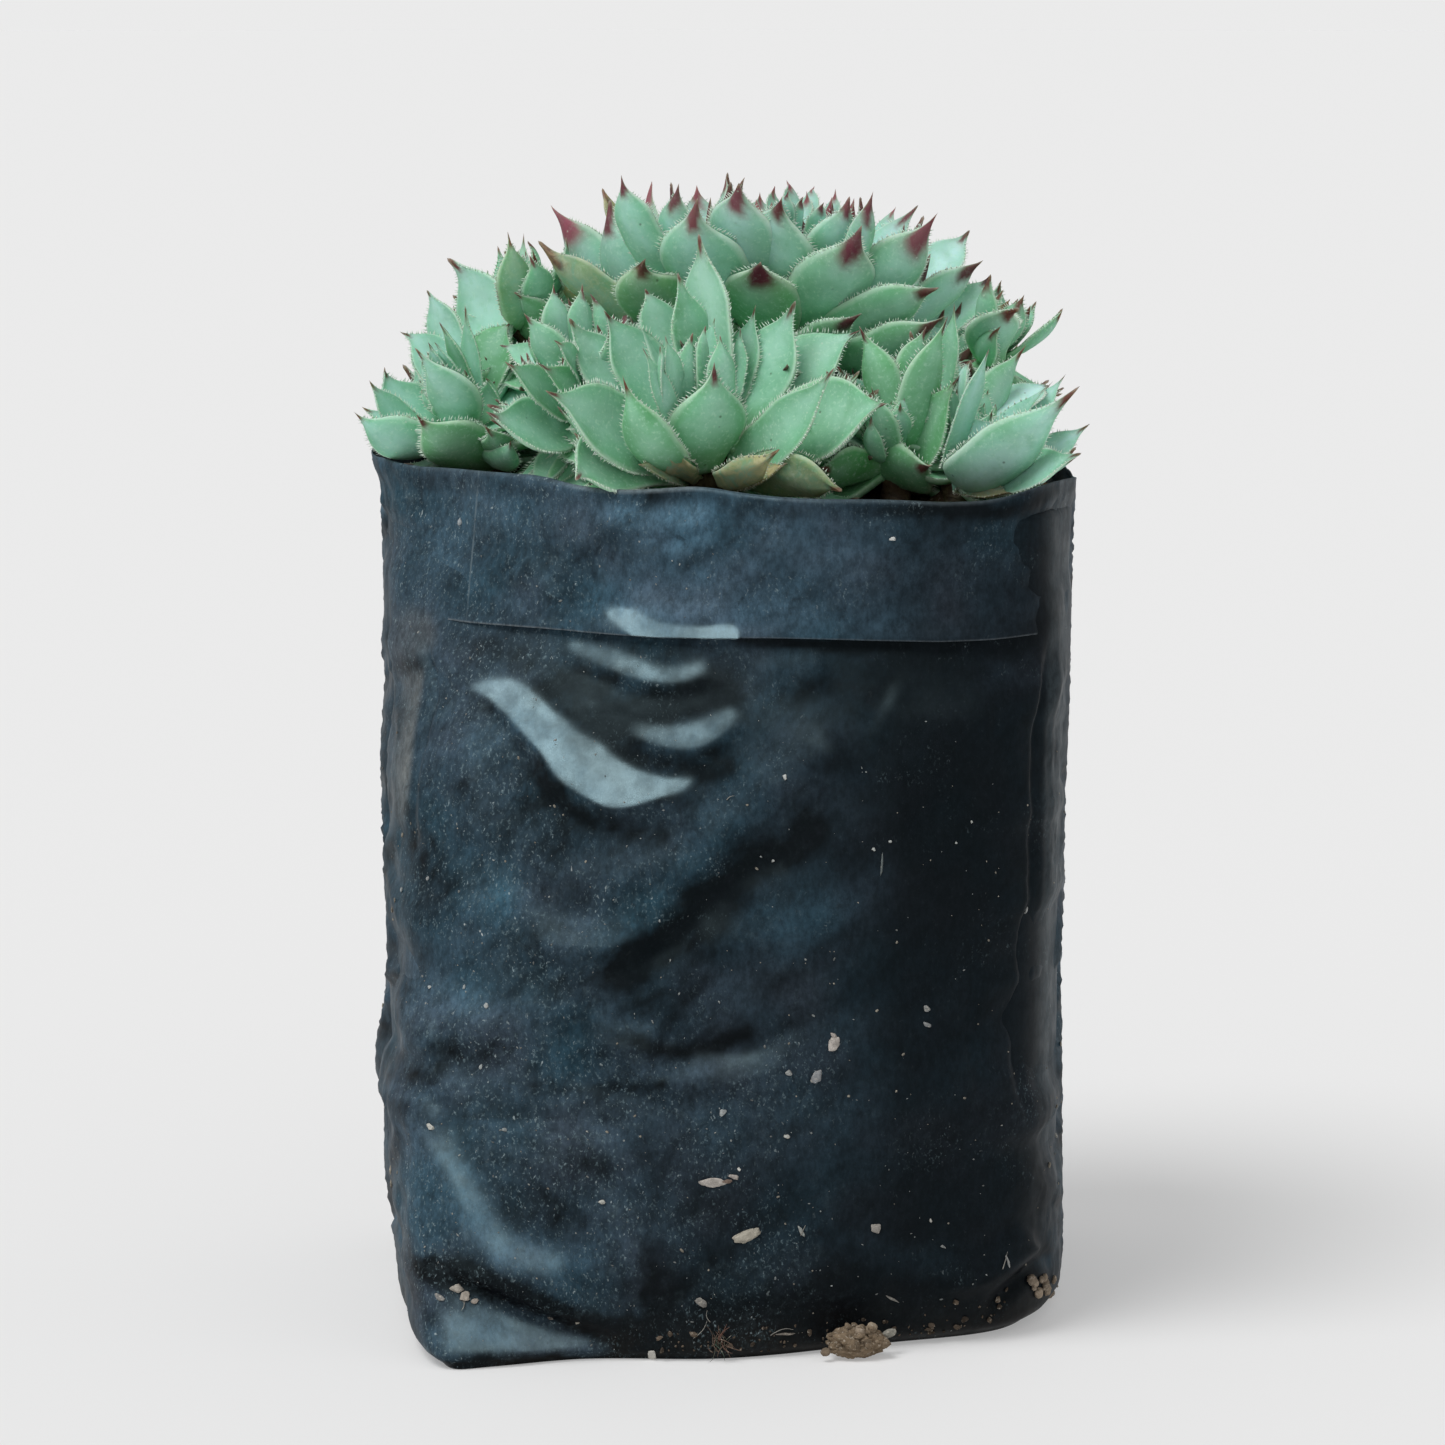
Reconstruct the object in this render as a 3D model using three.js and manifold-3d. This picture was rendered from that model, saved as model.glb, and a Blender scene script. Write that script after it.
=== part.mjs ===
// Potted houseleek: a clump of purple-tipped rosettes growing in a soil-filled
// nursery grow bag of black film, its mouth folded outward and down as a cuff.
// Millimetres, +Z up, origin on the floor under the middle of the bag,
// +X to the right and -Y to the front.
import * as THREE from 'three';
import { mergeVertices } from 'three/addons/utils/BufferGeometryUtils.js';
import Module from 'manifold-3d';

const wasm = await Module();
wasm.setup();

// ---- driving dimensions -------------------------------------------------
const RIM_Z = 125.5;        // height of the folded rim
const CUFF_Z = 105.0;       // lower edge of the cuff
const RIM_FALL = 0.02;      // the rim falls this much per mm towards +X
const FILM = 0.9;           // wall of the bag as drawn
const CUFF_GAP = 0.45;      // clear slot between the wall and the folded-down cuff
const GAP = 0.3;            // clearance between separate pieces
const AROUND = 28;          // points round the bag
const SOIL_EDGE_Z = 119.5;  // soil level at the wall
const LEAF_THICK = 2.3;     // full thickness of a 12 mm wide leaf
const COLLAR_PITCH = 2.6;   // height of each crown collar along its rosette's axis
const HEART_MIN_WIDTH = 72; // heart leaves narrower than this (tenths of a mm) are part of the bud

// Plan outlines of the bag at rising levels, each a closed loop of sixteen
// points from the front left corner, along the front, the right side, the back
// and the left side.
const LEVELS = [
  [0.0, [[-39, -50.5], [-20, -46.5], [1, -46], [22, -38.5], [42, -29.5], [48.5, -14], [50, 2], [47.5, 18], [40, 34], [20, 38.5], [0, 39.5], [-20, 38.5], [-37, 33], [-45.5, 15], [-47, -5], [-44.5, -28]]],
  [3.0, [[-41, -49.5], [-21, -46.5], [1, -46], [22.5, -39.8], [43.5, -31], [50.3, -14.5], [51.3, 2], [49.3, 18], [42.3, 35], [21, 39.8], [0, 40.8], [-21, 39.8], [-39.5, 34.5], [-48, 15.5], [-49.2, -3], [-46.8, -26]]],
  [14.0, [[-43.5, -45.5], [-22, -46], [0, -46], [23, -42], [44.5, -34], [51.4, -16], [52.3, 2], [50.8, 18], [44.5, 36], [22, 41], [0, 42], [-22, 41], [-42.5, 36], [-50.3, 16], [-51.2, 0], [-49, -22]]],
  [50.0, [[-45, -36], [-26, -42], [0, -44.5], [24, -44], [45, -36], [51, -20], [52, 0], [51, 18], [45, 36], [22, 41.5], [0, 42.5], [-22, 41.5], [-43, 36], [-50.8, 18], [-52.3, 0], [-50.5, -20]]],
  [85.0, [[-44, -26], [-27, -37], [0, -43], [24, -44.5], [45, -38], [51, -22], [52.2, 0], [51, 18], [45, 36], [22, 42], [0, 43.2], [-22, 42], [-43, 36.5], [-50.2, 19], [-51.8, 2], [-49.5, -12]]],
  [105.0, [[-42, -18], [-27, -29.5], [-6, -39], [20, -41.8], [45.5, -37], [51.2, -22], [52.2, 0], [51.2, 18], [45.3, 36.3], [22, 42.2], [0, 43.4], [-22, 42.2], [-43, 36.7], [-50.3, 20], [-51.3, 4], [-49, -8]]],
  [125.5, [[-40, -11], [-26, -26], [-5, -39], [20, -43], [44, -40], [51.5, -24], [53, -4], [52, 16], [46, 36], [22, 42.5], [0, 43.5], [-22, 42], [-43, 37], [-50.5, 24], [-52.5, 9], [-49.5, 0]]],
];

// The rosettes. c is the point where a crown meets its stem and a its axis;
// r is the crown's radius. Each leaf is [height of its base on the axis, tip x y z,
// knee x y z, width] in tenths of a millimetre, then its roll in degrees and its
// whorl (0 outer, 1 middle, 2 heart, 3 withered).
const ROSETTES = [
  { name: 'front', c: [-2.4, -22.0, 128.7], a: [-0.06, -0.402, 0.914], r: 4.2, leaves: [
    [5,233,-383,1382,154,-265,1349,125,40,0], [12,161,-384,1432,38,-286,1254,81,50,1], [16,201,-150,1471,94,-133,1401,103,16,0], [26,106,-170,1513,69,-150,1405,117,6,1],
    [36,50,-150,1505,12,-150,1362,64,-7,1], [24,-34,-155,1609,-5,-127,1425,93,-32,1], [34,-66,-170,1553,-29,-149,1393,75,28,1], [24,-112,-140,1529,-85,-128,1443,68,16,1],
    [20,-174,-190,1500,-117,-158,1407,96,-6,1], [12,-225,-200,1488,-161,-160,1382,89,-14,1], [6,-247,-393,1403,-160,-278,1328,116,-47,1], [12,-143,-367,1419,-91,-343,1260,77,40,1],
    [8,-11,-344,1437,-18,-331,1354,125,-40,2], [34,-44,-301,1477,-67,-295,1388,78,130,2], [42,-6,-313,1476,11,-320,1370,49,-100,2], [54,-12,-190,1490,-33,-180,1387,43,-23,1],
    [48,-82,-344,1476,-52,-282,1327,34,-72,2], [38,-111,-357,1460,-42,-289,1260,35,-78,2], [54,-85,-355,1462,-95,-298,1344,34,-67,2], [46,26,-180,1473,23,-176,1353,36,-9,1],
    [56,8,-96,1449,21,-148,1345,34,-42,0], [60,-28,-289,1486,-29,-300,1385,34,-124,2], [-6,-207,-389,1273,-201,-286,1304,105,-33,0], [-12,-78,-338,1318,-77,-308,1274,60,21,3],
    [-16,-121,-338,1290,-68,-278,1275,39,-53,3], [-12,81,-379,1314,-17,-334,1237,53,-54,3], [-20,94,-362,1294,-7,-291,1242,34,40,3], [-22,172,-378,1256,92,-334,1289,77,-84,3],
    [-12,-221,-243,1251,-140,-206,1209,96,-4,0], [-12,244,-106,1278,118,-132,1205,129,-3,0], [-12,199,-245,1229,97,-218,1201,113,-9,0], [3,-215,-271,1331,-157,-232,1269,101,-3,0],
    [8,-277,-89,1386,-176,-109,1270,121,2,0], [15,-169,-42,1439,-105,-72,1321,116,-7,0], [21,-1,-88,1505,1,-93,1383,108,-3,0], [28,94,-80,1483,58,-90,1353,109,4,0],
    [43,-136,-123,1486,-98,-127,1381,86,-3,0], [68,-20,-178,1474,-18,-173,1404,61,0,1]] },
  { name: 'mid_left', c: [-19.9, -10.0, 133.9], a: [-0.302, -0.222, 0.927], r: 2.2, leaves: [
    [4,-345,-265,1357,-258,-168,1306,93,-59,0], [16,-315,-242,1430,-240,-159,1358,61,-85,1], [20,-335,39,1433,-228,3,1393,51,-1,0], [30,-290,-160,1495,-236,-164,1426,64,35,2],
    [40,-251,-130,1535,-235,-142,1440,54,-54,2], [46,-208,-110,1534,-206,-134,1443,50,-87,2], [50,-195,-95,1518,-142,-119,1433,34,-80,2], [30,-271,-243,1429,-175,-169,1360,50,-104,1],
    [44,-240,-257,1462,-192,-183,1401,34,-114,1], [52,-235,46,1498,-214,-16,1359,34,-41,0], [-12,-141,-271,1255,-158,-175,1249,107,-5,0], [-12,-1,-185,1329,-80,-126,1276,101,2,0],
    [-12,12,-31,1358,-77,-57,1291,103,-4,0], [-12,-125,86,1358,-148,10,1283,105,7,0], [2,-334,55,1339,-260,-3,1283,104,5,0], [6,-342,-116,1345,-284,-100,1311,79,-5,0],
    [11,-39,-84,1454,-86,-80,1366,95,-1,0], [16,-145,21,1492,-150,2,1389,92,9,0], [20,-279,38,1387,-242,-15,1339,89,9,0], [26,-137,-239,1391,-152,-180,1343,74,-2,0],
    [33,-276,-74,1438,-258,-70,1390,62,8,1], [44,-152,-110,1477,-158,-103,1422,62,0,1]] },
  { name: 'left', c: [-38.9, 4.0, 128.8], a: [-0.402, -0.241, 0.884], r: 2.3, leaves: [
    [10,-549,-30,1337,-485,-30,1275,77,59,1], [15,-508,70,1397,-509,81,1333,85,-2,1], [15,-527,0,1382,-481,39,1288,51,-45,2], [22,-487,100,1447,-419,111,1415,77,27,1],
    [22,-448,120,1508,-389,127,1426,70,-15,1], [16,-418,150,1554,-307,155,1476,107,-4,1], [15,-320,80,1462,-352,96,1432,81,27,0], [40,-388,30,1492,-353,53,1283,40,32,1],
    [46,-423,10,1468,-350,40,1340,34,29,2], [50,-440,-20,1439,-400,12,1366,34,94,2], [53,-429,-30,1441,-380,7,1365,34,88,2], [24,-457,-60,1434,-384,-47,1352,87,-28,2],
    [-52,-453,-90,1336,-402,-52,1281,98,23,1], [22,-354,-20,1387,-327,18,1350,47,67,1], [4,-353,-93,1323,-304,-44,1266,51,-43,0], [-4,-311,-91,1304,-321,-51,1232,44,-79,0],
    [-12,-319,240,1306,-323,150,1237,119,-5,0], [-12,-233,172,1344,-279,120,1251,113,-4,0], [-12,-487,132,1241,-433,97,1231,93,8,0], [6,-500,223,1340,-427,167,1271,117,-6,0],
    [12,-388,198,1413,-375,152,1326,103,8,0], [17,-406,-61,1324,-393,-30,1291,81,-6,0], [23,-472,142,1406,-434,131,1329,89,5,0], [31,-505,-19,1315,-461,1,1290,70,7,0]] },
  { name: 'back_left', c: [-29.5, 14.0, 143.8], a: [-0.28, 0.02, 0.96], r: 2.0, leaves: [
    [20,-320,32,1601,-305,49,1474,62,25,1], [40,-306,288,1584,-314,234,1402,37,-13,1], [20,-347,268,1564,-315,231,1452,52,31,1], [25,-288,29,1566,-262,59,1494,59,8,1],
    [0,-312,38,1511,-264,69,1486,59,-33,1], [-12,-304,-10,1371,-285,70,1361,95,1,0], [-12,-161,28,1428,-216,83,1377,93,-3,0], [-12,-115,171,1447,-187,149,1382,94,-5,0],
    [-12,-206,287,1410,-237,211,1375,97,0,0], [2,-350,301,1429,-320,230,1397,95,6,0], [8,-262,307,1491,-265,244,1422,95,5,0], [16,-227,237,1551,-236,207,1478,83,0,0],
    [20,-338,279,1505,-313,230,1456,81,-5,0], [27,-320,91,1582,-297,88,1519,73,9,2], [33,-360,217,1524,-336,200,1478,62,-4,1], [40,-285,93,1570,-278,102,1518,55,1,1]] },
  { name: 'main', c: [9.2, 12.0, 141.4], a: [0.08, -0.03, 0.996], r: 7.0, leaves: [
    [30,-259,216,1634,-134,104,1426,82,67,0], [15,-276,29,1584,-79,0,1409,66,56,0], [55,-150,-46,1688,-120,-34,1508,66,39,1], [40,-184,272,1655,-115,236,1427,34,-12,0],
    [30,-171,128,1643,-172,67,1472,96,61,1], [65,-110,289,1664,-132,160,1407,52,83,0], [65,-64,-41,1678,-97,-21,1519,69,27,1], [40,-37,-108,1656,-65,-60,1531,130,18,1],
    [65,26,-103,1684,11,-49,1570,109,-5,1], [45,89,-93,1662,69,-50,1574,130,-20,1], [10,58,-109,1568,41,-52,1519,130,-6,1], [10,-113,-76,1569,-151,-39,1492,109,36,0],
    [26,205,-115,1618,163,-62,1506,130,-3,1], [60,188,-72,1658,154,-34,1540,84,3,1], [70,221,-80,1670,169,-46,1417,44,-7,1], [-2,205,-107,1488,101,-46,1425,62,-21,0],
    [40,318,-66,1634,206,-41,1476,91,-31,1], [60,302,305,1628,161,266,1450,60,19,0], [14,320,-108,1532,165,-55,1458,80,-37,0], [2,327,-109,1485,183,-59,1385,73,-44,0],
    [16,387,-25,1567,233,-20,1424,62,-46,0], [30,381,283,1587,296,263,1475,71,31,0], [10,413,283,1520,343,259,1399,56,37,0], [86,78,309,1654,70,251,1544,34,37,1],
    [94,97,-34,1666,87,5,1578,34,-46,1], [90,104,327,1667,104,262,1520,34,40,1], [98,115,-30,1659,106,11,1579,34,52,1], [98,132,305,1646,121,243,1541,34,-43,1],
    [90,147,-40,1652,130,2,1562,34,32,1], [76,-40,346,1655,-35,281,1503,52,-12,0], [82,-1,345,1647,-6,275,1479,34,-3,0], [70,268,325,1627,186,268,1429,34,12,0],
    [84,58,353,1644,55,278,1511,37,15,0], [84,176,325,1648,152,265,1514,34,-14,1], [88,138,329,1659,133,263,1525,34,-35,1], [-12,219,-226,1291,144,-54,1241,130,-2,0],
    [-12,438,-38,1314,272,33,1261,128,-2,0], [-12,393,313,1327,241,241,1271,129,9,0], [-12,122,500,1317,113,321,1276,122,-8,0], [2,-192,355,1467,-91,265,1350,135,2,0],
    [4,-265,93,1472,-138,109,1348,123,-2,0], [6,-62,-198,1460,-11,-74,1370,116,-1,0], [10,191,487,1480,151,354,1349,134,-3,0], [12,-74,420,1488,-22,308,1378,129,2,0],
    [15,-72,124,1656,-73,128,1521,114,-1,1], [18,298,154,1529,254,157,1435,104,7,1], [23,243,38,1583,228,50,1480,90,5,1], [26,278,218,1602,255,214,1470,99,0,1],
    [29,-107,-64,1516,-48,-2,1411,103,0,0], [32,113,25,1644,112,-12,1533,95,7,2], [35,190,44,1647,205,33,1528,90,5,2], [39,35,147,1677,-15,165,1563,91,3,2],
    [42,23,84,1609,-3,84,1527,81,-6,2], [48,175,21,1596,172,22,1506,77,3,2], [51,206,125,1649,220,127,1539,74,-5,2], [54,199,227,1643,185,218,1533,79,-5,1],
    [58,55,-13,1641,55,-5,1534,68,6,1], [64,223,96,1614,207,99,1527,59,-2,1]] },
  { name: 'front_right', c: [35.0, -19.0, 127.2], a: [0.22, -0.32, 0.921], r: 2.4, leaves: [
    [8,508,-392,1408,307,-332,1211,95,-33,1], [24,513,-2,1392,373,-68,1213,50,-1,0], [6,550,6,1315,375,-57,1197,47,16,0], [2,509,-393,1313,383,-274,1238,67,58,0],
    [40,381,-346,1457,294,-268,1211,35,-139,2], [32,449,-12,1435,346,-132,1284,65,-132,0], [28,489,-3,1378,404,-65,1341,61,-2,0], [24,471,-347,1410,262,-260,1191,39,82,1],
    [26,402,-334,1353,322,-261,1312,60,105,1], [54,390,-50,1368,376,-122,1265,34,-55,0], [56,371,-32,1385,369,-113,1251,34,39,0], [-16,416,-334,1248,330,-257,1246,34,42,0],
    [-12,449,-94,1241,394,-127,1218,89,-1,0], [-12,477,44,1261,399,-52,1178,115,-7,0], [4,105,-137,1389,199,-133,1286,112,-8,0], [9,215,-29,1420,240,-72,1285,121,8,0],
    [17,166,-108,1421,225,-120,1306,103,-1,0], [25,463,-163,1343,428,-159,1291,79,-2,0], [33,374,-345,1313,357,-287,1268,84,-3,0]] },
  { name: 'right_back', c: [39.7, 13.0, 137.7], a: [0.423, 0.0, 0.906], r: 2.2, leaves: [
    [26,442,-2,1492,392,41,1462,84,33,1], [30,417,8,1463,370,50,1404,48,-26,0], [26,453,279,1481,405,229,1388,41,31,0], [-12,461,-24,1260,411,62,1274,131,9,0],
    [-12,488,109,1283,429,120,1298,109,1,0], [-12,481,257,1273,404,195,1274,133,8,0], [-12,263,-68,1373,302,34,1316,155,-2,0], [3,459,-65,1350,406,24,1300,134,3,0],
    [9,514,83,1355,459,99,1341,104,-3,0], [15,526,219,1354,458,182,1326,113,-2,0]] },
  { name: 'nested', c: [25.4, -17.0, 127.6], a: [0.02, -0.221, 0.975], r: 2.2, leaves: [
    [-19,304,-243,1279,275,-218,1276,110,-58,0], [22,325,-200,1495,264,-227,1312,68,-77,2], [34,339,-170,1509,324,-142,1286,39,16,2], [-11,344,-240,1413,279,-178,1296,92,66,1],
    [20,201,-150,1475,257,-192,1349,64,104,2], [30,298,-140,1473,262,-181,1383,54,-120,2], [16,217,-240,1395,237,-236,1309,53,13,2], [30,262,-220,1385,264,-222,1338,43,19,2],
    [0,144,-250,1275,158,-232,1270,71,73,0], [10,217,-235,1355,211,-226,1277,34,2,2], [-6,200,-214,1304,190,-203,1286,34,21,1], [-12,96,-22,1259,181,-76,1205,111,-9,0],
    [-12,199,44,1272,229,-49,1219,109,-4,0], [-12,324,33,1246,290,-62,1211,110,-4,0], [6,436,-72,1330,363,-99,1241,106,-3,0], [13,470,-172,1345,392,-162,1250,104,-5,0],
    [23,192,-29,1401,209,-65,1307,94,3,0], [31,310,-57,1452,287,-67,1349,93,9,1], [41,154,-205,1415,174,-185,1348,67,-8,1], [50,172,-138,1411,195,-142,1352,58,1,1],
    [58,225,-139,1437,233,-139,1380,48,-9,1]] },
  { name: 'rear_left', c: [-29.0, 25.0, 130.5], a: [-0.331, 0.301, 0.894], r: 2.4, leaves: [
    [-12,-87,351,1271,-170,276,1225,120,-1,0], [-12,-269,445,1306,-248,361,1240,105,-2,0], [-12,-266,12,1316,-255,115,1235,120,-3,0], [-12,-89,118,1349,-164,171,1252,116,6,0],
    [3,-69,316,1378,-148,269,1297,119,-2,0], [6,-226,467,1309,-229,363,1263,111,-7,0], [10,-399,425,1293,-348,346,1256,114,6,0], [14,-504,295,1299,-411,255,1255,111,9,0],
    [18,-449,144,1407,-377,159,1332,102,8,0], [22,-305,126,1485,-289,142,1380,98,-9,0], [26,-202,225,1516,-196,215,1402,95,7,1], [30,-221,358,1466,-218,320,1379,100,5,1],
    [34,-312,433,1422,-282,381,1336,96,-1,1], [38,-408,385,1408,-369,351,1328,92,-4,1], [42,-452,305,1428,-413,279,1344,86,-4,1], [47,-406,229,1462,-376,211,1387,73,-4,1],
    [51,-333,228,1509,-305,210,1430,66,3,1]] },
  { name: 'rear', c: [1.0, 31.0, 131.0], a: [-0.05, 0.422, 0.905], r: 2.3, leaves: [
    [-12,-65,81,1347,-18,166,1259,143,4,0], [-12,125,95,1348,66,173,1261,146,-3,0], [-12,-66,387,1234,-32,331,1233,105,7,0], [-12,-236,248,1234,-96,252,1188,145,-7,0],
    [3,-116,124,1413,-49,169,1306,148,8,0], [8,70,134,1469,58,176,1349,132,7,0], [14,230,285,1435,158,263,1319,143,2,0], [19,189,468,1372,124,394,1302,126,6,0],
    [25,25,540,1368,24,449,1300,121,0,0], [31,-137,461,1403,-98,397,1319,128,-1,1], [37,-164,356,1471,-127,321,1362,109,-9,1], [43,-42,283,1536,-38,247,1432,102,-5,1],
    [50,46,321,1528,51,279,1441,103,0,1], [56,92,389,1505,85,354,1422,90,5,1], [62,42,423,1476,50,397,1406,77,4,2]] },
  { name: 'rear_right', c: [30.0, 27.0, 130.0], a: [0.331, 0.361, 0.872], r: 2.4, leaves: [
    [-12,328,47,1307,289,138,1237,120,0,0], [-12,240,372,1216,260,305,1222,90,-5,0], [-12,88,302,1288,178,262,1252,120,7,0], [-12,122,165,1355,184,201,1267,113,-8,0],
    [3,288,64,1401,264,132,1301,120,-6,0], [6,472,149,1321,388,186,1273,105,5,0], [9,496,305,1289,409,279,1254,110,4,0], [13,389,465,1322,340,390,1253,107,2,0],
    [17,247,474,1346,238,384,1284,103,9,0], [21,168,343,1452,186,302,1354,103,-2,0], [24,237,213,1482,231,208,1381,94,-3,0], [28,369,269,1480,338,229,1408,94,-5,2],
    [32,454,247,1419,409,231,1338,88,8,1], [36,447,367,1383,404,329,1318,88,-2,1], [40,378,422,1413,343,384,1340,82,6,1], [45,301,410,1451,268,374,1374,73,7,1],
    [49,293,337,1483,268,312,1414,73,-6,2]] },
];

// ---- colours --------------------------------------------------------------
const COLOURS = {
  film: { color: 0x232c36, roughness: 0.42, metalness: 0.0 },
  soil: { color: 0x3a2c20, roughness: 0.95, metalness: 0.0 },
  stem: { color: 0x8a7a52, roughness: 0.8, metalness: 0.0 },
  outer: { color: 0x7fae8a, roughness: 0.55, metalness: 0.0 },
  middle: { color: 0x8cc3a3, roughness: 0.5, metalness: 0.0 },
  heart: { color: 0x9a7a80, roughness: 0.5, metalness: 0.0 },
  withered: { color: 0xa08a55, roughness: 0.85, metalness: 0.0 },
};

const group = new THREE.Group();
const V = (x, y, z) => new THREE.Vector3(x, y, z);

// ---- closed meshes and solids ------------------------------------------------
function solidFrom(points, triangles) {
  const g = new THREE.BufferGeometry();
  g.setAttribute('position', new THREE.Float32BufferAttribute(points.flatMap((p) => [p.x, p.y, p.z]), 3));
  g.setIndex(triangles.flat());
  const m = mergeVertices(g, 1e-5);
  const s = new wasm.Manifold(new wasm.Mesh({ numProp: 3, vertProperties: new Float32Array(m.attributes.position.array), triVerts: new Uint32Array(m.index.array) }));
  return s;
}

function add(name, solid, look) {
  const parts = solid.decompose().sort((p, q) => q.volume() - p.volume());
  const mesh = parts[0].getMesh();
  const g = new THREE.BufferGeometry();
  const pos = new Float32Array(mesh.numVert * 3);
  for (let i = 0; i < mesh.numVert; i++) for (let k = 0; k < 3; k++) pos[i * 3 + k] = mesh.vertProperties[i * mesh.numProp + k];
  g.setAttribute('position', new THREE.BufferAttribute(pos, 3));
  g.setIndex(new THREE.BufferAttribute(new Uint32Array(mesh.triVerts), 1));
  g.computeVertexNormals();
  const m = new THREE.Mesh(g, new THREE.MeshStandardMaterial(COLOURS[look]));
  m.name = name;
  group.add(m);
  return parts[0];
}

// closed rings stacked into a skin, with a centre point at each end
function skin(first, rings, last) {
  const pts = [first, ...rings.flat(), last];
  const n = rings[0].length; const t = [];
  for (let j = 0; j < n; j++) t.push([0, 1 + (j + 1) % n, 1 + j]);
  for (let i = 0; i + 1 < rings.length; i++) {
    for (let j = 0; j < n; j++) {
      const a = 1 + i * n + j; const b = 1 + i * n + (j + 1) % n;
      t.push([a, b, b + n], [a, b + n, a + n]);
    }
  }
  const o = 1 + (rings.length - 1) * n;
  for (let j = 0; j < n; j++) t.push([o + j, o + (j + 1) % n, pts.length - 1]);
  let s = solidFrom(pts, t);
  if (s.volume() < 0) s = solidFrom(pts, t.map(([a, b, c]) => [a, c, b]));
  return s;
}

// ---- the bag -------------------------------------------------------------------
const LOOPS = LEVELS.map(([z, pts]) => {
  const c = new THREE.CatmullRomCurve3(pts.map(([x, y]) => V(x, y, 0)), true, 'centripetal');
  return [z, Array.from({ length: AROUND }, (_, k) => c.getPoint(k / AROUND))];
});

// plan outline at a height, moved inward by inset
function outline(z, inset) {
  let i = 0;
  while (i < LOOPS.length - 2 && LOOPS[i + 1][0] < z) i++;
  const [z0, a] = LOOPS[i]; const [z1, b] = LOOPS[i + 1];
  const f = Math.min(1, Math.max(0, (z - z0) / (z1 - z0)));
  const p = a.map((q, k) => q.clone().lerp(b[k], f));
  return p.map((q, k) => {
    const e = p[(k + 1) % p.length].clone().sub(p[(k + p.length - 1) % p.length]).normalize();
    return V(q.x - e.y * inset, q.y + e.x * inset, 0);
  });
}

function ring(z, inset) {
  const lift = THREE.MathUtils.smoothstep(z, 92, 118);
  return outline(z, inset).map((q) => V(q.x, q.y, z - RIM_FALL * q.x * lift));
}

const WALL_IN = FILM + CUFF_GAP;
const bagRings = [
  ring(FILM, 2.2), ring(3, FILM + 0.3), ring(14, FILM), ring(50, FILM), ring(85, FILM + 0.2),
  ring(CUFF_Z, WALL_IN + FILM), ring(RIM_Z - 0.9, WALL_IN + FILM), ring(RIM_Z, WALL_IN * 0.6 + 0.4),
  ring(RIM_Z - 0.9, 0), ring(CUFF_Z, 0), ring(CUFF_Z, FILM), ring(RIM_Z - 2.4, FILM),
  ring(RIM_Z - 2.4, WALL_IN), ring(CUFF_Z, WALL_IN), ring(85, 0.2), ring(50, 0), ring(14, 0), ring(3, 0), ring(0, 0),
];
const bag = skin(V(0, 0, FILM), bagRings, V(0, 0, 0));
add('grow_bag', bag, 'film');

// the space that the bag's walls and cuff keep for themselves
const bagKeep = skin(V(0, 0, -1), [
  ring(-1, 8), ring(-1, -GAP), ring(3, -GAP), ring(50, -GAP), ring(85, -GAP), ring(CUFF_Z, -GAP), ring(RIM_Z - 0.9, -GAP), ring(RIM_Z + GAP, WALL_IN * 0.6 + 0.4),
  ring(RIM_Z - 0.9, WALL_IN + FILM + GAP), ring(CUFF_Z, WALL_IN + FILM + GAP), ring(85, FILM + 0.2 + GAP), ring(50, FILM + GAP), ring(14, FILM + GAP), ring(3, FILM + 0.3 + GAP), ring(FILM + GAP, 2.5), ring(FILM + GAP, 9),
], V(0, 0, FILM + GAP));

// ---- the soil ------------------------------------------------------------------
const MOUNDS = [[6, 14, 5, 22], [-29, 15, 5, 9], [38, 14, 3, 9], [-18, -6, 2, 8]];
function soilTop(x, y) {
  let z = 120.6;
  for (const [cx, cy, h, s] of MOUNDS) z += h * Math.exp(-((x - cx) ** 2 + (y - cy) ** 2) / (2 * s * s));
  return z + 0.7 * Math.sin(x * 0.31 + 1.3) * Math.cos(y * 0.27);
}
function soilSolid(grow) {
  const i0 = FILM + GAP - grow;
  const rings = [
    ring(FILM + GAP - grow, 3.4 - grow), ring(4, i0 + 0.8), ring(14, i0 + 0.1), ring(50, i0), ring(85, i0 + 0.25), ring(CUFF_Z, WALL_IN + i0),
    ring(SOIL_EDGE_Z, WALL_IN + i0 + 0.1).map((q) => V(q.x, q.y, q.z + grow)),
  ];
  for (const k of [0.86, 0.6, 0.32]) {
    rings.push(outline(RIM_Z, WALL_IN + i0).map((q) => {
      const x = q.x * k; const y = q.y * k + 1.2 * (1 - k);
      const edge = THREE.MathUtils.smoothstep(1 - k, 0, 0.2);
      return V(x, y, THREE.MathUtils.lerp(SOIL_EDGE_Z, soilTop(x, y), 0.5 + 0.5 * edge) + grow);
    }));
  }
  return skin(V(0, 0, FILM + GAP - grow), rings, V(0, 1.2, soilTop(0, 1.2) + grow));
}

// ---- stems, collars and leaves -----------------------------------------------------
// a round bar of rings along a line of centres with a radius at each
function bar(centres, radii, sides = 7) {
  const rings = centres.map((c, i) => {
    const d = (centres[i + 1] || c).clone().sub(centres[i - 1] || c).normalize();
    const s = V(1, 0, 0).cross(d).normalize(); const n = d.clone().cross(s);
    return Array.from({ length: sides }, (_, k) => {
      const a = 2 * Math.PI * k / sides;
      return c.clone().addScaledVector(s, radii[i] * Math.cos(a)).addScaledVector(n, radii[i] * Math.sin(a));
    });
  });
  return skin(centres[0], rings, centres[centres.length - 1]);
}

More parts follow.
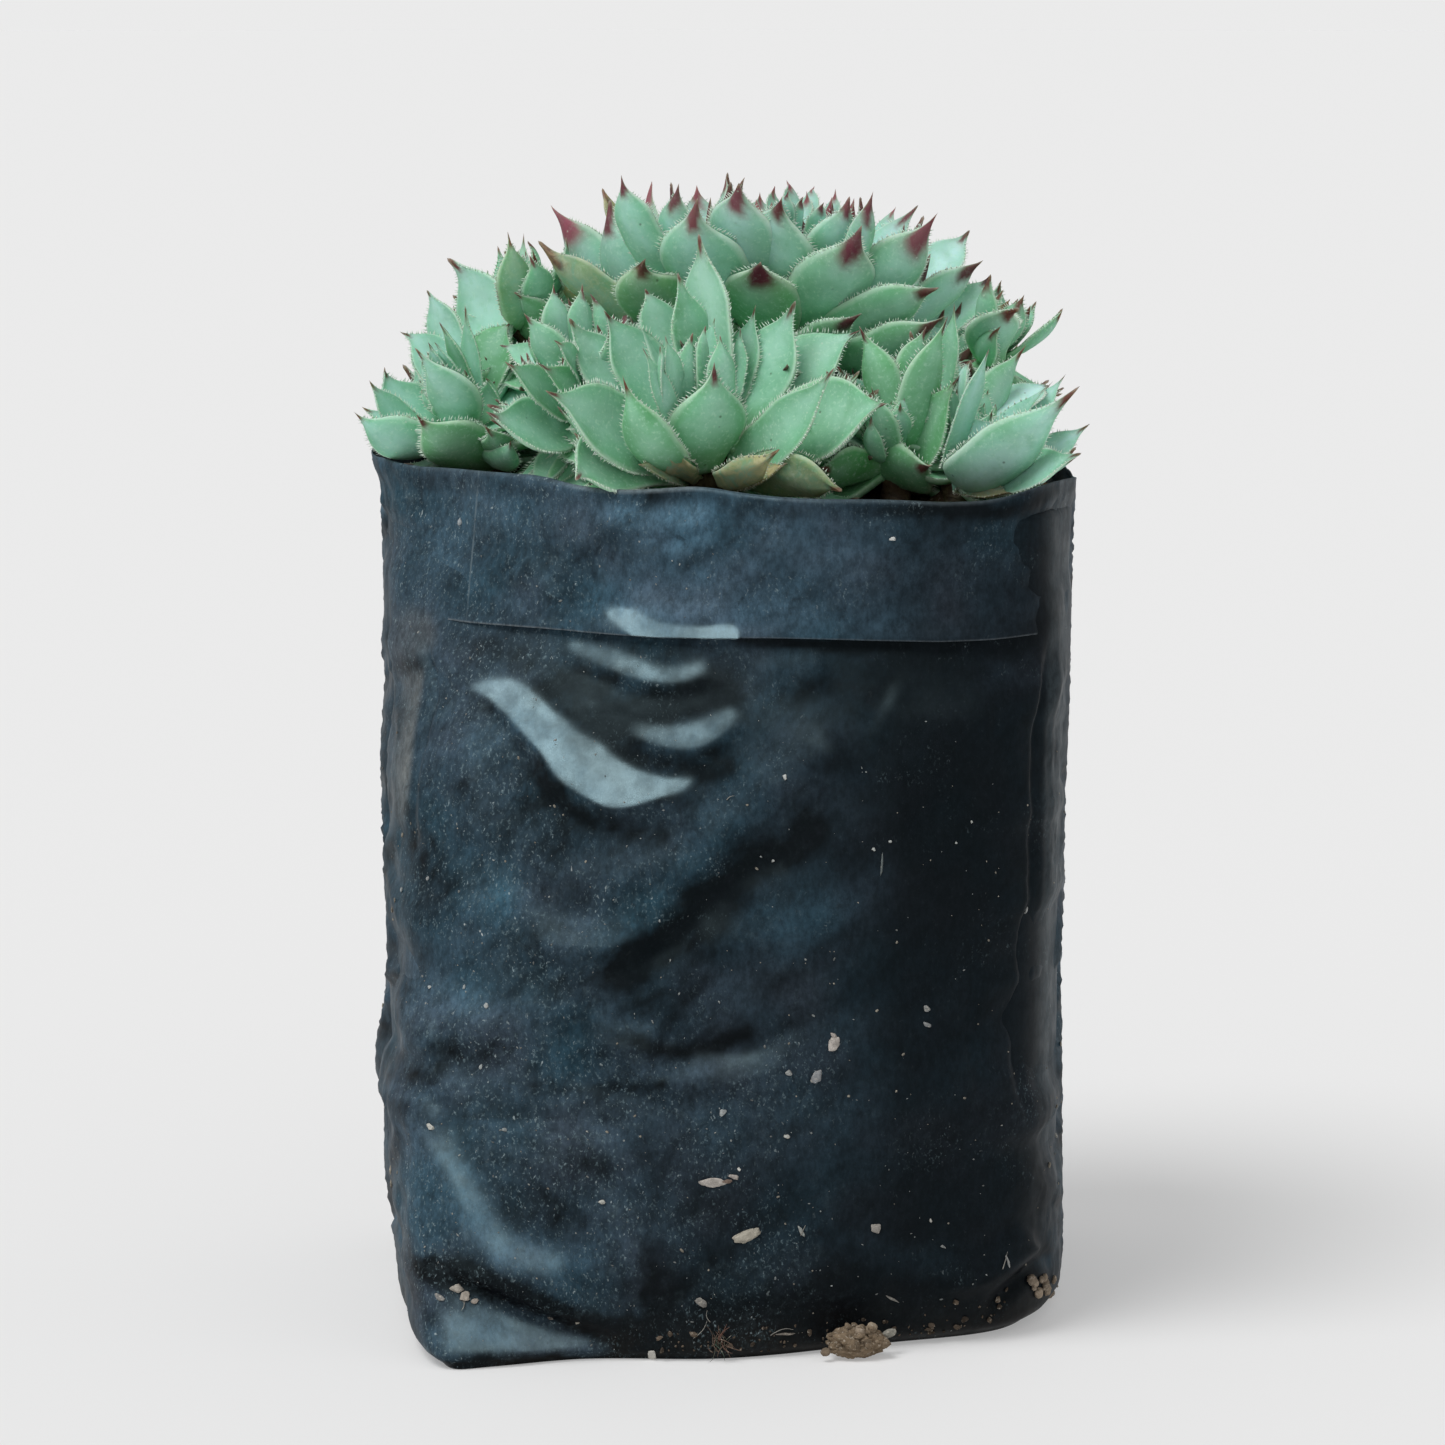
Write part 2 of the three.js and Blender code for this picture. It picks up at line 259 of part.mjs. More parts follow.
// share of the way along the leaf and of its full half-width there
function stations(length, width) {
  const reach = Math.min(0.66, width / length);
  return [[0, 0.18], [1 - 0.90 * reach, 0.94], [1 - 0.46 * reach, 0.56]];
}
// one leaf from base to a sharp tip, bent over its knee; grow swells it on every side
function leaf(base, tip, knee, axis, width, roll, grow) {
  const L = base.distanceTo(tip);
  const d = tip.clone().sub(base).normalize();
  let n = axis.clone().addScaledVector(d, -axis.dot(d)).normalize();
  const s0 = d.clone().cross(n);
  n = n.multiplyScalar(Math.cos(roll)).addScaledVector(s0, Math.sin(roll));
  const side = d.clone().cross(n);
  const thick = LEAF_THICK * width / 12;
  const along = knee.clone().sub(base).dot(d);
  const bend = knee.clone().addScaledVector(d, THREE.MathUtils.clamp(along, 0.2 * L, 0.8 * L) - along);
  const last = V(0, 0, 0);
  const pts = [];
  for (const [t, f] of stations(L, width)) {
    const c = base.clone().multiplyScalar((1 - t) ** 2).addScaledVector(bend, 2 * t * (1 - t)).addScaledVector(tip, t * t);
    if (t === 0) c.addScaledVector(d, -grow);
    last.copy(c);
    const w = width / 2 * f + grow; const hi = thick * 0.32 * f + grow; const lo = thick * 0.68 * f + grow;
    const cup = 0.18 * width / 2 * f;
    pts.push(c.clone().addScaledVector(side, w).addScaledVector(n, cup + hi * 0.5), c.clone().addScaledVector(side, -w).addScaledVector(n, cup + hi * 0.5), c.clone().addScaledVector(n, -lo));
  }
  pts.push(tip.clone().addScaledVector(tip.clone().sub(last).normalize(), grow * 1.5));
  const t = [[0, 1, 2]];
  const rows = 3;
  for (let i = 0; i + 1 < rows; i++) {
    for (let j = 0; j < 3; j++) {
      const a = i * 3 + j; const b = i * 3 + (j + 1) % 3;
      t.push([a, b + 3, b], [a, a + 3, b + 3]);
    }
  }
  const o = (rows - 1) * 3;
  for (let j = 0; j < 3; j++) t.push([o + j, rows * 3, o + (j + 1) % 3]);
  let m = solidFrom(pts, t);
  if (m.volume() < 0) m = solidFrom(pts, t.map(([a, b, c]) => [a, c, b]));
  return m;
}

const WHORLS = ['outer_leaves', 'middle_leaves', 'heart', 'withered_leaves'];
const LOOKS = ['outer', 'middle', 'heart', 'withered'];

// Each crown is a stack of collars on its axis, one under each whorl, with the
// leaves of the whorl growing out of it.
function crown(r) {
  const C = V(...r.c); const A = V(...r.a).normalize();
  const has = (k) => r.leaves.some((l) => l[9] === k);
  const order = (has(3) ? [3] : []).concat([0, 1, 2]);
  const h0 = has(3) ? -COLLAR_PITCH : 0;
  const spans = order.map((k, i) => [k, h0 + i * COLLAR_PITCH, h0 + (i + 1) * COLLAR_PITCH - GAP - 0.05]);
  return { C, A, spans, h0 };
}

function whorl(r, k, lo, hi, C, A, grow) {
  const rc = Math.max(2.4, Math.min(3.6, r.r));
  const at = (h) => C.clone().addScaledVector(A, h);
  const parts = [bar([at(lo - grow), at(hi + grow)], [rc + grow, rc * 0.92 + grow], 7)];
  if (k === 2) {
    // the closed bud at the middle of the crown
    const small = r.leaves.filter((l) => l[9] === 2);
    const tops = small.map((l) => V(l[1] / 10, l[2] / 10, l[3] / 10).sub(C).dot(A)).sort((p, q) => p - q);
    const top = tops.length ? tops[Math.floor(tops.length / 2)] * 0.92 : hi + 6;
    const hs = [lo - grow, hi, lo + (top - lo) * 0.55, lo + (top - lo) * 0.85, top + grow];
    parts.push(bar(hs.map(at), [rc * 0.8 + grow, rc * 0.95 + grow, rc * 0.85 + grow, rc * 0.45 + grow, 0.35 + grow], 7));
  }
  for (const l of r.leaves) {
    if (l[9] !== k || l[7] < (k === 2 ? HEART_MIN_WIDTH : 0)) continue;
    const tip = V(l[1] / 10, l[2] / 10, l[3] / 10); const knee = V(l[4] / 10, l[5] / 10, l[6] / 10);
    const hb = THREE.MathUtils.clamp(l[0] / 10, lo + 0.9, hi - 0.9);
    const mid = (lo + hi) / 2;
    const from = at(hb * 0.3 + mid * 0.7);
    parts.push(leaf(from, tip, knee, A, l[7] / 10, l[8] * Math.PI / 180, grow));
  }
  return wasm.Manifold.union(parts);
}

function stem(r, grow) {
  const { C, A, h0 } = crown(r);
  const top = C.clone().addScaledVector(A, h0 - GAP - 0.05 + grow);
  const down = A.clone().multiplyScalar(-0.45).add(V(0, 0, -0.55)).normalize();
  const reach = (top.z - (soilTop(top.x, top.y) - 8)) / -down.z;
  const foot = top.clone().addScaledVector(down, Math.max(9, reach) + grow);
  const knee = top.clone().addScaledVector(A, -2.4);
  const rs = Math.max(2.0, Math.min(3.2, r.r));
  return bar([foot, knee, top], [rs * 0.85 + grow, rs * 0.95 + grow, rs + grow], 7);
}

// ---- assembly -------------------------------------------------------------------
const ORDER = ['main', 'front', 'front_right', 'left', 'mid_left', 'back_left', 'right_back', 'nested', 'rear_left', 'rear', 'rear_right'];
const rosettes = ORDER.map((n) => ROSETTES.find((r) => r.name === n));

let keep = bagKeep;
const stems = [];
for (const r of rosettes) {
  const s = stem(r, 0).subtract(keep);
  stems.push(add(r.name + '_stem', s, 'stem'));
  keep = keep.add(stem(r, GAP));
}

const stemKeep = wasm.Manifold.union(rosettes.map((r) => stem(r, GAP)));
add('potting_soil', soilSolid(0).subtract(stemKeep), 'soil');
keep = keep.add(soilSolid(GAP));

for (const r of rosettes) {
  const { C, A, spans } = crown(r);
  for (const [k, lo, hi] of spans) {
    if (k !== 2 && !r.leaves.some((l) => l[9] === k)) continue;
    const made = add(r.name + '_' + WHORLS[k], whorl(r, k, lo, hi, C, A, 0).subtract(keep), LOOKS[k]);
    keep = keep.add(whorl(r, k, lo, hi, C, A, GAP));
  }
}

export default group;
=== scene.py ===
"""Potted houseleek: leaves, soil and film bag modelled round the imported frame. Metres, +Z up, -Y to the front."""
import math
import bpy
import numpy as np
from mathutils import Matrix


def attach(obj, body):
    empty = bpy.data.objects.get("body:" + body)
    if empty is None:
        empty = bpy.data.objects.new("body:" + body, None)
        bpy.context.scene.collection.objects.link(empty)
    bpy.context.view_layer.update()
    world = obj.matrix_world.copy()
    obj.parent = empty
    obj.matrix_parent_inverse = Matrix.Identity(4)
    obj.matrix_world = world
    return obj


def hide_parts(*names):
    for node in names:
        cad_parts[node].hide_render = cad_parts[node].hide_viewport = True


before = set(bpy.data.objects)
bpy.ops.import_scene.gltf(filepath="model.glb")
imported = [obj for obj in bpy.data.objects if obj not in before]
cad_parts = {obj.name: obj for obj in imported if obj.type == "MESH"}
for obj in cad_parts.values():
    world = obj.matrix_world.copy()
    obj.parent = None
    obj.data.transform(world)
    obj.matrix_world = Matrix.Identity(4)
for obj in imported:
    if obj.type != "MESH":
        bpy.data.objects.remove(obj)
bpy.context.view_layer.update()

MM = 0.001

# ---------------------------------------------------------------- viewpoint
# Pinhole camera of the reference view, used for the camera and for placing the
# film's folds where they are seen. Pixels are in a 1445 x 1445 frame.
CAM = np.array([0.0, -800.0, 207.0])
PITCH = math.radians(8.57)
FOCAL = 5364.0
MID = 722.5
FW = np.array([0.0, math.cos(PITCH), -math.sin(PITCH)])
UP = np.array([0.0, math.sin(PITCH), math.cos(PITCH)])


def project(p):
    r = np.asarray(p, float) - CAM
    d = r @ FW
    return MID + FOCAL * r[..., 0] / d, MID - FOCAL * (r @ UP) / d


def unit(v):
    v = np.asarray(v, float)
    return v / (np.linalg.norm(v) + 1e-12)


def smooth(x, a=0.0, b=1.0):
    f = np.clip((np.asarray(x, float) - a) / (b - a), 0, 1)
    return f * f * (3 - 2 * f)


# ---------------------------------------------------------------- noise
def _hash(i, j, k, seed):
    h = (i.astype(np.int64) * 374761393 + j.astype(np.int64) * 668265263 + k.astype(np.int64) * 2147483647 + seed * 1274126177) & 0xFFFFFFFF
    h = ((h ^ (h >> 13)) * 1274126177) & 0xFFFFFFFF
    h = (h ^ (h >> 16)) & 0xFFFFFFFF
    return h / 4294967295.0


def noise3(x, y, z, seed=0):
    """smooth value noise in -1..1"""
    x, y, z = np.broadcast_arrays(np.asarray(x, float), np.asarray(y, float), np.asarray(z, float))
    i, j, k = np.floor(x), np.floor(y), np.floor(z)
    fx, fy, fz = [f * f * f * (f * (f * 6 - 15) + 10) for f in (x - i, y - j, z - k)]
    out = 0
    for a in (0, 1):
        for b in (0, 1):
            for c in (0, 1):
                w = (fx if a else 1 - fx) * (fy if b else 1 - fy) * (fz if c else 1 - fz)
                out = out + w * _hash(i + a, j + b, k + c, seed)
    return out * 2 - 1


def fbm(x, y, z, seed=0, octaves=4, gain=0.5):
    s, a, f, n = 0, 1.0, 1.0, 0
    for o in range(octaves):
        s = s + a * noise3(x * f, y * f, z * f, seed + o * 17)
        n += a
        a *= gain
        f *= 2.03
    return s / n


# ---------------------------------------------------------------- meshes
def make_mesh(name, verts_mm, faces, attrs=None, smooth_shade=True, materials=()):
    """faces is a list of index arrays, each N x 3 or N x 4"""
    me = bpy.data.meshes.new(name)
    v = np.ascontiguousarray(np.asarray(verts_mm, np.float64) * MM, np.float32)
    me.vertices.add(len(v))
    me.vertices.foreach_set("co", v.ravel())
    sizes = np.concatenate([np.full(len(f), f.shape[1], np.int32) for f in faces])
    loops = np.concatenate([np.asarray(f, np.int32).ravel() for f in faces])
    me.loops.add(len(loops))
    me.loops.foreach_set("vertex_index", loops)
    me.polygons.add(len(sizes))
    starts = np.concatenate([[0], np.cumsum(sizes)[:-1]]).astype(np.int32)
    me.polygons.foreach_set("loop_start", starts)
    me.update(calc_edges=True)
    me.validate()
    for key, data in (attrs or {}).items():
        at = me.attributes.new(key, "FLOAT_COLOR", "POINT")
        c = np.ones((len(v), 4), np.float32)
        c[:, :data.shape[1]] = data
        at.data.foreach_set("color", c.ravel())
    if smooth_shade:
        me.shade_smooth()
    for m in materials:
        me.materials.append(m)
    o = bpy.data.objects.new(name, me)
    bpy.context.scene.collection.objects.link(o)
    return o


class Heap:
    """collects the vertices, faces and attributes of many small pieces of one mesh"""

    def __init__(self):
        self.v, self.q, self.t, self.c, self.m, self.n = [], [], [], [], [], 0

    def add(self, v, quads, tris, col, msk):
        self.v.append(v)
        if len(quads):
            self.q.append(np.asarray(quads, np.int64) + self.n)
        if len(tris):
            self.t.append(np.asarray(tris, np.int64) + self.n)
        self.c.append(col)
        self.m.append(msk)
        self.n += len(v)

    def build(self, name, material):
        f = []
        if self.q:
            f.append(np.concatenate(self.q))
        if self.t:
            f.append(np.concatenate(self.t))
        return make_mesh(name, np.concatenate(self.v), f, {"col": np.concatenate(self.c), "msk": np.concatenate(self.m)}, True, (material,))


# ---------------------------------------------------------------- node helpers
class Nodes:
    """short names for building a material's nodes"""

    def __init__(self, name):
        self.m = bpy.data.materials.new(name)
        self.m.use_nodes = True
        self.t = self.m.node_tree
        self.t.nodes.clear()
        self.out = self.t.nodes.new("ShaderNodeOutputMaterial")
        self.bsdf = self.t.nodes.new("ShaderNodeBsdfPrincipled")
        self.t.links.new(self.bsdf.outputs[0], self.out.inputs[0])
        self.co = self.t.nodes.new("ShaderNodeTexCoord").outputs["Object"]

    def link(self, a, b):
        self.t.links.new(a, b)

    def put(self, node, key, val):
        s = node.inputs[key]
        if isinstance(val, bpy.types.NodeSocket):
            self.link(val, s)
        else:
            s.default_value = val

    def noise(self, scale, detail=3.0, rough=0.5, dist=0.0, co=None):
        n = self.t.nodes.new("ShaderNodeTexNoise")
        self.link(co or self.co, n.inputs["Vector"])
        n.inputs["Scale"].default_value = scale
        n.inputs["Detail"].default_value = detail
        n.inputs["Roughness"].default_value = rough
        n.inputs["Distortion"].default_value = dist
        return n.outputs["Fac"]

    def voronoi(self, scale, feature="F1", rnd=1.0, co=None):
        n = self.t.nodes.new("ShaderNodeTexVoronoi")
        n.feature = feature
        self.link(co or self.co, n.inputs["Vector"])
        n.inputs["Scale"].default_value = scale
        n.inputs["Randomness"].default_value = rnd
        return n

    def stretch(self, sx, sy, sz, rot=(0, 0, 0), co=None):
        n = self.t.nodes.new("ShaderNodeMapping")
        self.link(co or self.co, n.inputs["Vector"])
        n.inputs["Scale"].default_value = (sx, sy, sz)
        n.inputs["Rotation"].default_value = rot
        return n.outputs[0]

    def ramp(self, fac, *stops, mode="LINEAR"):
        n = self.t.nodes.new("ShaderNodeValToRGB")
        n.color_ramp.interpolation = mode
        self.link(fac, n.inputs[0])
        e = n.color_ramp.elements
        for i, (p, c) in enumerate(stops):
            x = e[i] if i < 2 else e.new(p)
            x.position = p
            x.color = (c, c, c, 1) if isinstance(c, (int, float)) else (*c[:3], 1)
        return n.outputs[0]

    def rng(self, fac, a, b, c=0.0, d=1.0):
        n = self.t.nodes.new("ShaderNodeMapRange")
        n.interpolation_type = "SMOOTHSTEP"
        self.put(n, 0, fac)
        n.inputs[1].default_value = a
        n.inputs[2].default_value = b
        n.inputs[3].default_value = c
        n.inputs[4].default_value = d
        return n.outputs[0]

    def math(self, op, a, b=0.5, c=None):
        n = self.t.nodes.new("ShaderNodeMath")
        n.operation = op
        self.put(n, 0, a)
        self.put(n, 1, b)
        if c is not None:
            self.put(n, 2, c)
        return n.outputs[0]

    def mix(self, fac, a, b, mode="MIX"):
        n = self.t.nodes.new("ShaderNodeMix")
        n.data_type = "RGBA"
        n.blend_type = mode
        n.clamp_factor = True
        self.put(n, 0, fac)
        for k, v in ((6, a), (7, b)):
            if isinstance(v, bpy.types.NodeSocket):
                self.link(v, n.inputs[k])
            else:
                n.inputs[k].default_value = (*v[:3], 1)
        return n.outputs[2]

    def attr(self, name):
        n = self.t.nodes.new("ShaderNodeAttribute")
        n.attribute_name = name
        return n

    def split(self, col):
        n = self.t.nodes.new("ShaderNodeSeparateColor")
        self.link(col, n.inputs[0])
        return n.outputs

    def bump(self, height, strength, distance, normal=None):
        n = self.t.nodes.new("ShaderNodeBump")
        n.inputs["Strength"].default_value = strength
        n.inputs["Distance"].default_value = distance
        self.link(height, n.inputs["Height"])
        if normal is not None:
            self.link(normal, n.inputs["Normal"])
        return n.outputs[0]

    def set(self, **kw):
        names = {"color": "Base Color", "rough": "Roughness", "metal": "Metallic", "spec": "Specular IOR Level", "ior": "IOR", "normal": "Normal",
                 "coat": "Coat Weight", "coat_rough": "Coat Roughness", "sheen": "Sheen Weight", "sheen_rough": "Sheen Roughness",
                 "sss": "Subsurface Weight", "sss_scale": "Subsurface Scale"}
        for k, v in kw.items():
            s = self.bsdf.inputs[names[k]]
            if isinstance(v, bpy.types.NodeSocket):
                self.link(v, s)
            elif isinstance(v, (tuple, list)):
                s.default_value = (*v[:3], 1)
            else:
                s.default_value = v
        return self.m


# ---------------------------------------------------------------- leaf material
def leaf_material(name, dull=0.0):
    n = Nodes(name)
    col = n.attr("col").outputs["Color"]
    msk = n.split(n.attr("msk").outputs["Color"])      # R margin, G tip, B dryness
    bloom = n.rng(n.noise(150, 4, 0.6, 0.6), 0.38, 0.66)
    soft = n.noise(60, 2, 0.5)
    plain = n.math("SUBTRACT", 1.0, n.math("MULTIPLY", msk[1], 0.80))
    c = n.mix(n.math("MULTIPLY", n.math("MULTIPLY", bloom, plain), 0.42), col, n.mix(0.5, col, (0.48, 0.76, 0.64)), "MIX")
    c = n.mix(n.math("MULTIPLY", n.rng(soft, 0.35, 0.7), 0.22), c, (0.80, 0.93, 0.78), "MULTIPLY")
    c = n.mix(n.math("MULTIPLY", n.rng(n.noise(900, 3, 0.65), 0.48, 0.72), 0.32), c, (0.60, 0.82, 0.64), "MULTIPLY")
    c = n.mix(n.math("MULTIPLY", n.math("MULTIPLY", n.rng(n.noise(1500, 3, 0.7), 0.52, 0.70), plain), 0.28), c, (0.66, 0.90, 0.76))
    specks = n.voronoi(420)
    spot = n.rng(specks.outputs["Distance"], 0.05, 0.12, 1.0, 0.0)
    rare = n.rng(n.split(specks.outputs["Color"])[0], 0.80, 0.84)
    c = n.mix(n.math("MULTIPLY", n.math("MULTIPLY", spot, rare), 0.55), c, (0.04, 0.07, 0.035))
    dust = n.voronoi(700)
    dspot = n.rng(dust.outputs["Distance"], 0.06, 0.16, 1.0, 0.0)
    drare = n.rng(n.split(dust.outputs["Color"])[1], 0.86, 0.9)
    c = n.mix(n.math("MULTIPLY", n.math("MULTIPLY", dspot, drare), 0.45), c, (0.62, 0.72, 0.62))
    # dry tissue: streaky browns
    streak = n.noise(380, 4, 0.7, 1.2)
    dry = n.ramp(streak, (0.30, (0.16, 0.09, 0.04)), (0.55, (0.46, 0.36, 0.17)), (0.75, (0.62, 0.54, 0.33)))
    c = n.mix(n.math("MULTIPLY", msk[2], n.rng(streak, 0.25, 0.6, 0.35, 0.95)), c, dry)
    rough = n.rng(n.noise(260, 3, 0.6), 0.3, 0.7, 0.50 + dull, 0.70 + dull)
    fine = n.noise(1100, 3, 0.6)
    h1 = n.bump(fine, 0.22, 0.00014)
    nrm = n.bump(n.noise(190, 3, 0.6, 0.4), 0.22, 0.0005, h1)
    return n.set(color=c, rough=rough, spec=0.06, normal=nrm, sss=0.16, sss_scale=0.0022, sheen=0.06, sheen_rough=0.5)


LEAF = leaf_material("houseleek_leaf")
HEART = leaf_material("houseleek_heart_leaf", 0.02)
WITHER = leaf_material("houseleek_withered_leaf", 0.12)
for _m in (LEAF, HEART, WITHER):
    _b = [x for x in _m.node_tree.nodes if x.type == "BSDF_PRINCIPLED"][0]
    _b.inputs["Subsurface Radius"].default_value = (0.7, 1.0, 0.45)

# ---------------------------------------------------------------- leaf geometry
# half-width share against the distance from the tip, in reaches
TIP_U = np.array([0, .07, .15, .24, .33, .41, .49, .58, .68, .80, .92, 9])
TIP_F = np.array([0, .035, .08, .155, .27, .41, .56, .71, .84, .94, 1.0, 1.0])


def reach_of(L, W):
    return min(0.66, 1.0 * W / L)


def outline_of(L, W, fine):
    """stations along the leaf, close together at the tip"""
    reach = reach_of(L, W)
    u = np.array([0, .04, .09, .15, .21, .27, .33, .39, .45, .52, .60, .70, .80, .90, 1.0]) if fine else np.array([0, .07, .16, .27, .38, .50, .64, .80, 1.0])
    ts = 1 - u * reach
    return np.concatenate([np.linspace(0, ts[-1], 9 if fine else 5)[:-1], ts[::-1]])


def width_at(t, L, W):
    return np.interp((1 - t) / reach_of(L, W), TIP_U, TIP_F) * (0.50 + 0.50 * smooth(t, -0.05, 0.45))


GLAUC = np.array([0.305, 0.640, 0.495])
GREEN = np.array([0.135, 0.430, 0.165])
DEEP = np.array([0.040, 0.215, 0.036])
PALE = np.array([0.480, 0.690, 0.440])
ICE = np.array([0.455, 0.760, 0.640])
RIM_C = np.array([0.700, 0.850, 0.680])
FROST = np.array([0.560, 0.800, 0.710])
PURPLE = np.array([0.058, 0.008, 0.014])
MAUVE = np.array([0.300, 0.085, 0.120])
BROWN = np.array([0.210, 0.085, 0.045])

# per rosette: size of the coloured tip, share of mauve, share of brown, greenness
LOOK = {
    "main": (0.45, 0.13, 0.10, 0.16), "front": (0.20, 0.50, 0.50, 0.05), "front_right": (0.25, 0.40, 0.50, 0.08), "left": (0.22, 0.45, 0.55, 0.02),
    "mid_left": (0.30, 0.75, 0.25, 0.08), "back_left": (0.24, 0.40, 0.55, 0.22), "right_back": (0.38, 0.55, 0.75, 0.26), "nested": (0.26, 0.40, 0.45, 0.25),
    "rear_left": (0.34, 0.50, 0.30, 0.12), "rear": (0.50, 0.90, 0.15, 0.08), "rear_right": (0.36, 0.50, 0.30, 0.14),
}

# how much lighter or darker each rosette's leaves are made, except at the tips and margins
ROSETTE_BRIGHTNESS = {"main": (1.26, 1.17, 1.35), "front": (0.93, 0.97, 0.93), "front_right": (1.25, 1.12, 1.31), "left": (1.14, 1.09, 1.20), "mid_left": (1.00, 1.02, 1.02),
         "back_left": (1.08, 1.08, 1.12), "right_back": (1.12, 1.08, 1.14), "nested": (0.95, 0.98, 0.95), "rear_left": (1.04, 1.02, 1.07), "rear": (1.05, 1.02, 1.08), "rear_right": (1.02, 0.98, 1.04)}


def leaf_frame(B, T, A, roll):
    d = unit(T - B)
    n = A - (A @ d) * d
    if np.linalg.norm(n) < 1e-3:
        n = np.cross(d, [1, 0, 0])
    n = unit(n)
    s = np.cross(d, n)
    n = n * math.cos(roll) + s * math.sin(roll)
    return d, np.cross(d, n), n


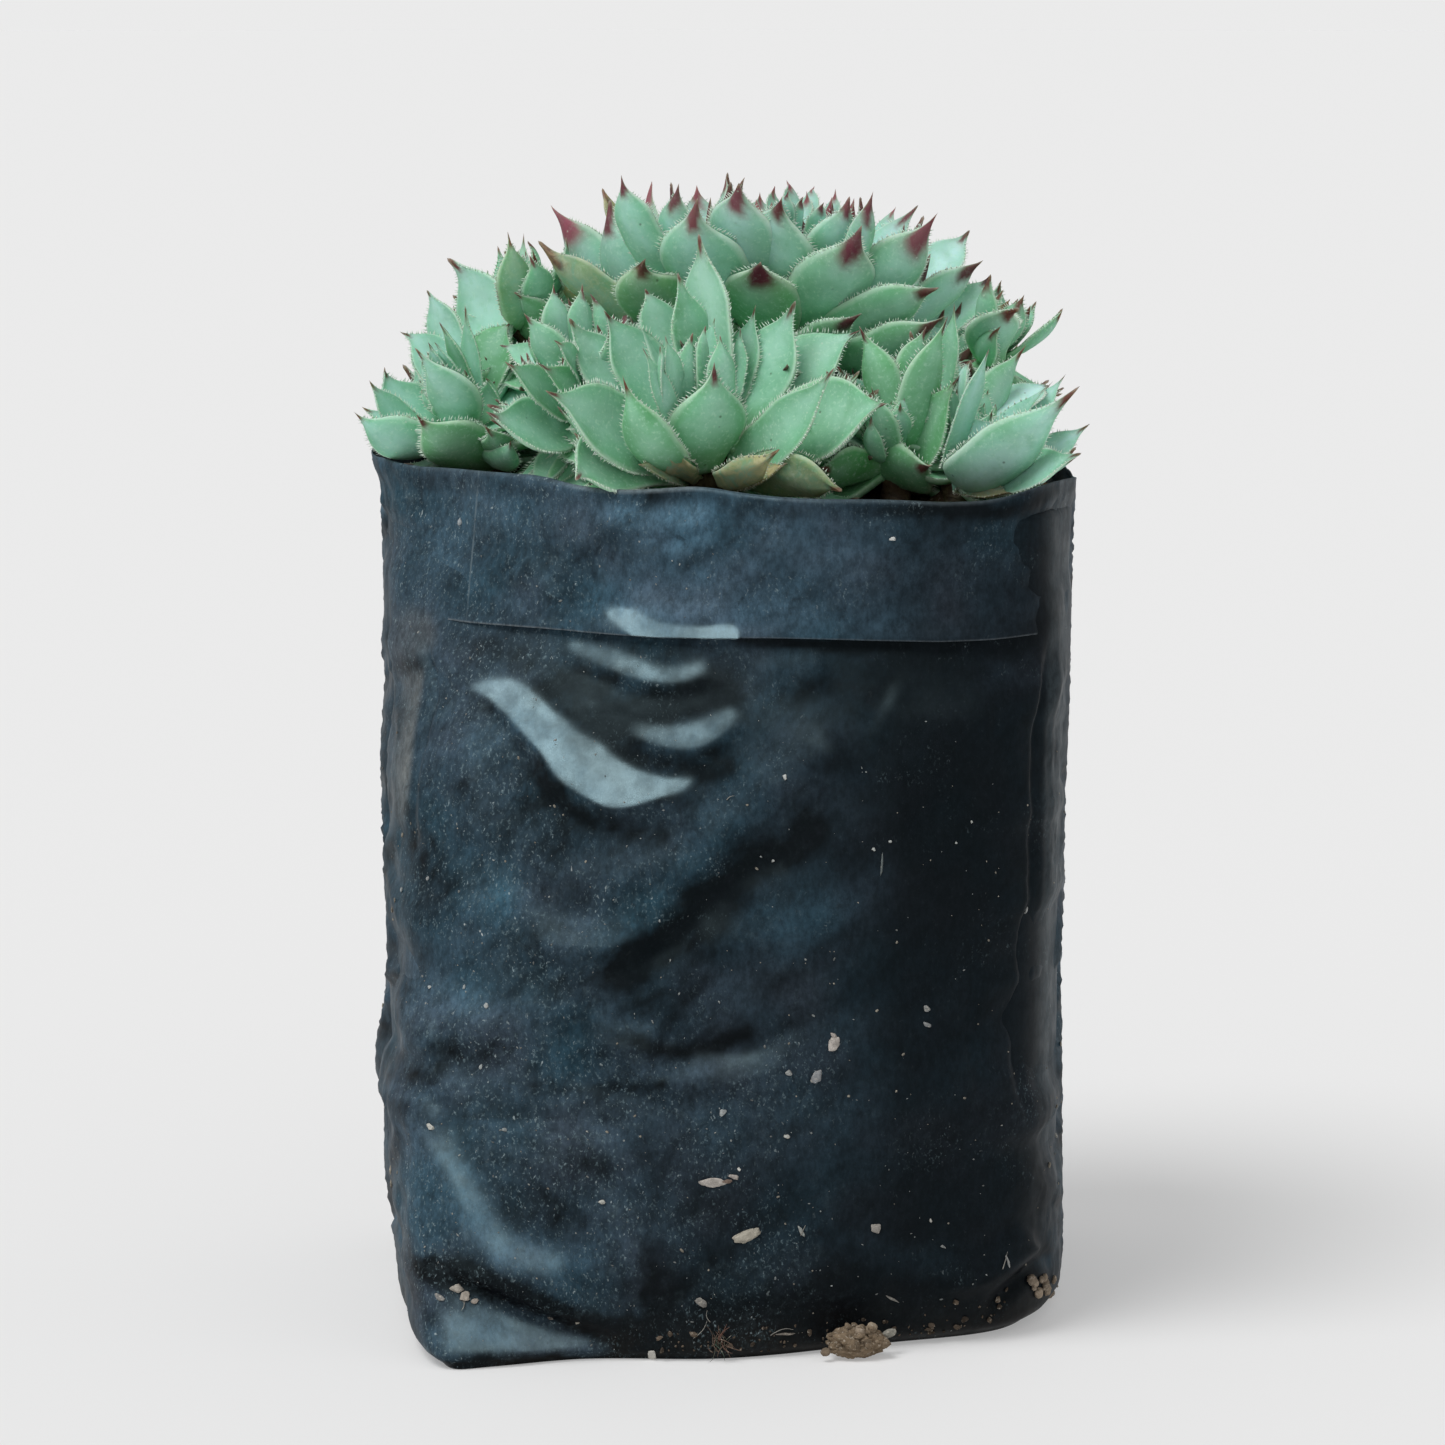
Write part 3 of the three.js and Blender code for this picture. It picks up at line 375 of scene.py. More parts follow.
def leaf_mesh(B, T, K, A, W, roll, look, dry, tone, low, rng, fine):
    """one fleshy leaf bent over its knee K: returns vertices, quads, triangles, colours, masks and what its hairs need"""
    L = float(np.linalg.norm(T - B))
    d, s0, n0 = leaf_frame(B, T, A, roll)
    ts = outline_of(L, W, fine)
    nar = 18 if fine else 12
    a = 2 * math.pi * np.arange(nar) / nar
    # more points near the two margins
    a = a - 0.16 * np.sin(2 * a)
    ca, sa = np.cos(a), np.sin(a)
    thick = 0.19 * W + 0.45
    cup = rng.uniform(0.14, 0.30)
    twist = rng.uniform(-0.16, 0.16)
    hook = rng.uniform(-0.02, 0.03)
    rnd = rng.uniform(0, 1)
    shrivel = dry * rng.uniform(0.6, 1.0)
    fmax = width_at(ts, L, W).max()
    V, C, M, spine = [], [], [], []
    tipk, mauve, brown, greenk = look
    tipk = tipk * rng.uniform(0.72, 1.25)
    mv = np.clip(mauve + rng.uniform(-.25, .25) + np.clip((T[2] - 158) / 18, -0.35, 0.30), 0, 1)
    br = np.clip(brown + rng.uniform(-.25, .25), 0, 1)
    tipc = PURPLE * (1 - mv) + MAUVE * mv
    tipc = tipc * (1 - 0.55 * br) + BROWN * 0.55 * br
    hue = rng.uniform(0, 1)
    gk = np.clip(greenk + 0.45 * low + 0.19 * tone + rng.uniform(-.12, .12), 0, 1.25)
    ice = np.clip(-0.20 * tone + rng.uniform(-.1, .25), 0, 1)
    face = GLAUC * (1 - ice) + ICE * ice
    face = face * (1 - min(1, gk)) + GREEN * min(1, gk)
    face = face * (1 - 0.35 * max(0, tone - 1) / 4) + DEEP * 0.35 * max(0, tone - 1) / 4
    face = face * (0.93 + 0.12 * hue)
    jag = 0.10 * np.sin(2 * a + 6.28 * rnd) + 0.07 * np.sin(5 * a + 17 * rnd)
    for t in ts[:-1]:
        f = float(width_at(t, L, W)) / fmax
        w = W / 2 * f
        u = (1 - t) * L / W
        P = (1 - t) ** 2 * B + 2 * t * (1 - t) * K + t * t * T
        tang = unit(2 * (1 - t) * (K - B) + 2 * t * (T - K))
        P = P - n0 * hook * L * float(smooth(1 - u / 0.5)) ** 2
        sb = unit(s0 - (s0 @ tang) * tang)
        n = np.cross(sb, tang)
        an = twist * t
        s = sb * math.cos(an) + n * math.sin(an)
        nn = -sb * math.sin(an) + n * math.cos(an)
        g = min(1.0, f ** 0.55) * (1.0 - 0.22 * t) * (1 - 0.55 * shrivel)
        tb = min(thick * 0.72 * g, w * 0.95 + 0.02)
        ta = min(thick * 0.28 * g, w * 0.6 + 0.02)
        lens = np.abs(sa) ** np.where(sa >= 0, 0.80, 0.72)
        z = np.where(sa >= 0, ta * lens, -tb * lens)
        z = z - np.where(sa < 0, 0.050 * W * np.exp(-(ca / 0.20) ** 2) * np.clip((t - .40) / .3, 0, 1) * np.clip(u / .3, 0, 1), 0)
        lift = cup * w * (0.30 + 0.70 * min(1, t / .4))
        z = z + lift * ca ** 2
        wob = 0.03 * W * math.sin(6.5 * t + 6.28 * rnd) * ca ** 3 + shrivel * 0.09 * W * np.sin(9 * t + 5 * ca + 6.28 * rnd)
        V.append(P[None] + np.outer(ca * w, s) + np.outer(z + wob, nn))
        spine.append((t, P, s, nn, tang, w, lift))
        ac = np.abs(ca)
        edge = np.clip((ac - 0.925) / 0.075, 0, 1) ** 1.2 * (0.35 + 0.65 * min(1, t / .25))
        under = (sa < -0.01).astype(float)
        low_t = float(smooth(1 - t / 0.30))
        c = np.tile(face, (nar, 1))
        c = c * (1 - 0.50 * low_t) + (PALE * 0.6 + GREEN * 0.4) * 0.50 * low_t
        # frosted middle, greener towards the margins, and darker deep green towards the foot as a painted shade
        frost = (0.50 * np.exp(-(ca / 0.50) ** 2) * float(smooth(t, 0.22, 0.62)) * (0.55 + 0.45 * ice))[:, None]
        c = c * (1 - frost) + FROST * frost
        greener = ((0.34 + 0.12 * under) * smooth(ac, 0.38, 0.86) * (1 - edge) + 0.10 * under * (1 - ac ** 2))[:, None]
        c = c * (1 - greener) + (GREEN * 0.8 + DEEP * 0.2) * greener
        # painted shade: the foot of each leaf, down among the others, is darkened to deep green
        foot = 0.46 * float(smooth(1 - t / 0.58))
        c = c * (1 - foot) + (GREEN * 0.5 + DEEP * 0.5) * foot
        tip = smooth((tipk * (1.0 + 0.22 * under - 0.56 * ac ** 1.3 + jag) - u) / (0.42 * tipk) + 0.5)[:, None]
        halo = float(smooth((tipk * 1.75 - u) / (0.8 * tipk)))
        hk = 0.30 + 0.16 * mv
        c = c * (1 - hk * halo) + (GLAUC * 0.40 + MAUVE * 0.60) * hk * halo
        c = c * (1 - tip) + tipc * tip
        fade = float(smooth(1 - u / 0.10)) * 0.45
        c = c * (1 - fade) + np.array([0.50, 0.40, 0.31]) * fade
        ek = 0.72 * edge[:, None] * (1 - 0.80 * tip)
        c = c * (1 - ek) + RIM_C * ek
        C.append(c)
        dr = np.clip(dry + 0.5 * dry * (t - 0.5), 0, 1)
        M.append(np.stack([edge, tip[:, 0], np.full(nar, dr)], 1))
    V = np.concatenate(V + [T[None] - (n0 * hook * L)[None]])
    C = np.concatenate(C + [C[-1][:1]])
    M = np.concatenate(M + [M[-1][:1]])
    # each leaf is a little uneven in colour
    nz = fbm(V[:, 0] * 0.30, V[:, 1] * 0.30, V[:, 2] * 0.30, 133, 3)[:, None]
    keep = 1 - np.clip(M[:, :1] + M[:, 1:2], 0, 1)
    C = C * (1 + 0.16 * nz * keep) + (GREEN - C) * np.clip(-0.55 * nz, 0, 0.4) * keep
    m = len(ts) - 1
    i = np.arange(m - 1)[:, None] * nar
    j = np.arange(nar)[None]
    k = (j + 1) % nar
    quads = np.stack([i + j, i + k, i + k + nar, i + j + nar], -1).reshape(-1, 4)
    top = (m - 1) * nar
    tris = [(top + q, top + (q + 1) % nar, m * nar) for q in range(nar)] + [(0, q + 1, q) for q in range(1, nar - 1)]
    return V, quads, np.array(tris), C, M, spine, L


def hairs(spine, L, W, dry, rng):
    """fine pale teeth along both margins"""
    ts = np.array([q[0] for q in spine])
    n = max(5, int(L * 0.74 / 0.38))
    V, T = [], []
    for sg in (-1, 1):
        for q in range(n):
            t = 0.22 + 0.71 * (q + rng.uniform(0, .85)) / n
            k = min(len(ts) - 2, max(0, int(np.searchsorted(ts, t)) - 1))
            f = (t - ts[k]) / (ts[k + 1] - ts[k])
            A0, A1 = spine[k], spine[k + 1]
            P = A0[1] * (1 - f) + A1[1] * f
            s = unit(A0[2] * (1 - f) + A1[2] * f)
            nn = unit(A0[3] * (1 - f) + A1[3] * f)
            tg = unit(A0[4] * (1 - f) + A1[4] * f)
            w = A0[5] * (1 - f) + A1[5] * f
            zc = A0[6] * (1 - f) + A1[6] * f
            if w < 0.22:
                continue
            ln = rng.uniform(.65, 1.20) * (0.60 + 0.40 * math.sin(math.pi * (t - .2) / .75)) * (0.62 + 0.38 * W / 12)
            dr = unit(s * sg * rng.uniform(.7, 1) + tg * rng.uniform(.30, .90) + nn * rng.uniform(-.10, .45))
            p = P + s * (w - 0.07) * sg + nn * zc
            r = rng.uniform(.115, .175)
            e, g = tg * r, nn * r * 0.7
            b = len(V)
            V += [p - e, p + e * .7 + g, p + e * .7 - g, p + dr * ln]
            T += [(b, b + 1, b + 3), (b + 1, b + 2, b + 3), (b + 2, b, b + 3), (b, b + 2, b + 1)]
    if not V:
        return None
    V = np.array(V)
    C = np.tile(np.array([0.80, 0.91, 0.78]), (len(V), 1))
    M = np.tile(np.array([1.0, 0.0, dry * 0.6]), (len(V), 1))
    return V, np.zeros((0, 4)), np.array(T), C, M

# ---------------------------------------------------------------- rosettes
# name, crown centre, axis, crown radius, leaves
# each leaf in tenths of a mm: base x y z, tip x y z, knee x y z, width; then roll
# in degrees, dryness in tenths, tone (+ greener, - paler) and whorl
ROSETTES = [
    ('front', (-2.4, -22.0, 128.7), (-0.06, -0.402, 0.914), 4.2, [
    [13,-237,1287,233,-383,1382,154,-265,1349,125,40,0,0,0], [10,-241,1293,161,-384,1432,38,-286,1254,81,50,0,1,1], [8,-210,1311,201,-150,1471,94,-133,1401,103,16,0,0,0], [0,-208,1322,106,-170,1513,69,-150,1405,117,6,0,0,1],
    [-10,-209,1332,50,-150,1505,12,-150,1362,64,-7,0,0,1], [-24,-197,1323,-34,-155,1609,-5,-127,1425,93,-32,0,-3,1], [-32,-203,1331,-66,-170,1553,-29,-149,1393,75,28,0,1,1], [-40,-199,1321,-112,-140,1529,-85,-128,1443,68,16,0,-2,1],
    [-54,-206,1313,-174,-190,1500,-117,-158,1407,96,-6,0,0,1], [-59,-207,1303,-225,-200,1488,-161,-160,1382,89,-14,0,-1,1], [-60,-239,1283,-247,-393,1403,-160,-278,1328,116,-47,0,0,1], [-55,-246,1287,-143,-367,1419,-91,-343,1260,77,40,0,2,1],
    [-29,-259,1278,-11,-344,1437,-18,-331,1354,125,-40,0,0,2], [7,-230,1322,-44,-301,1477,-67,-295,1388,78,130,0,0,2], [-20,-265,1313,-6,-313,1476,11,-320,1370,49,-100,0,0,2], [-22,-216,1348,-12,-190,1490,-33,-180,1387,43,-23,0,0,1],
    [-46,-260,1321,-82,-344,1476,-52,-282,1327,34,-72,0,0,2], [-51,-253,1312,-111,-357,1460,-42,-289,1260,35,-78,0,-1,2], [-45,-261,1327,-85,-355,1462,-95,-298,1344,34,-67,0,0,2], [-13,-214,1341,26,-180,1473,23,-176,1353,36,-9,0,0,1],
    [-22,-218,1349,8,-96,1449,21,-148,1345,34,-42,0,0,0], [-19,-268,1332,-28,-289,1486,-29,-300,1385,34,-124,0,0,2], [-56,-243,1268,-207,-389,1273,-201,-286,1304,105,-33,0,0,0], [-41,-253,1258,-78,-338,1318,-77,-308,1274,60,21,8,0,3],
    [-52,-245,1257,-121,-338,1290,-68,-278,1275,39,-53,6,0,3], [5,-248,1263,81,-379,1314,-17,-334,1237,53,-54,7,0,3], [9,-244,1257,94,-362,1294,-7,-291,1242,34,40,8,0,3], [14,-239,1257,172,-378,1256,92,-334,1289,77,-84,4,1,3],
    [-65,-221,1271,-221,-243,1251,-140,-206,1209,96,-4,0,2,0], [16,-230,1272,160,-280,1248,90,-229,1216,106,5,0,2,0], [-36,-178,1291,-111,71,1325,-63,-40,1229,125,0,0,4,0], [16,-202,1284,244,-106,1278,118,-132,1205,129,-3,0,3,0],
    [-64,-204,1278,-256,-126,1237,-134,-137,1187,122,-2,0,2,0], [-12,-178,1293,57,68,1353,22,-39,1257,130,1,0,0,0], [18,-224,1275,199,-245,1229,97,-218,1201,113,-9,0,0,0], [-52,-186,1287,-212,3,1291,-111,-72,1214,129,-3,0,3,0],
    [7,-196,1302,195,-43,1382,110,-94,1273,119,-6,0,3,0], [-65,-226,1285,-215,-271,1331,-157,-232,1269,101,-3,0,4,0], [-33,-185,1307,-84,31,1409,-64,-50,1298,123,8,0,3,0], [14,-214,1300,228,-186,1386,142,-168,1281,124,0,0,2,0],
    [-58,-203,1301,-277,-89,1386,-176,-109,1270,121,2,0,1,0], [-6,-194,1312,104,-28,1437,66,-76,1314,117,-6,0,-2,0], [12,-236,1297,155,-286,1312,91,-248,1273,93,1,0,2,0], [-45,-196,1312,-169,-42,1439,-105,-72,1321,116,-7,0,2,0],
    [7,-211,1312,168,-132,1363,89,-140,1283,109,7,0,2,0], [-61,-220,1304,-240,-212,1365,-168,-189,1279,100,1,0,1,0], [-20,-196,1321,-1,-88,1505,1,-93,1383,108,-3,0,-1,0], [10,-227,1312,199,-255,1417,132,-224,1320,119,-4,0,1,0],
    [-53,-209,1317,-204,-146,1464,-154,-145,1351,111,7,0,0,0], [-8,-204,1325,94,-80,1483,58,-90,1353,109,4,0,-2,0], [-38,-204,1328,-111,-85,1489,-80,-93,1368,107,-2,0,0,0], [-55,-220,1324,-218,-185,1437,-158,-177,1342,98,4,0,2,0],
    [-42,-213,1336,-136,-123,1486,-98,-127,1381,86,-3,0,0,0], [-30,-214,1344,-49,-156,1481,-43,-152,1398,77,4,0,2,1], [-15,-221,1349,-1,-222,1436,-1,-202,1391,59,7,0,1,2], [-36,-267,1334,-52,-328,1391,-48,-312,1346,54,6,0,0,2],
    [-52,-241,1348,-94,-265,1421,-89,-247,1377,50,3,0,-2,2], [-15,-266,1341,-46,-279,1464,-40,-252,1402,59,-4,0,2,2], [-25,-226,1359,-20,-178,1474,-18,-173,1404,61,0,0,-2,1], [-44,-233,1359,-59,-257,1439,-61,-235,1401,46,0,0,-1,2],
    [-26,-271,1346,-28,-328,1404,-26,-311,1363,47,-2,0,-1,2], [-15,-234,1364,-19,-266,1441,-3,-236,1409,46,-5,0,-2,2], [-50,-255,1354,-22,-286,1444,-14,-261,1395,45,6,0,1,2], [-13,-265,1354,-53,-274,1449,-46,-253,1398,47,-3,0,1,2],
    [-32,-233,1369,-34,-279,1429,-32,-266,1391,41,-3,0,-2,2]]),
    ('mid_left', (-19.9, -10.0, 133.9), (-0.302, -0.222, 0.927), 2.2, [
    [-212,-116,1335,-345,-265,1357,-258,-168,1306,93,-59,0,0,0], [-214,-119,1346,-315,-242,1430,-240,-159,1358,61,-85,0,1,1], [-215,-88,1358,-335,39,1433,-228,3,1393,51,-1,0,0,0], [-222,-115,1360,-290,-160,1495,-236,-164,1426,64,35,0,0,2],
    [-217,-93,1377,-251,-130,1535,-235,-142,1440,54,-54,0,-1,2], [-200,-102,1387,-208,-110,1534,-206,-134,1443,50,-87,0,0,2], [-202,-102,1391,-195,-95,1518,-142,-119,1433,34,-80,0,0,2], [-212,-123,1361,-271,-243,1429,-175,-169,1360,50,-104,0,3,1],
    [-211,-126,1376,-240,-257,1462,-192,-183,1401,34,-114,0,1,1], [-214,-97,1390,-235,46,1498,-214,-16,1359,34,-41,0,0,0], [-190,-119,1324,-141,-271,1255,-158,-175,1249,107,-5,0,0,0], [-182,-81,1336,-66,58,1350,-113,-15,1282,109,-4,0,3,0],
    [-215,-103,1320,-343,-129,1213,-251,-93,1227,101,-9,0,0,0], [-176,-107,1331,-1,-185,1329,-80,-126,1276,101,2,0,1,0], [-203,-77,1330,-253,109,1300,-210,12,1261,105,4,0,0,0], [-202,-117,1320,-235,-240,1213,-198,-156,1234,107,4,0,1,0],
    [-175,-92,1335,12,-31,1358,-77,-57,1291,103,-4,0,4,0], [-215,-90,1323,-341,-25,1228,-249,-53,1240,95,-1,0,4,0], [-183,-116,1327,-70,-259,1272,-125,-169,1254,104,-8,0,4,0], [-188,-78,1334,-125,86,1358,-148,10,1283,105,7,0,2,0],
    [-212,-109,1319,-293,-168,1222,-234,-119,1243,94,-8,0,1,0], [-174,-100,1334,11,-108,1329,-83,-97,1272,99,-8,0,2,0], [-213,-84,1340,-334,55,1339,-260,-3,1283,104,5,0,2,0], [-200,-122,1336,-195,-245,1278,-187,-169,1277,92,0,0,3,0],
    [-186,-87,1351,-70,24,1434,-106,-14,1339,101,1,0,0,0], [-220,-102,1337,-342,-116,1345,-284,-100,1311,79,-5,0,4,0], [-187,-117,1346,-67,-247,1356,-109,-168,1305,100,5,0,-1,0], [-205,-82,1350,-237,83,1389,-211,13,1325,92,6,0,-1,0],
    [-183,-99,1356,-39,-84,1454,-86,-80,1366,95,-1,0,-1,0], [-218,-92,1348,-340,-18,1355,-276,-45,1316,89,5,0,0,0], [-199,-122,1349,-177,-266,1352,-173,-192,1317,84,4,0,1,0], [-194,-88,1360,-145,21,1492,-150,2,1389,92,9,0,-2,0],
    [-221,-108,1348,-343,-142,1338,-281,-116,1301,80,-3,0,-2,0], [-187,-110,1360,-65,-173,1454,-94,-134,1370,93,4,0,2,0], [-212,-88,1359,-279,38,1387,-242,-15,1339,89,9,0,2,0], [-192,-96,1367,-114,-47,1498,-122,-49,1406,94,1,0,0,0],
    [-222,-101,1357,-350,-71,1352,-283,-79,1323,78,5,0,-2,0], [-197,-120,1363,-137,-239,1391,-152,-180,1343,74,-2,0,-1,0], [-207,-90,1368,-241,21,1502,-212,-4,1413,83,-5,0,1,1], [-192,-108,1372,-113,-137,1496,-128,-123,1418,79,-9,0,1,1],
    [-219,-95,1368,-276,-74,1438,-258,-70,1390,62,8,0,1,1], [-209,-123,1367,-234,-183,1431,-222,-167,1385,63,-9,0,1,1], [-199,-98,1378,-163,-53,1486,-162,-59,1419,75,-3,0,0,1], [-224,-111,1368,-288,-138,1434,-273,-124,1384,58,-4,0,2,2],
    [-199,-118,1377,-166,-186,1479,-153,-161,1412,71,6,0,-2,1], [-214,-95,1379,-266,-40,1495,-237,-32,1422,72,-5,0,-1,1], [-199,-107,1384,-152,-110,1477,-158,-103,1422,62,0,0,-2,1], [-224,-103,1379,-269,-109,1452,-265,-96,1405,52,8,0,1,2],
    [-208,-123,1381,-217,-197,1461,-204,-180,1404,60,-9,0,2,1], [-209,-99,1388,-228,-83,1511,-210,-70,1448,59,3,0,1,2], [-225,-116,1381,-297,-153,1431,-273,-137,1387,51,-4,0,0,1], [-202,-114,1390,-183,-143,1476,-175,-128,1429,48,7,0,1,1],
    [-222,-102,1389,-270,-96,1482,-254,-75,1430,53,-8,0,0,2], [-217,-124,1387,-242,-163,1452,-229,-155,1412,43,2,0,2,2], [-207,-107,1396,-258,-143,1468,-249,-133,1416,46,-6,0,1,2], [-227,-111,1390,-286,-124,1456,-270,-111,1412,43,-5,0,2,2],
    [-210,-122,1395,-215,-163,1466,-202,-151,1426,43,8,0,1,2], [-218,-103,1399,-245,-106,1481,-231,-89,1440,39,-1,0,-2,2]]),
    ('left', (-38.9, 4.0, 128.8), (-0.402, -0.241, 0.884), 2.3, [
    [-411,31,1287,-549,-30,1337,-485,-30,1275,77,59,0,0,1], [-410,51,1298,-508,70,1397,-509,81,1333,85,-2,0,0,1], [-414,35,1292,-527,0,1382,-481,39,1288,51,-45,0,0,2], [-404,54,1310,-487,100,1447,-419,111,1415,77,27,0,-2,1],
    [-395,53,1314,-448,120,1508,-389,127,1426,70,-15,0,-2,1], [-389,54,1310,-418,150,1554,-307,155,1476,107,-4,0,-4,1], [-379,46,1311,-320,80,1462,-352,96,1432,81,27,0,3,0], [-391,37,1332,-388,30,1492,-353,53,1283,40,32,0,1,1],
    [-393,34,1336,-423,10,1468,-350,40,1340,34,29,0,3,2], [-398,16,1334,-440,-20,1439,-400,12,1366,34,94,0,0,2], [-399,16,1337,-429,-30,1441,-380,7,1365,34,88,0,0,2], [-397,15,1305,-457,-60,1434,-384,-47,1352,87,-28,0,0,2],
    [-339,40,1252,-453,-90,1336,-402,-52,1281,98,23,0,4,1], [-381,25,1313,-354,-20,1387,-327,18,1350,47,67,0,3,1], [-381,19,1290,-353,-93,1323,-304,-44,1266,51,-43,0,4,0], [-374,21,1285,-311,-91,1304,-321,-51,1232,44,-79,0,2,0],
    [-379,64,1285,-319,240,1306,-323,150,1237,119,-5,0,3,0], [-363,39,1286,-175,20,1313,-259,40,1234,111,-7,0,2,0], [-397,62,1276,-470,206,1224,-399,134,1200,109,-1,0,4,0], [-369,56,1288,-233,172,1344,-279,120,1251,113,-4,0,3,0],
    [-387,65,1282,-387,264,1274,-351,162,1220,107,-7,0,3,0], [-363,44,1287,-173,67,1337,-257,71,1262,107,4,0,4,0], [-402,57,1273,-487,132,1241,-433,97,1231,93,8,0,1,0], [-381,58,1300,-312,219,1392,-316,160,1287,116,-1,0,0,0],
    [-372,28,1298,-212,-67,1363,-267,-13,1277,112,-7,0,4,0], [-401,58,1295,-500,223,1340,-427,167,1271,117,-6,0,0,0], [-375,45,1306,-237,102,1432,-280,96,1331,117,8,0,1,0], [-412,42,1289,-529,40,1323,-481,58,1273,92,-8,0,1,1],
    [-390,56,1306,-388,198,1413,-375,152,1326,103,8,0,2,0], [-376,35,1309,-250,15,1391,-294,37,1323,98,7,0,0,0], [-408,52,1301,-531,148,1357,-468,122,1292,106,4,0,-1,0], [-394,17,1299,-406,-61,1324,-393,-30,1291,81,-6,0,0,0],
    [-385,49,1313,-334,136,1457,-332,113,1363,101,-5,0,0,0], [-414,34,1298,-503,18,1313,-464,30,1277,75,2,0,1,0], [-403,52,1311,-472,142,1406,-434,131,1329,89,5,0,-1,0], [-415,42,1307,-545,84,1336,-481,83,1287,94,-4,0,0,0],
    [-396,48,1321,-393,139,1443,-373,127,1357,85,3,0,0,0], [-415,26,1307,-505,-19,1315,-461,1,1290,70,7,0,-1,0], [-394,19,1325,-394,-24,1387,-377,-11,1350,58,6,0,-1,1], [-406,45,1328,-443,120,1426,-416,106,1362,71,0,0,0,1],
    [-405,15,1327,-423,-27,1374,-410,-17,1342,50,-7,0,2,2], [-401,39,1336,-409,47,1399,-396,52,1367,54,-3,0,0,1], [-398,20,1336,-440,7,1405,-431,23,1365,48,0,0,-1,2], [-414,40,1335,-444,40,1391,-433,52,1361,48,4,0,-1,2],
    [-414,15,1331,-443,20,1423,-419,36,1379,49,-4,0,-1,2], [-401,32,1343,-448,4,1418,-441,11,1367,51,-4,0,1,2], [-423,30,1334,-424,3,1408,-403,15,1370,47,6,0,1,2], [-405,16,1340,-417,-34,1411,-402,-20,1369,46,-9,0,2,2],
    [-410,37,1345,-440,25,1418,-422,48,1386,45,5,0,2,2], [-403,23,1347,-449,11,1399,-436,22,1365,39,-5,0,-1,2]]),
    ('back_left', (-29.5, 14.0, 143.8), (-0.28, 0.02, 0.96), 2.0, [
    [-298,123,1459,-320,32,1601,-305,49,1474,62,25,2,1,1], [-303,156,1477,-306,288,1584,-314,234,1402,37,-13,1,0,1], [-303,158,1457,-347,268,1564,-315,231,1452,52,31,0,0,1], [-297,125,1464,-288,29,1566,-262,59,1494,59,8,0,1,1],
    [-295,120,1439,-312,38,1511,-264,69,1486,59,-33,0,4,1], [-296,120,1426,-304,-10,1371,-285,70,1361,95,1,0,2,0], [-278,154,1430,-154,264,1414,-212,198,1383,98,-3,0,3,0], [-311,139,1421,-457,135,1341,-360,131,1337,97,7,0,1,0],
    [-278,127,1431,-161,28,1428,-216,83,1377,93,-3,0,1,0], [-294,160,1426,-299,306,1373,-288,214,1345,93,8,0,0,0], [-303,124,1424,-347,48,1374,-314,93,1378,73,-2,0,0,0], [-273,143,1432,-115,171,1447,-187,149,1382,94,-5,0,4,0],
    [-306,153,1422,-403,247,1354,-335,193,1351,90,-2,0,3,0], [-287,120,1428,-244,-25,1404,-258,57,1373,92,-3,0,2,0], [-283,157,1429,-206,287,1410,-237,211,1375,97,0,0,1,0], [-310,133,1422,-449,78,1351,-359,104,1348,96,4,0,3,0],
    [-274,132,1432,-133,73,1429,-204,105,1394,89,-2,0,2,0], [-302,159,1438,-350,301,1429,-320,230,1397,95,6,0,3,0], [-280,149,1447,-156,222,1516,-196,188,1438,90,-1,0,0,0], [-314,147,1438,-455,200,1419,-379,171,1385,91,5,0,2,0],
    [-293,158,1447,-262,307,1491,-265,244,1422,95,5,0,1,0], [-281,138,1454,-167,119,1531,-200,120,1454,90,-6,0,-2,0], [-311,153,1447,-416,246,1470,-363,209,1419,89,0,0,2,0], [-288,152,1456,-227,237,1551,-236,207,1478,83,0,0,1,0],
    [-316,139,1450,-435,130,1434,-371,130,1411,81,6,0,1,0], [-288,131,1460,-207,63,1511,-232,96,1460,73,8,0,1,0], [-303,156,1457,-338,279,1505,-313,230,1456,81,-5,0,2,0], [-287,144,1465,-238,163,1562,-234,163,1497,68,7,0,-2,1],
    [-315,148,1458,-412,200,1496,-371,178,1451,69,8,0,-1,0], [-298,126,1465,-320,91,1582,-297,88,1519,73,9,0,-1,2], [-298,154,1466,-304,210,1564,-284,204,1504,68,-7,0,-1,1], [-291,137,1472,-234,116,1587,-240,124,1518,65,6,0,-1,1],
    [-310,153,1468,-360,217,1524,-336,200,1478,62,-4,0,-2,1], [-296,149,1476,-288,177,1564,-276,176,1514,58,5,0,1,2], [-318,141,1471,-334,143,1565,-308,142,1521,55,1,0,2,2], [-298,132,1479,-285,93,1570,-278,102,1518,55,1,0,2,1],
    [-306,153,1478,-329,200,1570,-312,197,1515,55,-3,0,-2,2], [-315,132,1477,-326,147,1559,-309,153,1517,45,5,0,0,2], [-297,140,1484,-294,141,1581,-272,140,1532,46,0,0,2,2], [-317,147,1480,-371,174,1536,-355,168,1494,46,6,0,0,1],
    [-307,130,1485,-329,125,1568,-313,109,1526,42,1,0,2,2], [-303,150,1487,-305,178,1559,-291,175,1519,42,-8,0,0,2], [-319,139,1485,-357,135,1537,-348,136,1504,37,-9,0,1,2], [-301,137,1492,-307,132,1557,-291,128,1525,34,1,0,-1,2]]),
    ('main', (9.2, 12.0, 141.4), (0.08, -0.03, 0.996), 7.0, [
    [39,134,1449,-259,216,1634,-134,104,1426,82,67,0,0,0], [31,105,1433,-276,29,1584,-79,0,1409,66,56,2,1,0], [56,94,1471,-150,-46,1688,-120,-34,1508,66,39,0,0,1], [48,144,1458,-184,272,1655,-115,236,1427,34,-12,6,0,0],
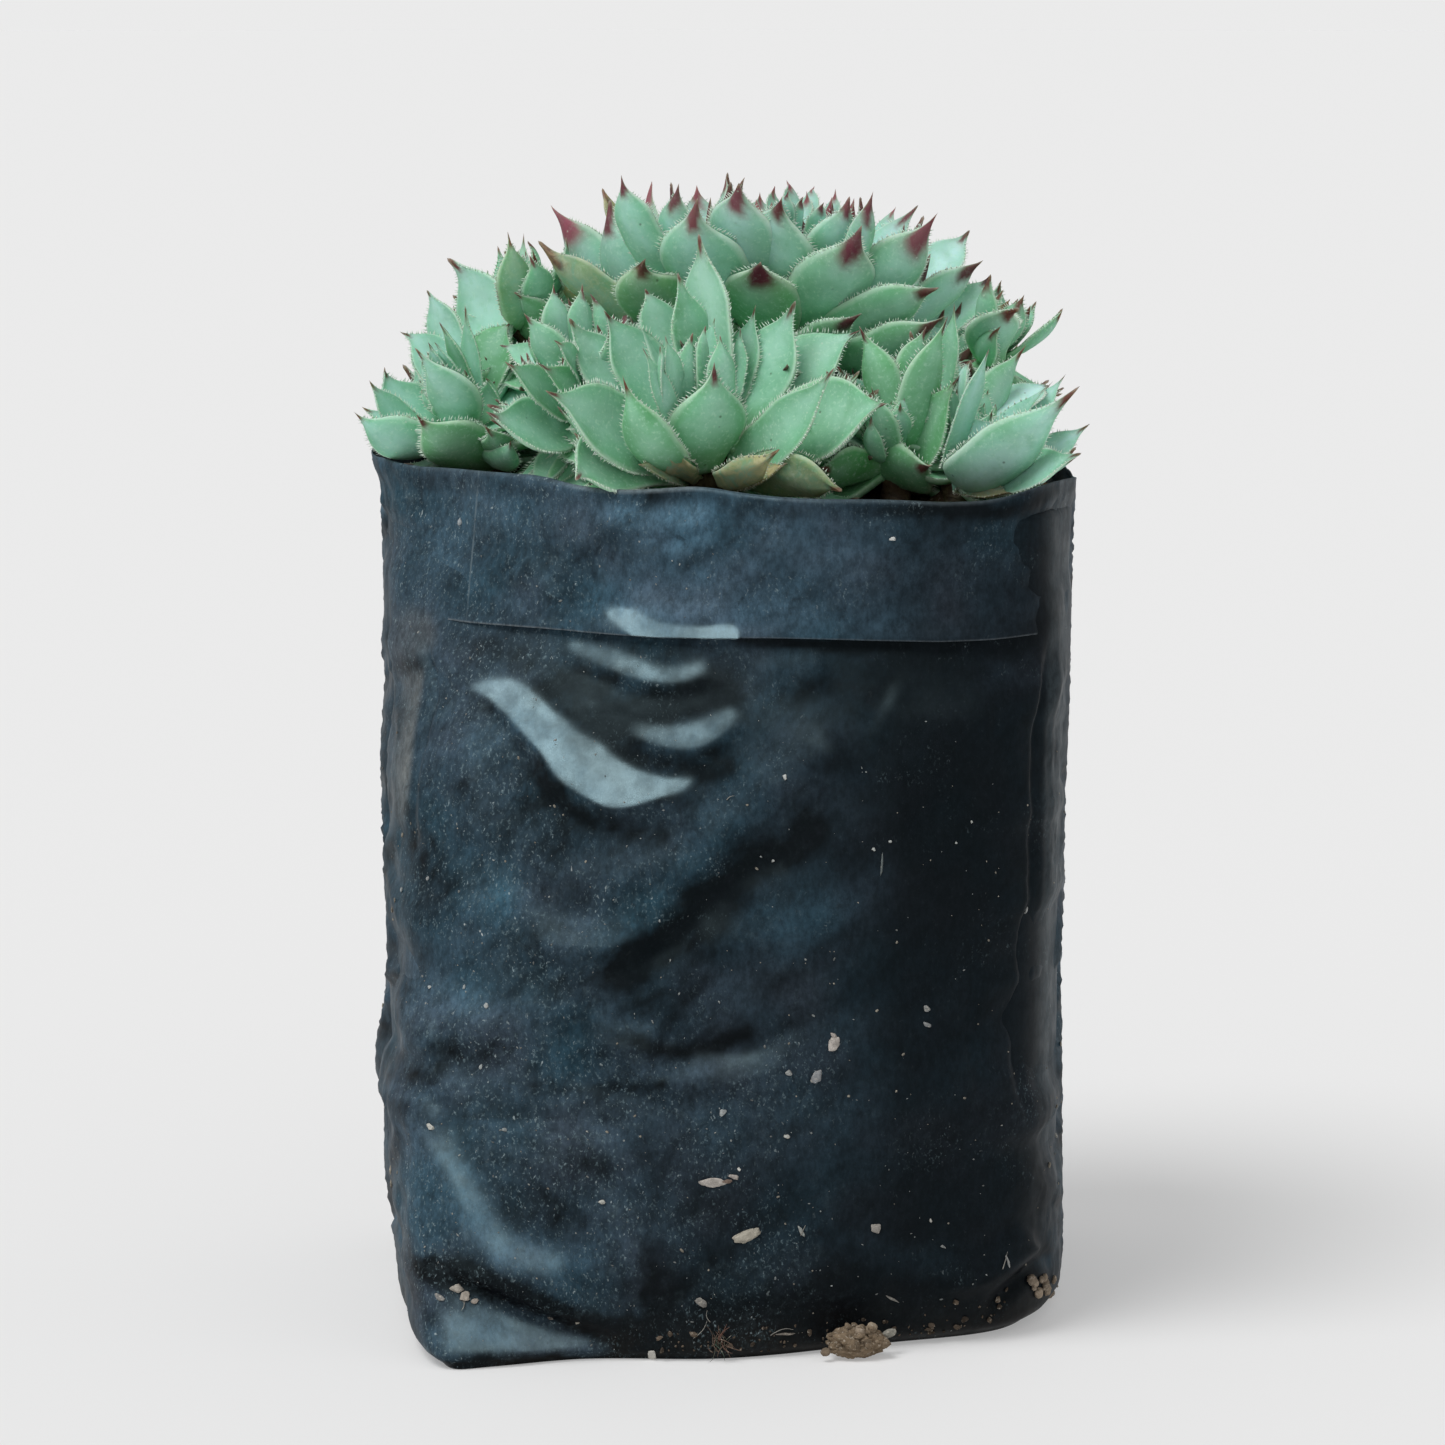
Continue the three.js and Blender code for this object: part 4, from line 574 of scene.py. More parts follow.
    [37,122,1449,-171,128,1643,-172,67,1472,96,61,0,0,1], [64,145,1482,-110,289,1664,-132,160,1407,52,83,0,0,0], [65,90,1480,-64,-41,1678,-97,-21,1519,69,27,0,0,1], [65,75,1455,-37,-108,1656,-65,-60,1531,130,18,0,0,1],
    [81,78,1479,26,-103,1684,11,-49,1570,109,-5,0,-1,1], [90,68,1458,89,-93,1662,69,-50,1574,130,-20,0,0,1], [79,55,1423,58,-109,1568,41,-52,1519,130,-6,0,4,1], [44,76,1427,-113,-76,1569,-151,-39,1492,109,36,1,3,0],
    [116,65,1436,205,-115,1618,163,-62,1506,130,-3,0,2,1], [113,77,1471,188,-72,1658,154,-34,1540,84,3,0,0,1], [117,83,1481,221,-80,1670,169,-46,1417,44,-7,0,0,1], [121,56,1408,205,-107,1488,101,-46,1425,62,-21,0,3,0],
    [135,84,1450,318,-66,1634,206,-41,1476,91,-31,0,1,1], [128,150,1472,302,305,1628,161,266,1450,60,19,0,-1,0], [137,73,1423,320,-108,1532,165,-55,1458,80,-37,0,1,0], [140,71,1411,327,-109,1485,183,-59,1385,73,-44,0,1,0],
    [149,91,1425,387,-25,1567,233,-20,1424,62,-46,0,0,0], [143,149,1441,381,283,1587,296,263,1475,71,31,0,-3,0], [150,151,1420,413,283,1520,343,259,1399,56,37,0,-1,0], [93,151,1501,78,309,1654,70,251,1544,34,37,0,-1,1],
    [96,87,1507,97,-34,1666,87,5,1578,34,-46,0,-1,1], [98,149,1505,104,327,1667,104,262,1520,34,40,0,-1,1], [100,88,1511,115,-30,1659,106,11,1579,34,52,0,-1,1], [103,146,1512,132,305,1646,121,243,1541,34,-43,0,-1,1],
    [106,86,1502,147,-40,1652,130,2,1562,34,32,0,-1,1], [77,150,1492,-40,346,1655,-35,281,1503,52,-12,0,-3,0], [83,150,1498,-1,345,1647,-6,275,1479,34,-3,0,-1,0], [122,150,1483,268,325,1627,186,268,1429,34,12,0,-1,0],
    [91,151,1499,58,353,1644,55,278,1511,37,15,0,-1,0], [109,151,1498,176,325,1648,152,265,1514,34,-14,0,-1,1], [103,150,1502,138,329,1659,133,263,1525,34,-35,0,-2,1], [-110,120,1459,-167,122,1508,-132,110,1476,34,46,10,0,0],
    [-219,120,1484,-251,93,1552,-230,96,1503,34,14,10,0,1], [116,55,1398,219,-226,1291,144,-54,1241,130,-2,0,0,0], [120,184,1402,236,446,1350,159,307,1296,122,5,0,2,0], [25,97,1407,-248,7,1355,-98,55,1306,132,4,0,0,0],
    [154,91,1396,438,-38,1314,272,33,1261,128,-2,0,4,0], [60,183,1406,-73,441,1353,-2,300,1307,122,-2,0,4,0], [71,53,1402,-25,-251,1329,26,-72,1249,135,2,0,3,0], [150,157,1398,393,313,1327,241,241,1271,129,9,0,2,0],
    [23,137,1408,-284,211,1346,-113,178,1294,120,-5,0,3,0], [135,67,1397,312,-148,1329,208,-24,1269,125,1,0,1,0], [98,190,1404,122,500,1317,113,321,1276,122,-8,0,1,0], [40,72,1405,-191,-140,1364,-71,-19,1279,129,0,0,3,0],
    [160,113,1396,430,88,1282,256,111,1244,133,2,0,1,0], [38,164,1422,-192,355,1467,-91,265,1350,135,2,0,0,0], [92,50,1415,94,-212,1424,85,-83,1354,123,-3,0,3,0], [137,173,1415,342,415,1413,246,287,1295,122,-9,0,2,0],
    [24,115,1423,-265,93,1472,-138,109,1348,123,-2,0,4,0], [148,81,1413,371,-78,1368,245,2,1320,119,-5,0,2,0], [72,185,1423,-19,487,1455,31,345,1362,130,-9,0,-2,0], [62,60,1421,-62,-198,1460,-11,-74,1370,116,-1,0,-2,0],
    [155,143,1417,434,249,1394,284,204,1307,124,3,0,-2,0], [34,150,1428,-235,291,1501,-117,236,1376,120,-4,0,0,0], [109,183,1424,191,487,1480,151,354,1349,134,-3,0,-2,0], [33,93,1428,-229,-26,1472,-116,43,1368,128,-7,0,1,0],
    [154,100,1420,381,30,1416,268,71,1342,103,5,0,1,0], [61,176,1430,-74,420,1488,-22,308,1378,129,2,0,-1,0], [84,56,1426,62,-130,1463,68,-48,1388,105,1,0,-2,0], [144,157,1425,367,316,1429,259,233,1363,113,-9,0,0,0],
    [30,123,1434,-72,124,1656,-73,128,1521,114,-1,0,-2,1], [94,181,1432,103,442,1504,97,333,1391,122,-3,0,2,0], [55,71,1433,-97,-132,1489,-28,-47,1382,115,8,0,-1,0], [153,131,1428,298,154,1529,254,157,1435,104,7,0,-2,1],
    [41,150,1438,-73,218,1669,-73,204,1520,107,8,0,-1,1], [127,169,1434,284,390,1483,198,304,1370,109,8,0,2,0], [145,91,1432,243,38,1583,228,50,1480,90,5,0,2,1], [77,175,1441,14,404,1511,38,310,1403,104,-3,0,0,0],
    [79,63,1438,75,-24,1651,52,-45,1518,98,-4,0,2,2], [143,149,1437,278,218,1602,255,214,1470,99,0,0,-2,1], [40,137,1445,-81,178,1613,-66,163,1495,108,9,0,2,1], [105,174,1443,145,335,1521,122,280,1433,85,4,0,-1,0],
    [52,82,1446,-107,-64,1516,-48,-2,1411,103,0,0,-1,0], [149,112,1440,315,86,1562,270,98,1449,104,3,0,-2,1], [60,162,1449,-10,262,1619,3,248,1504,102,-8,0,0,1], [96,65,1444,113,25,1644,112,-12,1533,95,7,0,-2,2],
    [134,155,1445,195,195,1602,187,200,1509,90,4,0,2,2], [41,111,1452,-76,87,1632,-59,90,1513,90,5,0,-1,1], [134,84,1445,190,44,1647,205,33,1528,90,5,0,2,2], [88,171,1452,90,266,1636,82,275,1515,98,-2,0,-1,1],
    [145,130,1448,300,157,1623,266,150,1496,103,-5,0,2,1], [48,140,1457,35,147,1677,-15,165,1563,91,3,0,-1,2], [111,71,1451,137,23,1594,141,13,1508,76,8,0,-1,2], [110,167,1455,169,296,1639,143,288,1506,90,9,0,2,1],
    [48,102,1459,23,84,1609,-3,84,1527,81,-6,0,1,2], [72,162,1461,50,220,1613,49,222,1523,81,-8,0,-2,2], [82,72,1458,100,77,1643,98,113,1549,81,5,0,1,2], [123,80,1458,175,21,1596,172,22,1506,77,3,0,2,2],
    [93,165,1464,103,212,1617,91,232,1528,72,5,0,-1,2], [60,89,1466,11,30,1675,0,32,1555,85,-1,0,2,2], [141,124,1461,206,125,1649,220,127,1539,74,-5,0,-1,2], [63,149,1469,8,208,1647,2,201,1540,79,7,0,1,1],
    [105,74,1464,134,-5,1622,123,-8,1521,72,-5,0,1,2], [123,154,1466,199,227,1643,185,218,1533,79,-5,0,1,1], [53,108,1472,-18,81,1650,-22,90,1544,80,-6,0,1,2], [82,159,1473,53,271,1640,58,251,1530,76,-6,0,-2,1],
    [79,79,1472,55,-13,1641,55,-5,1534,68,6,0,2,1], [135,135,1470,273,184,1585,225,174,1497,71,6,0,2,1], [57,133,1477,13,149,1685,-13,168,1569,74,-8,0,0,2], [115,81,1472,106,121,1633,97,136,1543,65,-6,0,-2,2],
    [104,159,1476,125,215,1593,119,207,1524,59,-5,0,-2,1], [62,96,1479,62,86,1607,40,78,1542,57,-1,0,1,2], [136,112,1474,223,96,1614,207,99,1527,59,-2,0,-1,1], [94,79,1479,104,98,1587,97,115,1528,49,8,0,2,2],
    [125,145,1479,164,166,1639,170,177,1550,63,-5,0,-1,2], [59,114,1484,13,104,1640,5,103,1553,62,6,0,-1,2], [126,93,1480,190,41,1577,178,52,1507,51,4,0,1,1], [134,122,1483,203,126,1608,189,125,1534,56,-5,0,1,2],
    [113,150,1488,143,187,1614,136,194,1542,47,7,0,0,2], [66,103,1492,108,115,1600,108,122,1537,48,5,0,-1,2]]),
    ('front_right', (35.0, -19.0, 127.2), (0.22, -0.32, 0.921), 2.4, [
    [365,-209,1271,508,-392,1408,307,-332,1211,95,-33,0,0,1], [367,-181,1298,513,-2,1392,373,-68,1213,50,-1,0,0,0], [367,-175,1280,550,6,1315,375,-57,1197,47,16,0,0,0], [364,-208,1265,509,-393,1313,383,-274,1238,67,58,0,0,0],
    [355,-220,1304,381,-346,1457,294,-268,1211,35,-139,0,0,2], [363,-182,1306,449,-12,1435,346,-132,1284,65,-132,0,3,0], [366,-182,1302,489,-3,1378,404,-65,1341,61,-2,0,-3,0], [368,-212,1286,471,-347,1410,262,-260,1191,39,82,0,0,1],
    [360,-217,1289,402,-334,1353,322,-261,1312,60,105,0,-1,1], [365,-192,1327,390,-50,1368,376,-122,1265,34,-55,0,0,0], [363,-193,1329,371,-32,1385,369,-113,1251,34,39,0,0,0], [356,-207,1247,416,-334,1248,330,-257,1246,34,42,7,0,0],
    [366,-171,1262,449,-94,1241,394,-127,1218,89,-1,0,3,0], [348,-163,1269,336,59,1274,321,-52,1215,115,8,0,1,0], [331,-171,1270,174,-23,1320,245,-80,1222,122,0,0,1,0], [360,-166,1265,477,44,1261,399,-52,1178,115,-7,0,1,0],
    [342,-164,1270,281,54,1302,292,-50,1212,117,6,0,3,0], [373,-182,1273,486,-135,1257,419,-144,1234,91,8,0,0,0], [329,-186,1283,105,-137,1389,199,-133,1286,112,-8,0,0,0], [361,-211,1267,414,-311,1224,378,-253,1215,86,-6,0,1,0],
    [373,-196,1273,513,-241,1308,458,-212,1240,97,-4,0,1,0], [339,-177,1289,215,-29,1420,240,-72,1285,121,8,0,0,0], [369,-207,1276,460,-282,1269,417,-237,1232,87,3,0,-2,0], [374,-192,1283,485,-187,1295,431,-178,1267,82,7,0,2,0],
    [336,-186,1296,166,-108,1421,225,-120,1306,103,-1,0,1,0], [372,-205,1285,512,-289,1301,452,-239,1248,95,5,0,2,0], [350,-179,1301,327,-60,1462,320,-89,1357,102,6,0,0,0], [373,-188,1295,463,-163,1343,428,-159,1291,79,-2,0,-2,0],
    [376,-199,1297,465,-216,1342,431,-199,1302,74,7,0,1,1], [345,-188,1309,277,-129,1467,289,-124,1366,95,-8,0,1,0], [358,-218,1297,374,-345,1313,357,-287,1268,84,-3,0,-2,0], [364,-219,1306,417,-372,1340,390,-304,1284,81,3,0,-1,0],
    [353,-193,1323,306,-119,1438,307,-133,1357,78,9,0,2,0], [356,-215,1347,358,-243,1432,341,-229,1390,38,3,0,-2,2]]),
    ('right_back', (39.7, 13.0, 137.7), (0.423, 0.0, 0.906), 2.2, [
    [407,111,1401,442,-2,1492,392,41,1462,84,33,0,-2,1], [407,112,1405,417,8,1463,370,50,1404,48,-26,0,1,0], [409,149,1400,453,279,1481,405,229,1388,41,31,0,-1,0], [403,112,1361,461,-24,1260,411,62,1274,131,9,0,4,0],
    [398,151,1363,436,348,1299,393,236,1275,148,-6,0,1,0], [375,118,1374,200,4,1403,279,61,1335,138,8,0,3,0], [412,126,1357,488,109,1283,429,120,1298,109,1,0,3,0], [378,146,1372,212,302,1379,280,211,1309,145,-1,0,2,0],
    [392,108,1366,370,-110,1303,352,16,1285,156,-4,0,3,0], [406,146,1359,481,257,1273,404,195,1274,133,8,0,1,0], [372,130,1375,157,128,1435,249,125,1350,152,4,0,3,0], [389,152,1367,338,371,1337,342,248,1293,139,-3,0,0,0],
    [382,111,1371,263,-68,1373,302,34,1316,155,-2,0,4,0], [411,136,1357,493,161,1298,430,146,1296,106,-1,0,4,0], [381,142,1386,220,258,1457,276,199,1368,157,1,0,0,0], [405,110,1377,459,-65,1350,406,24,1300,134,3,0,3,0],
    [405,150,1379,469,344,1357,404,251,1305,137,4,0,0,0], [382,123,1391,203,54,1440,272,100,1358,145,-8,0,4,0], [418,122,1377,514,83,1355,459,99,1341,104,-3,0,-2,0], [392,148,1391,305,295,1402,334,216,1350,132,-3,0,-1,0],
    [398,110,1390,367,-75,1420,359,12,1347,134,4,0,1,0], [418,141,1383,526,219,1354,458,182,1326,113,-2,0,0,0], [420,121,1443,435,111,1495,418,107,1470,46,-8,0,-2,2], [437,131,1437,449,130,1494,435,129,1468,43,6,0,2,2]]),
    ('nested', (25.4, -17.0, 127.6), (0.02, -0.221, 0.975), 2.2, [
    [240,-170,1257,304,-243,1279,275,-218,1276,110,-58,0,0,0], [273,-170,1298,325,-200,1495,264,-227,1312,68,-77,0,1,2], [270,-168,1311,339,-170,1509,324,-142,1286,39,16,0,0,2], [263,-170,1264,344,-240,1413,279,-178,1296,92,66,0,0,1],
    [242,-160,1299,201,-150,1475,257,-192,1349,64,104,0,1,2], [264,-161,1309,298,-140,1473,262,-181,1383,54,-120,0,2,2], [241,-188,1289,217,-240,1395,237,-236,1309,53,13,0,1,2], [259,-194,1301,262,-220,1385,264,-222,1338,43,19,0,0,2],
    [236,-182,1274,144,-250,1275,158,-232,1270,71,73,0,5,0], [241,-188,1283,217,-235,1355,211,-226,1277,34,2,0,-1,2], [236,-182,1268,200,-214,1304,190,-203,1286,34,21,9,0,1], [238,-153,1268,96,-22,1259,181,-76,1205,111,-9,0,1,0],
    [268,-151,1268,386,-1,1240,320,-79,1207,110,-4,0,1,0], [232,-169,1264,49,-176,1228,148,-156,1205,107,-8,0,2,0], [248,-147,1269,199,44,1272,229,-49,1219,109,-4,0,0,0], [275,-160,1266,433,-90,1233,338,-115,1193,103,2,0,3,0],
    [235,-157,1267,59,-56,1261,156,-94,1216,105,-6,0,3,0], [262,-147,1269,324,33,1246,290,-62,1211,110,-4,0,0,0], [275,-177,1276,366,-203,1264,319,-186,1247,83,-5,0,0,0], [242,-153,1283,141,-5,1329,184,-68,1255,101,6,0,2,0],
    [273,-161,1284,436,-72,1330,363,-99,1241,106,-3,0,1,0], [234,-171,1284,59,-177,1339,132,-158,1267,101,-5,0,2,0], [255,-152,1290,260,12,1392,252,-46,1303,111,7,0,-1,0], [274,-172,1289,470,-172,1345,392,-162,1250,104,-5,0,0,0],
    [240,-160,1294,108,-53,1399,163,-80,1304,98,-5,0,0,0], [264,-158,1297,343,-39,1401,316,-69,1306,99,-2,0,-1,0], [248,-159,1302,192,-29,1401,209,-65,1307,94,3,0,1,0], [271,-169,1302,345,-156,1383,330,-149,1321,79,-2,0,0,1],
    [239,-170,1305,123,-152,1427,156,-153,1341,95,9,0,0,1], [260,-161,1310,310,-57,1452,287,-67,1349,93,9,0,1,1], [244,-167,1314,183,-116,1402,201,-121,1338,75,-3,0,2,1], [266,-168,1317,339,-125,1459,329,-122,1367,74,-9,0,-1,1],
    [240,-180,1316,154,-205,1415,174,-185,1348,67,-8,0,2,1], [255,-166,1323,254,-106,1427,257,-110,1360,63,-7,0,2,1], [269,-178,1323,319,-186,1393,308,-175,1349,54,8,0,0,1], [244,-173,1326,172,-138,1411,195,-142,1352,58,1,0,2,1],
    [262,-171,1330,303,-122,1442,296,-125,1372,54,-8,0,-2,1], [244,-187,1329,179,-232,1414,191,-211,1355,56,-6,0,2,1], [250,-172,1336,225,-139,1437,233,-139,1380,48,-9,0,-1,1], [265,-178,1338,308,-167,1404,295,-162,1364,40,8,0,-2,1],
    [262,-193,1338,272,-218,1390,273,-215,1358,35,-4,0,1,2]]),
    ('rear_left', (-29.0, 25.0, 130.5), (-0.331, 0.301, 0.894), 2.4, [
    [-266,260,1297,-87,351,1271,-170,276,1225,120,-1,0,3,0], [-308,250,1285,-428,268,1221,-352,254,1222,89,-9,0,3,0], [-277,227,1304,-181,46,1340,-209,136,1266,118,8,0,4,0], [-281,269,1288,-269,445,1306,-248,361,1240,105,-2,0,1,0],
    [-304,230,1293,-438,83,1243,-336,146,1208,116,1,0,4,0], [-264,246,1303,-52,234,1344,-150,217,1277,119,-9,0,2,0], [-286,224,1302,-266,12,1316,-255,115,1235,120,-3,0,4,0], [-270,264,1294,-146,386,1264,-203,309,1234,114,9,0,0,0],
    [-309,245,1286,-471,235,1233,-375,220,1218,105,7,0,4,0], [-268,235,1305,-89,118,1349,-164,171,1252,116,6,0,3,0], [-290,268,1285,-297,349,1224,-282,289,1227,86,2,0,4,0], [-305,231,1308,-417,72,1309,-345,140,1263,108,-3,0,1,0],
    [-269,257,1314,-69,316,1378,-148,269,1297,119,-2,0,3,0], [-309,262,1298,-462,364,1318,-396,310,1244,110,3,0,0,0], [-286,231,1319,-245,65,1417,-242,118,1307,108,-2,0,0,0], [-284,273,1307,-226,467,1309,-229,363,1263,111,-7,0,-2,0],
    [-312,242,1308,-513,152,1305,-403,177,1246,117,-4,0,0,0], [-272,249,1321,-103,232,1431,-162,230,1336,108,6,0,-1,0], [-303,271,1304,-399,425,1293,-348,346,1256,114,6,0,1,0], [-299,233,1320,-359,72,1412,-311,124,1328,101,6,0,0,0],
    [-278,268,1317,-157,415,1389,-187,334,1318,111,-8,0,1,0], [-314,256,1309,-504,295,1299,-411,255,1255,111,9,0,-1,0], [-281,241,1328,-193,153,1467,-216,167,1365,102,-8,0,1,0], [-292,275,1314,-301,449,1363,-285,374,1299,98,6,0,-2,0],
    [-309,240,1321,-449,144,1407,-377,159,1332,102,8,0,0,0], [-277,256,1329,-150,290,1468,-166,266,1357,103,8,0,-1,0], [-311,267,1314,-441,366,1284,-367,315,1251,96,-8,0,2,0], [-294,238,1332,-305,126,1485,-289,142,1380,98,-9,0,1,0],
    [-286,273,1324,-229,440,1408,-228,371,1317,107,7,0,2,0], [-316,253,1321,-494,258,1382,-425,239,1296,103,-5,0,-1,0], [-283,250,1336,-202,225,1516,-196,215,1402,95,7,0,1,1], [-304,275,1321,-379,434,1360,-339,368,1290,97,3,0,-1,0],
    [-308,242,1333,-410,151,1451,-355,162,1369,100,9,0,0,1], [-284,267,1335,-221,358,1466,-218,320,1379,100,5,0,-1,1], [-317,263,1325,-481,330,1380,-417,287,1310,93,8,0,1,1], [-293,246,1342,-273,176,1520,-244,170,1411,89,7,0,0,1],
    [-297,277,1331,-312,433,1422,-282,381,1336,96,-1,0,-1,1], [-316,250,1335,-457,217,1441,-402,214,1361,85,-8,0,2,1], [-286,259,1344,-219,285,1514,-206,251,1414,83,-6,0,2,1], [-312,274,1332,-408,385,1408,-369,351,1328,92,-4,0,-1,1],
    [-305,246,1345,-360,201,1494,-331,185,1409,89,-4,0,-2,1], [-292,274,1342,-270,385,1473,-241,343,1389,80,-9,0,0,1], [-319,263,1337,-452,305,1428,-413,279,1344,86,-4,0,2,1], [-294,253,1351,-291,249,1507,-272,230,1428,82,-4,0,1,1],
    [-305,279,1340,-351,393,1438,-318,358,1367,82,-9,0,0,1], [-315,252,1347,-406,229,1462,-376,211,1387,73,-4,0,-1,1], [-292,269,1352,-275,332,1493,-252,301,1418,72,-6,0,1,2], [-319,271,1343,-419,340,1428,-390,311,1355,75,4,0,0,1],
    [-304,252,1356,-333,228,1509,-305,210,1430,66,3,0,1,1], [-300,278,1351,-310,375,1469,-285,345,1397,72,-3,0,-1,2], [-320,260,1351,-417,278,1472,-390,254,1397,61,-3,0,-1,2], [-296,262,1361,-287,282,1507,-266,263,1433,68,5,0,-2,2],
    [-315,278,1350,-379,358,1451,-351,341,1380,63,-8,0,1,2], [-314,255,1360,-373,259,1486,-349,226,1422,63,6,0,0,2], [-299,276,1360,-304,334,1464,-277,320,1404,58,5,0,-2,2], [-322,271,1355,-389,309,1440,-377,288,1381,55,8,0,-1,2],
    [-305,259,1367,-325,267,1485,-301,246,1430,55,5,0,2,2], [-309,281,1359,-340,327,1449,-318,319,1399,50,-8,0,0,2], [-321,261,1363,-366,283,1457,-357,258,1407,48,-2,0,1,2], [-301,270,1370,-311,298,1466,-282,277,1422,48,-8,0,0,2],
    [-321,278,1361,-365,319,1442,-354,312,1388,46,-6,0,-1,2]]),
    ('rear', (1.0, 31.0, 131.0), (-0.05, 0.422, 0.905), 2.3, [
    [3,285,1308,-65,81,1347,-18,166,1259,143,4,0,1,0], [31,315,1296,222,387,1224,122,308,1204,134,-9,0,1,0], [-12,308,1296,-219,323,1240,-101,287,1208,141,-1,0,4,0], [21,287,1308,125,95,1348,66,173,1261,146,-3,0,1,0],
    [-7,291,1305,-178,123,1308,-71,183,1224,150,1,0,3,0], [34,305,1300,251,279,1249,124,266,1210,143,3,0,0,0], [-3,321,1291,-66,387,1234,-32,331,1233,105,7,0,2,0], [10,284,1309,3,53,1335,6,160,1244,150,-4,0,4,0],
    [26,320,1293,138,459,1299,90,385,1248,125,8,0,0,0], [-12,302,1299,-236,248,1234,-96,252,1188,145,-7,0,3,0], [28,291,1306,184,146,1325,96,199,1242,150,0,0,4,0], [7,332,1302,-15,511,1333,-12,431,1251,131,6,0,3,0],
    [-2,293,1321,-116,124,1413,-49,169,1306,148,8,0,2,0], [32,317,1314,267,374,1322,163,301,1247,136,-8,0,4,0], [-9,323,1310,-187,443,1310,-109,368,1252,131,-1,0,1,0], [15,295,1327,70,134,1469,58,176,1349,132,7,0,-2,0],
    [19,332,1311,97,522,1308,71,421,1260,128,-3,0,1,0], [-9,305,1324,-194,232,1407,-113,228,1305,133,2,0,-2,0], [29,310,1326,230,285,1435,158,263,1319,143,2,0,-1,0], [1,333,1316,-83,519,1311,-40,425,1246,134,-8,0,-2,0],
    [3,300,1334,-63,162,1503,-32,185,1380,127,3,0,0,0], [26,328,1324,189,468,1372,124,394,1302,126,6,0,1,0], [-11,320,1328,-221,366,1400,-136,317,1321,140,7,0,-1,0], [23,308,1337,144,240,1489,96,241,1388,133,-8,0,1,0],
    [11,338,1325,25,540,1368,24,449,1300,121,0,0,-1,0], [-4,308,1340,-123,230,1486,-86,223,1371,122,-3,0,2,0], [27,323,1337,193,377,1457,141,333,1362,127,1,0,1,0], [-6,332,1333,-137,461,1403,-98,397,1319,128,-1,0,-2,1],
    [11,308,1347,29,225,1523,20,226,1416,126,-8,0,1,1], [19,337,1337,100,500,1434,82,433,1343,120,4,0,0,1], [-9,323,1344,-164,356,1471,-127,321,1362,109,-9,0,1,1], [23,320,1349,122,334,1499,104,294,1407,119,-9,0,-2,1],
    [2,341,1341,-52,497,1405,-39,431,1332,103,5,0,-1,1], [2,314,1355,-42,283,1536,-38,247,1432,102,-5,0,-1,1], [22,336,1349,102,449,1477,103,396,1383,100,-6,0,0,1], [-7,333,1351,-97,415,1479,-80,375,1395,95,-3,0,-1,1],
    [15,319,1361,46,321,1528,51,279,1441,103,0,0,-1,1], [10,345,1351,15,472,1453,22,436,1368,89,-3,0,-1,2], [-4,325,1362,-68,345,1506,-62,307,1427,96,3,0,1,2], [21,332,1362,92,389,1505,85,354,1422,90,5,0,-1,1],
    [-2,344,1358,-49,443,1468,-41,409,1392,89,-7,0,2,2], [5,323,1370,-9,335,1523,-4,301,1448,84,3,0,0,2], [17,344,1363,42,423,1476,50,397,1406,77,4,0,2,2], [-6,336,1368,-60,394,1495,-68,361,1419,76,-5,0,2,2],
    [17,331,1374,42,361,1495,47,330,1435,69,-3,0,-1,2], [5,350,1367,-5,423,1468,-7,412,1399,70,3,0,1,2], [-1,331,1378,-20,367,1493,-23,329,1440,64,7,0,1,2], [18,342,1376,37,394,1479,50,368,1423,61,-1,0,-1,2],
    [-4,346,1375,-20,397,1471,-34,380,1415,55,0,0,2,2]]),
    ('rear_right', (30.0, 27.0, 130.0), (0.331, 0.361, 0.872), 2.4, [
    [302,243,1297,328,47,1307,289,138,1237,120,0,0,2,0], [275,261,1299,92,210,1335,176,222,1262,110,-4,0,4,0], [317,254,1286,480,144,1222,371,187,1206,120,3,0,2,0], [289,288,1283,240,372,1216,260,305,1222,90,-5,0,0,0],
    [290,245,1300,233,73,1349,241,151,1270,112,-5,0,2,0], [316,274,1279,407,309,1214,348,281,1223,87,2,0,2,0], [274,272,1295,88,302,1288,178,262,1252,120,7,0,2,0], [308,245,1293,393,52,1276,318,140,1222,120,-1,0,0,0],
    [299,287,1279,305,366,1224,295,309,1226,82,-7,0,2,0], [277,256,1301,122,165,1355,184,201,1267,113,-8,0,1,0], [319,261,1283,479,260,1300,403,245,1248,98,4,0,1,0], [284,288,1301,158,427,1305,202,342,1239,121,-8,0,2,0],
    [299,249,1312,288,64,1401,264,132,1301,120,-6,0,2,0], [316,285,1292,432,396,1314,383,343,1246,95,-2,0,2,0], [280,273,1312,102,301,1418,157,271,1314,113,-5,0,0,0], [320,258,1305,472,149,1321,388,186,1273,105,5,0,-1,0],
    [298,294,1299,290,453,1312,273,376,1256,102,0,0,0,0], [293,256,1318,224,125,1445,237,157,1335,105,4,0,1,0], [324,275,1300,496,305,1289,409,279,1254,110,4,0,-1,0], [285,286,1311,148,398,1367,197,336,1302,103,-6,0,-2,0],
    [310,254,1316,383,112,1432,336,150,1340,111,-1,0,-1,0], [310,293,1302,389,465,1322,340,390,1253,107,2,0,2,0], [288,267,1322,179,230,1467,197,227,1361,105,-6,0,0,0], [324,269,1309,490,228,1309,402,227,1275,101,-6,0,1,0],
    [296,294,1311,247,474,1346,238,384,1284,103,9,0,1,0], [302,259,1325,294,154,1455,281,176,1365,97,0,0,-1,0], [322,285,1307,471,381,1327,404,329,1277,101,-2,0,-2,0], [288,281,1324,168,343,1452,186,302,1354,103,-2,0,0,0],
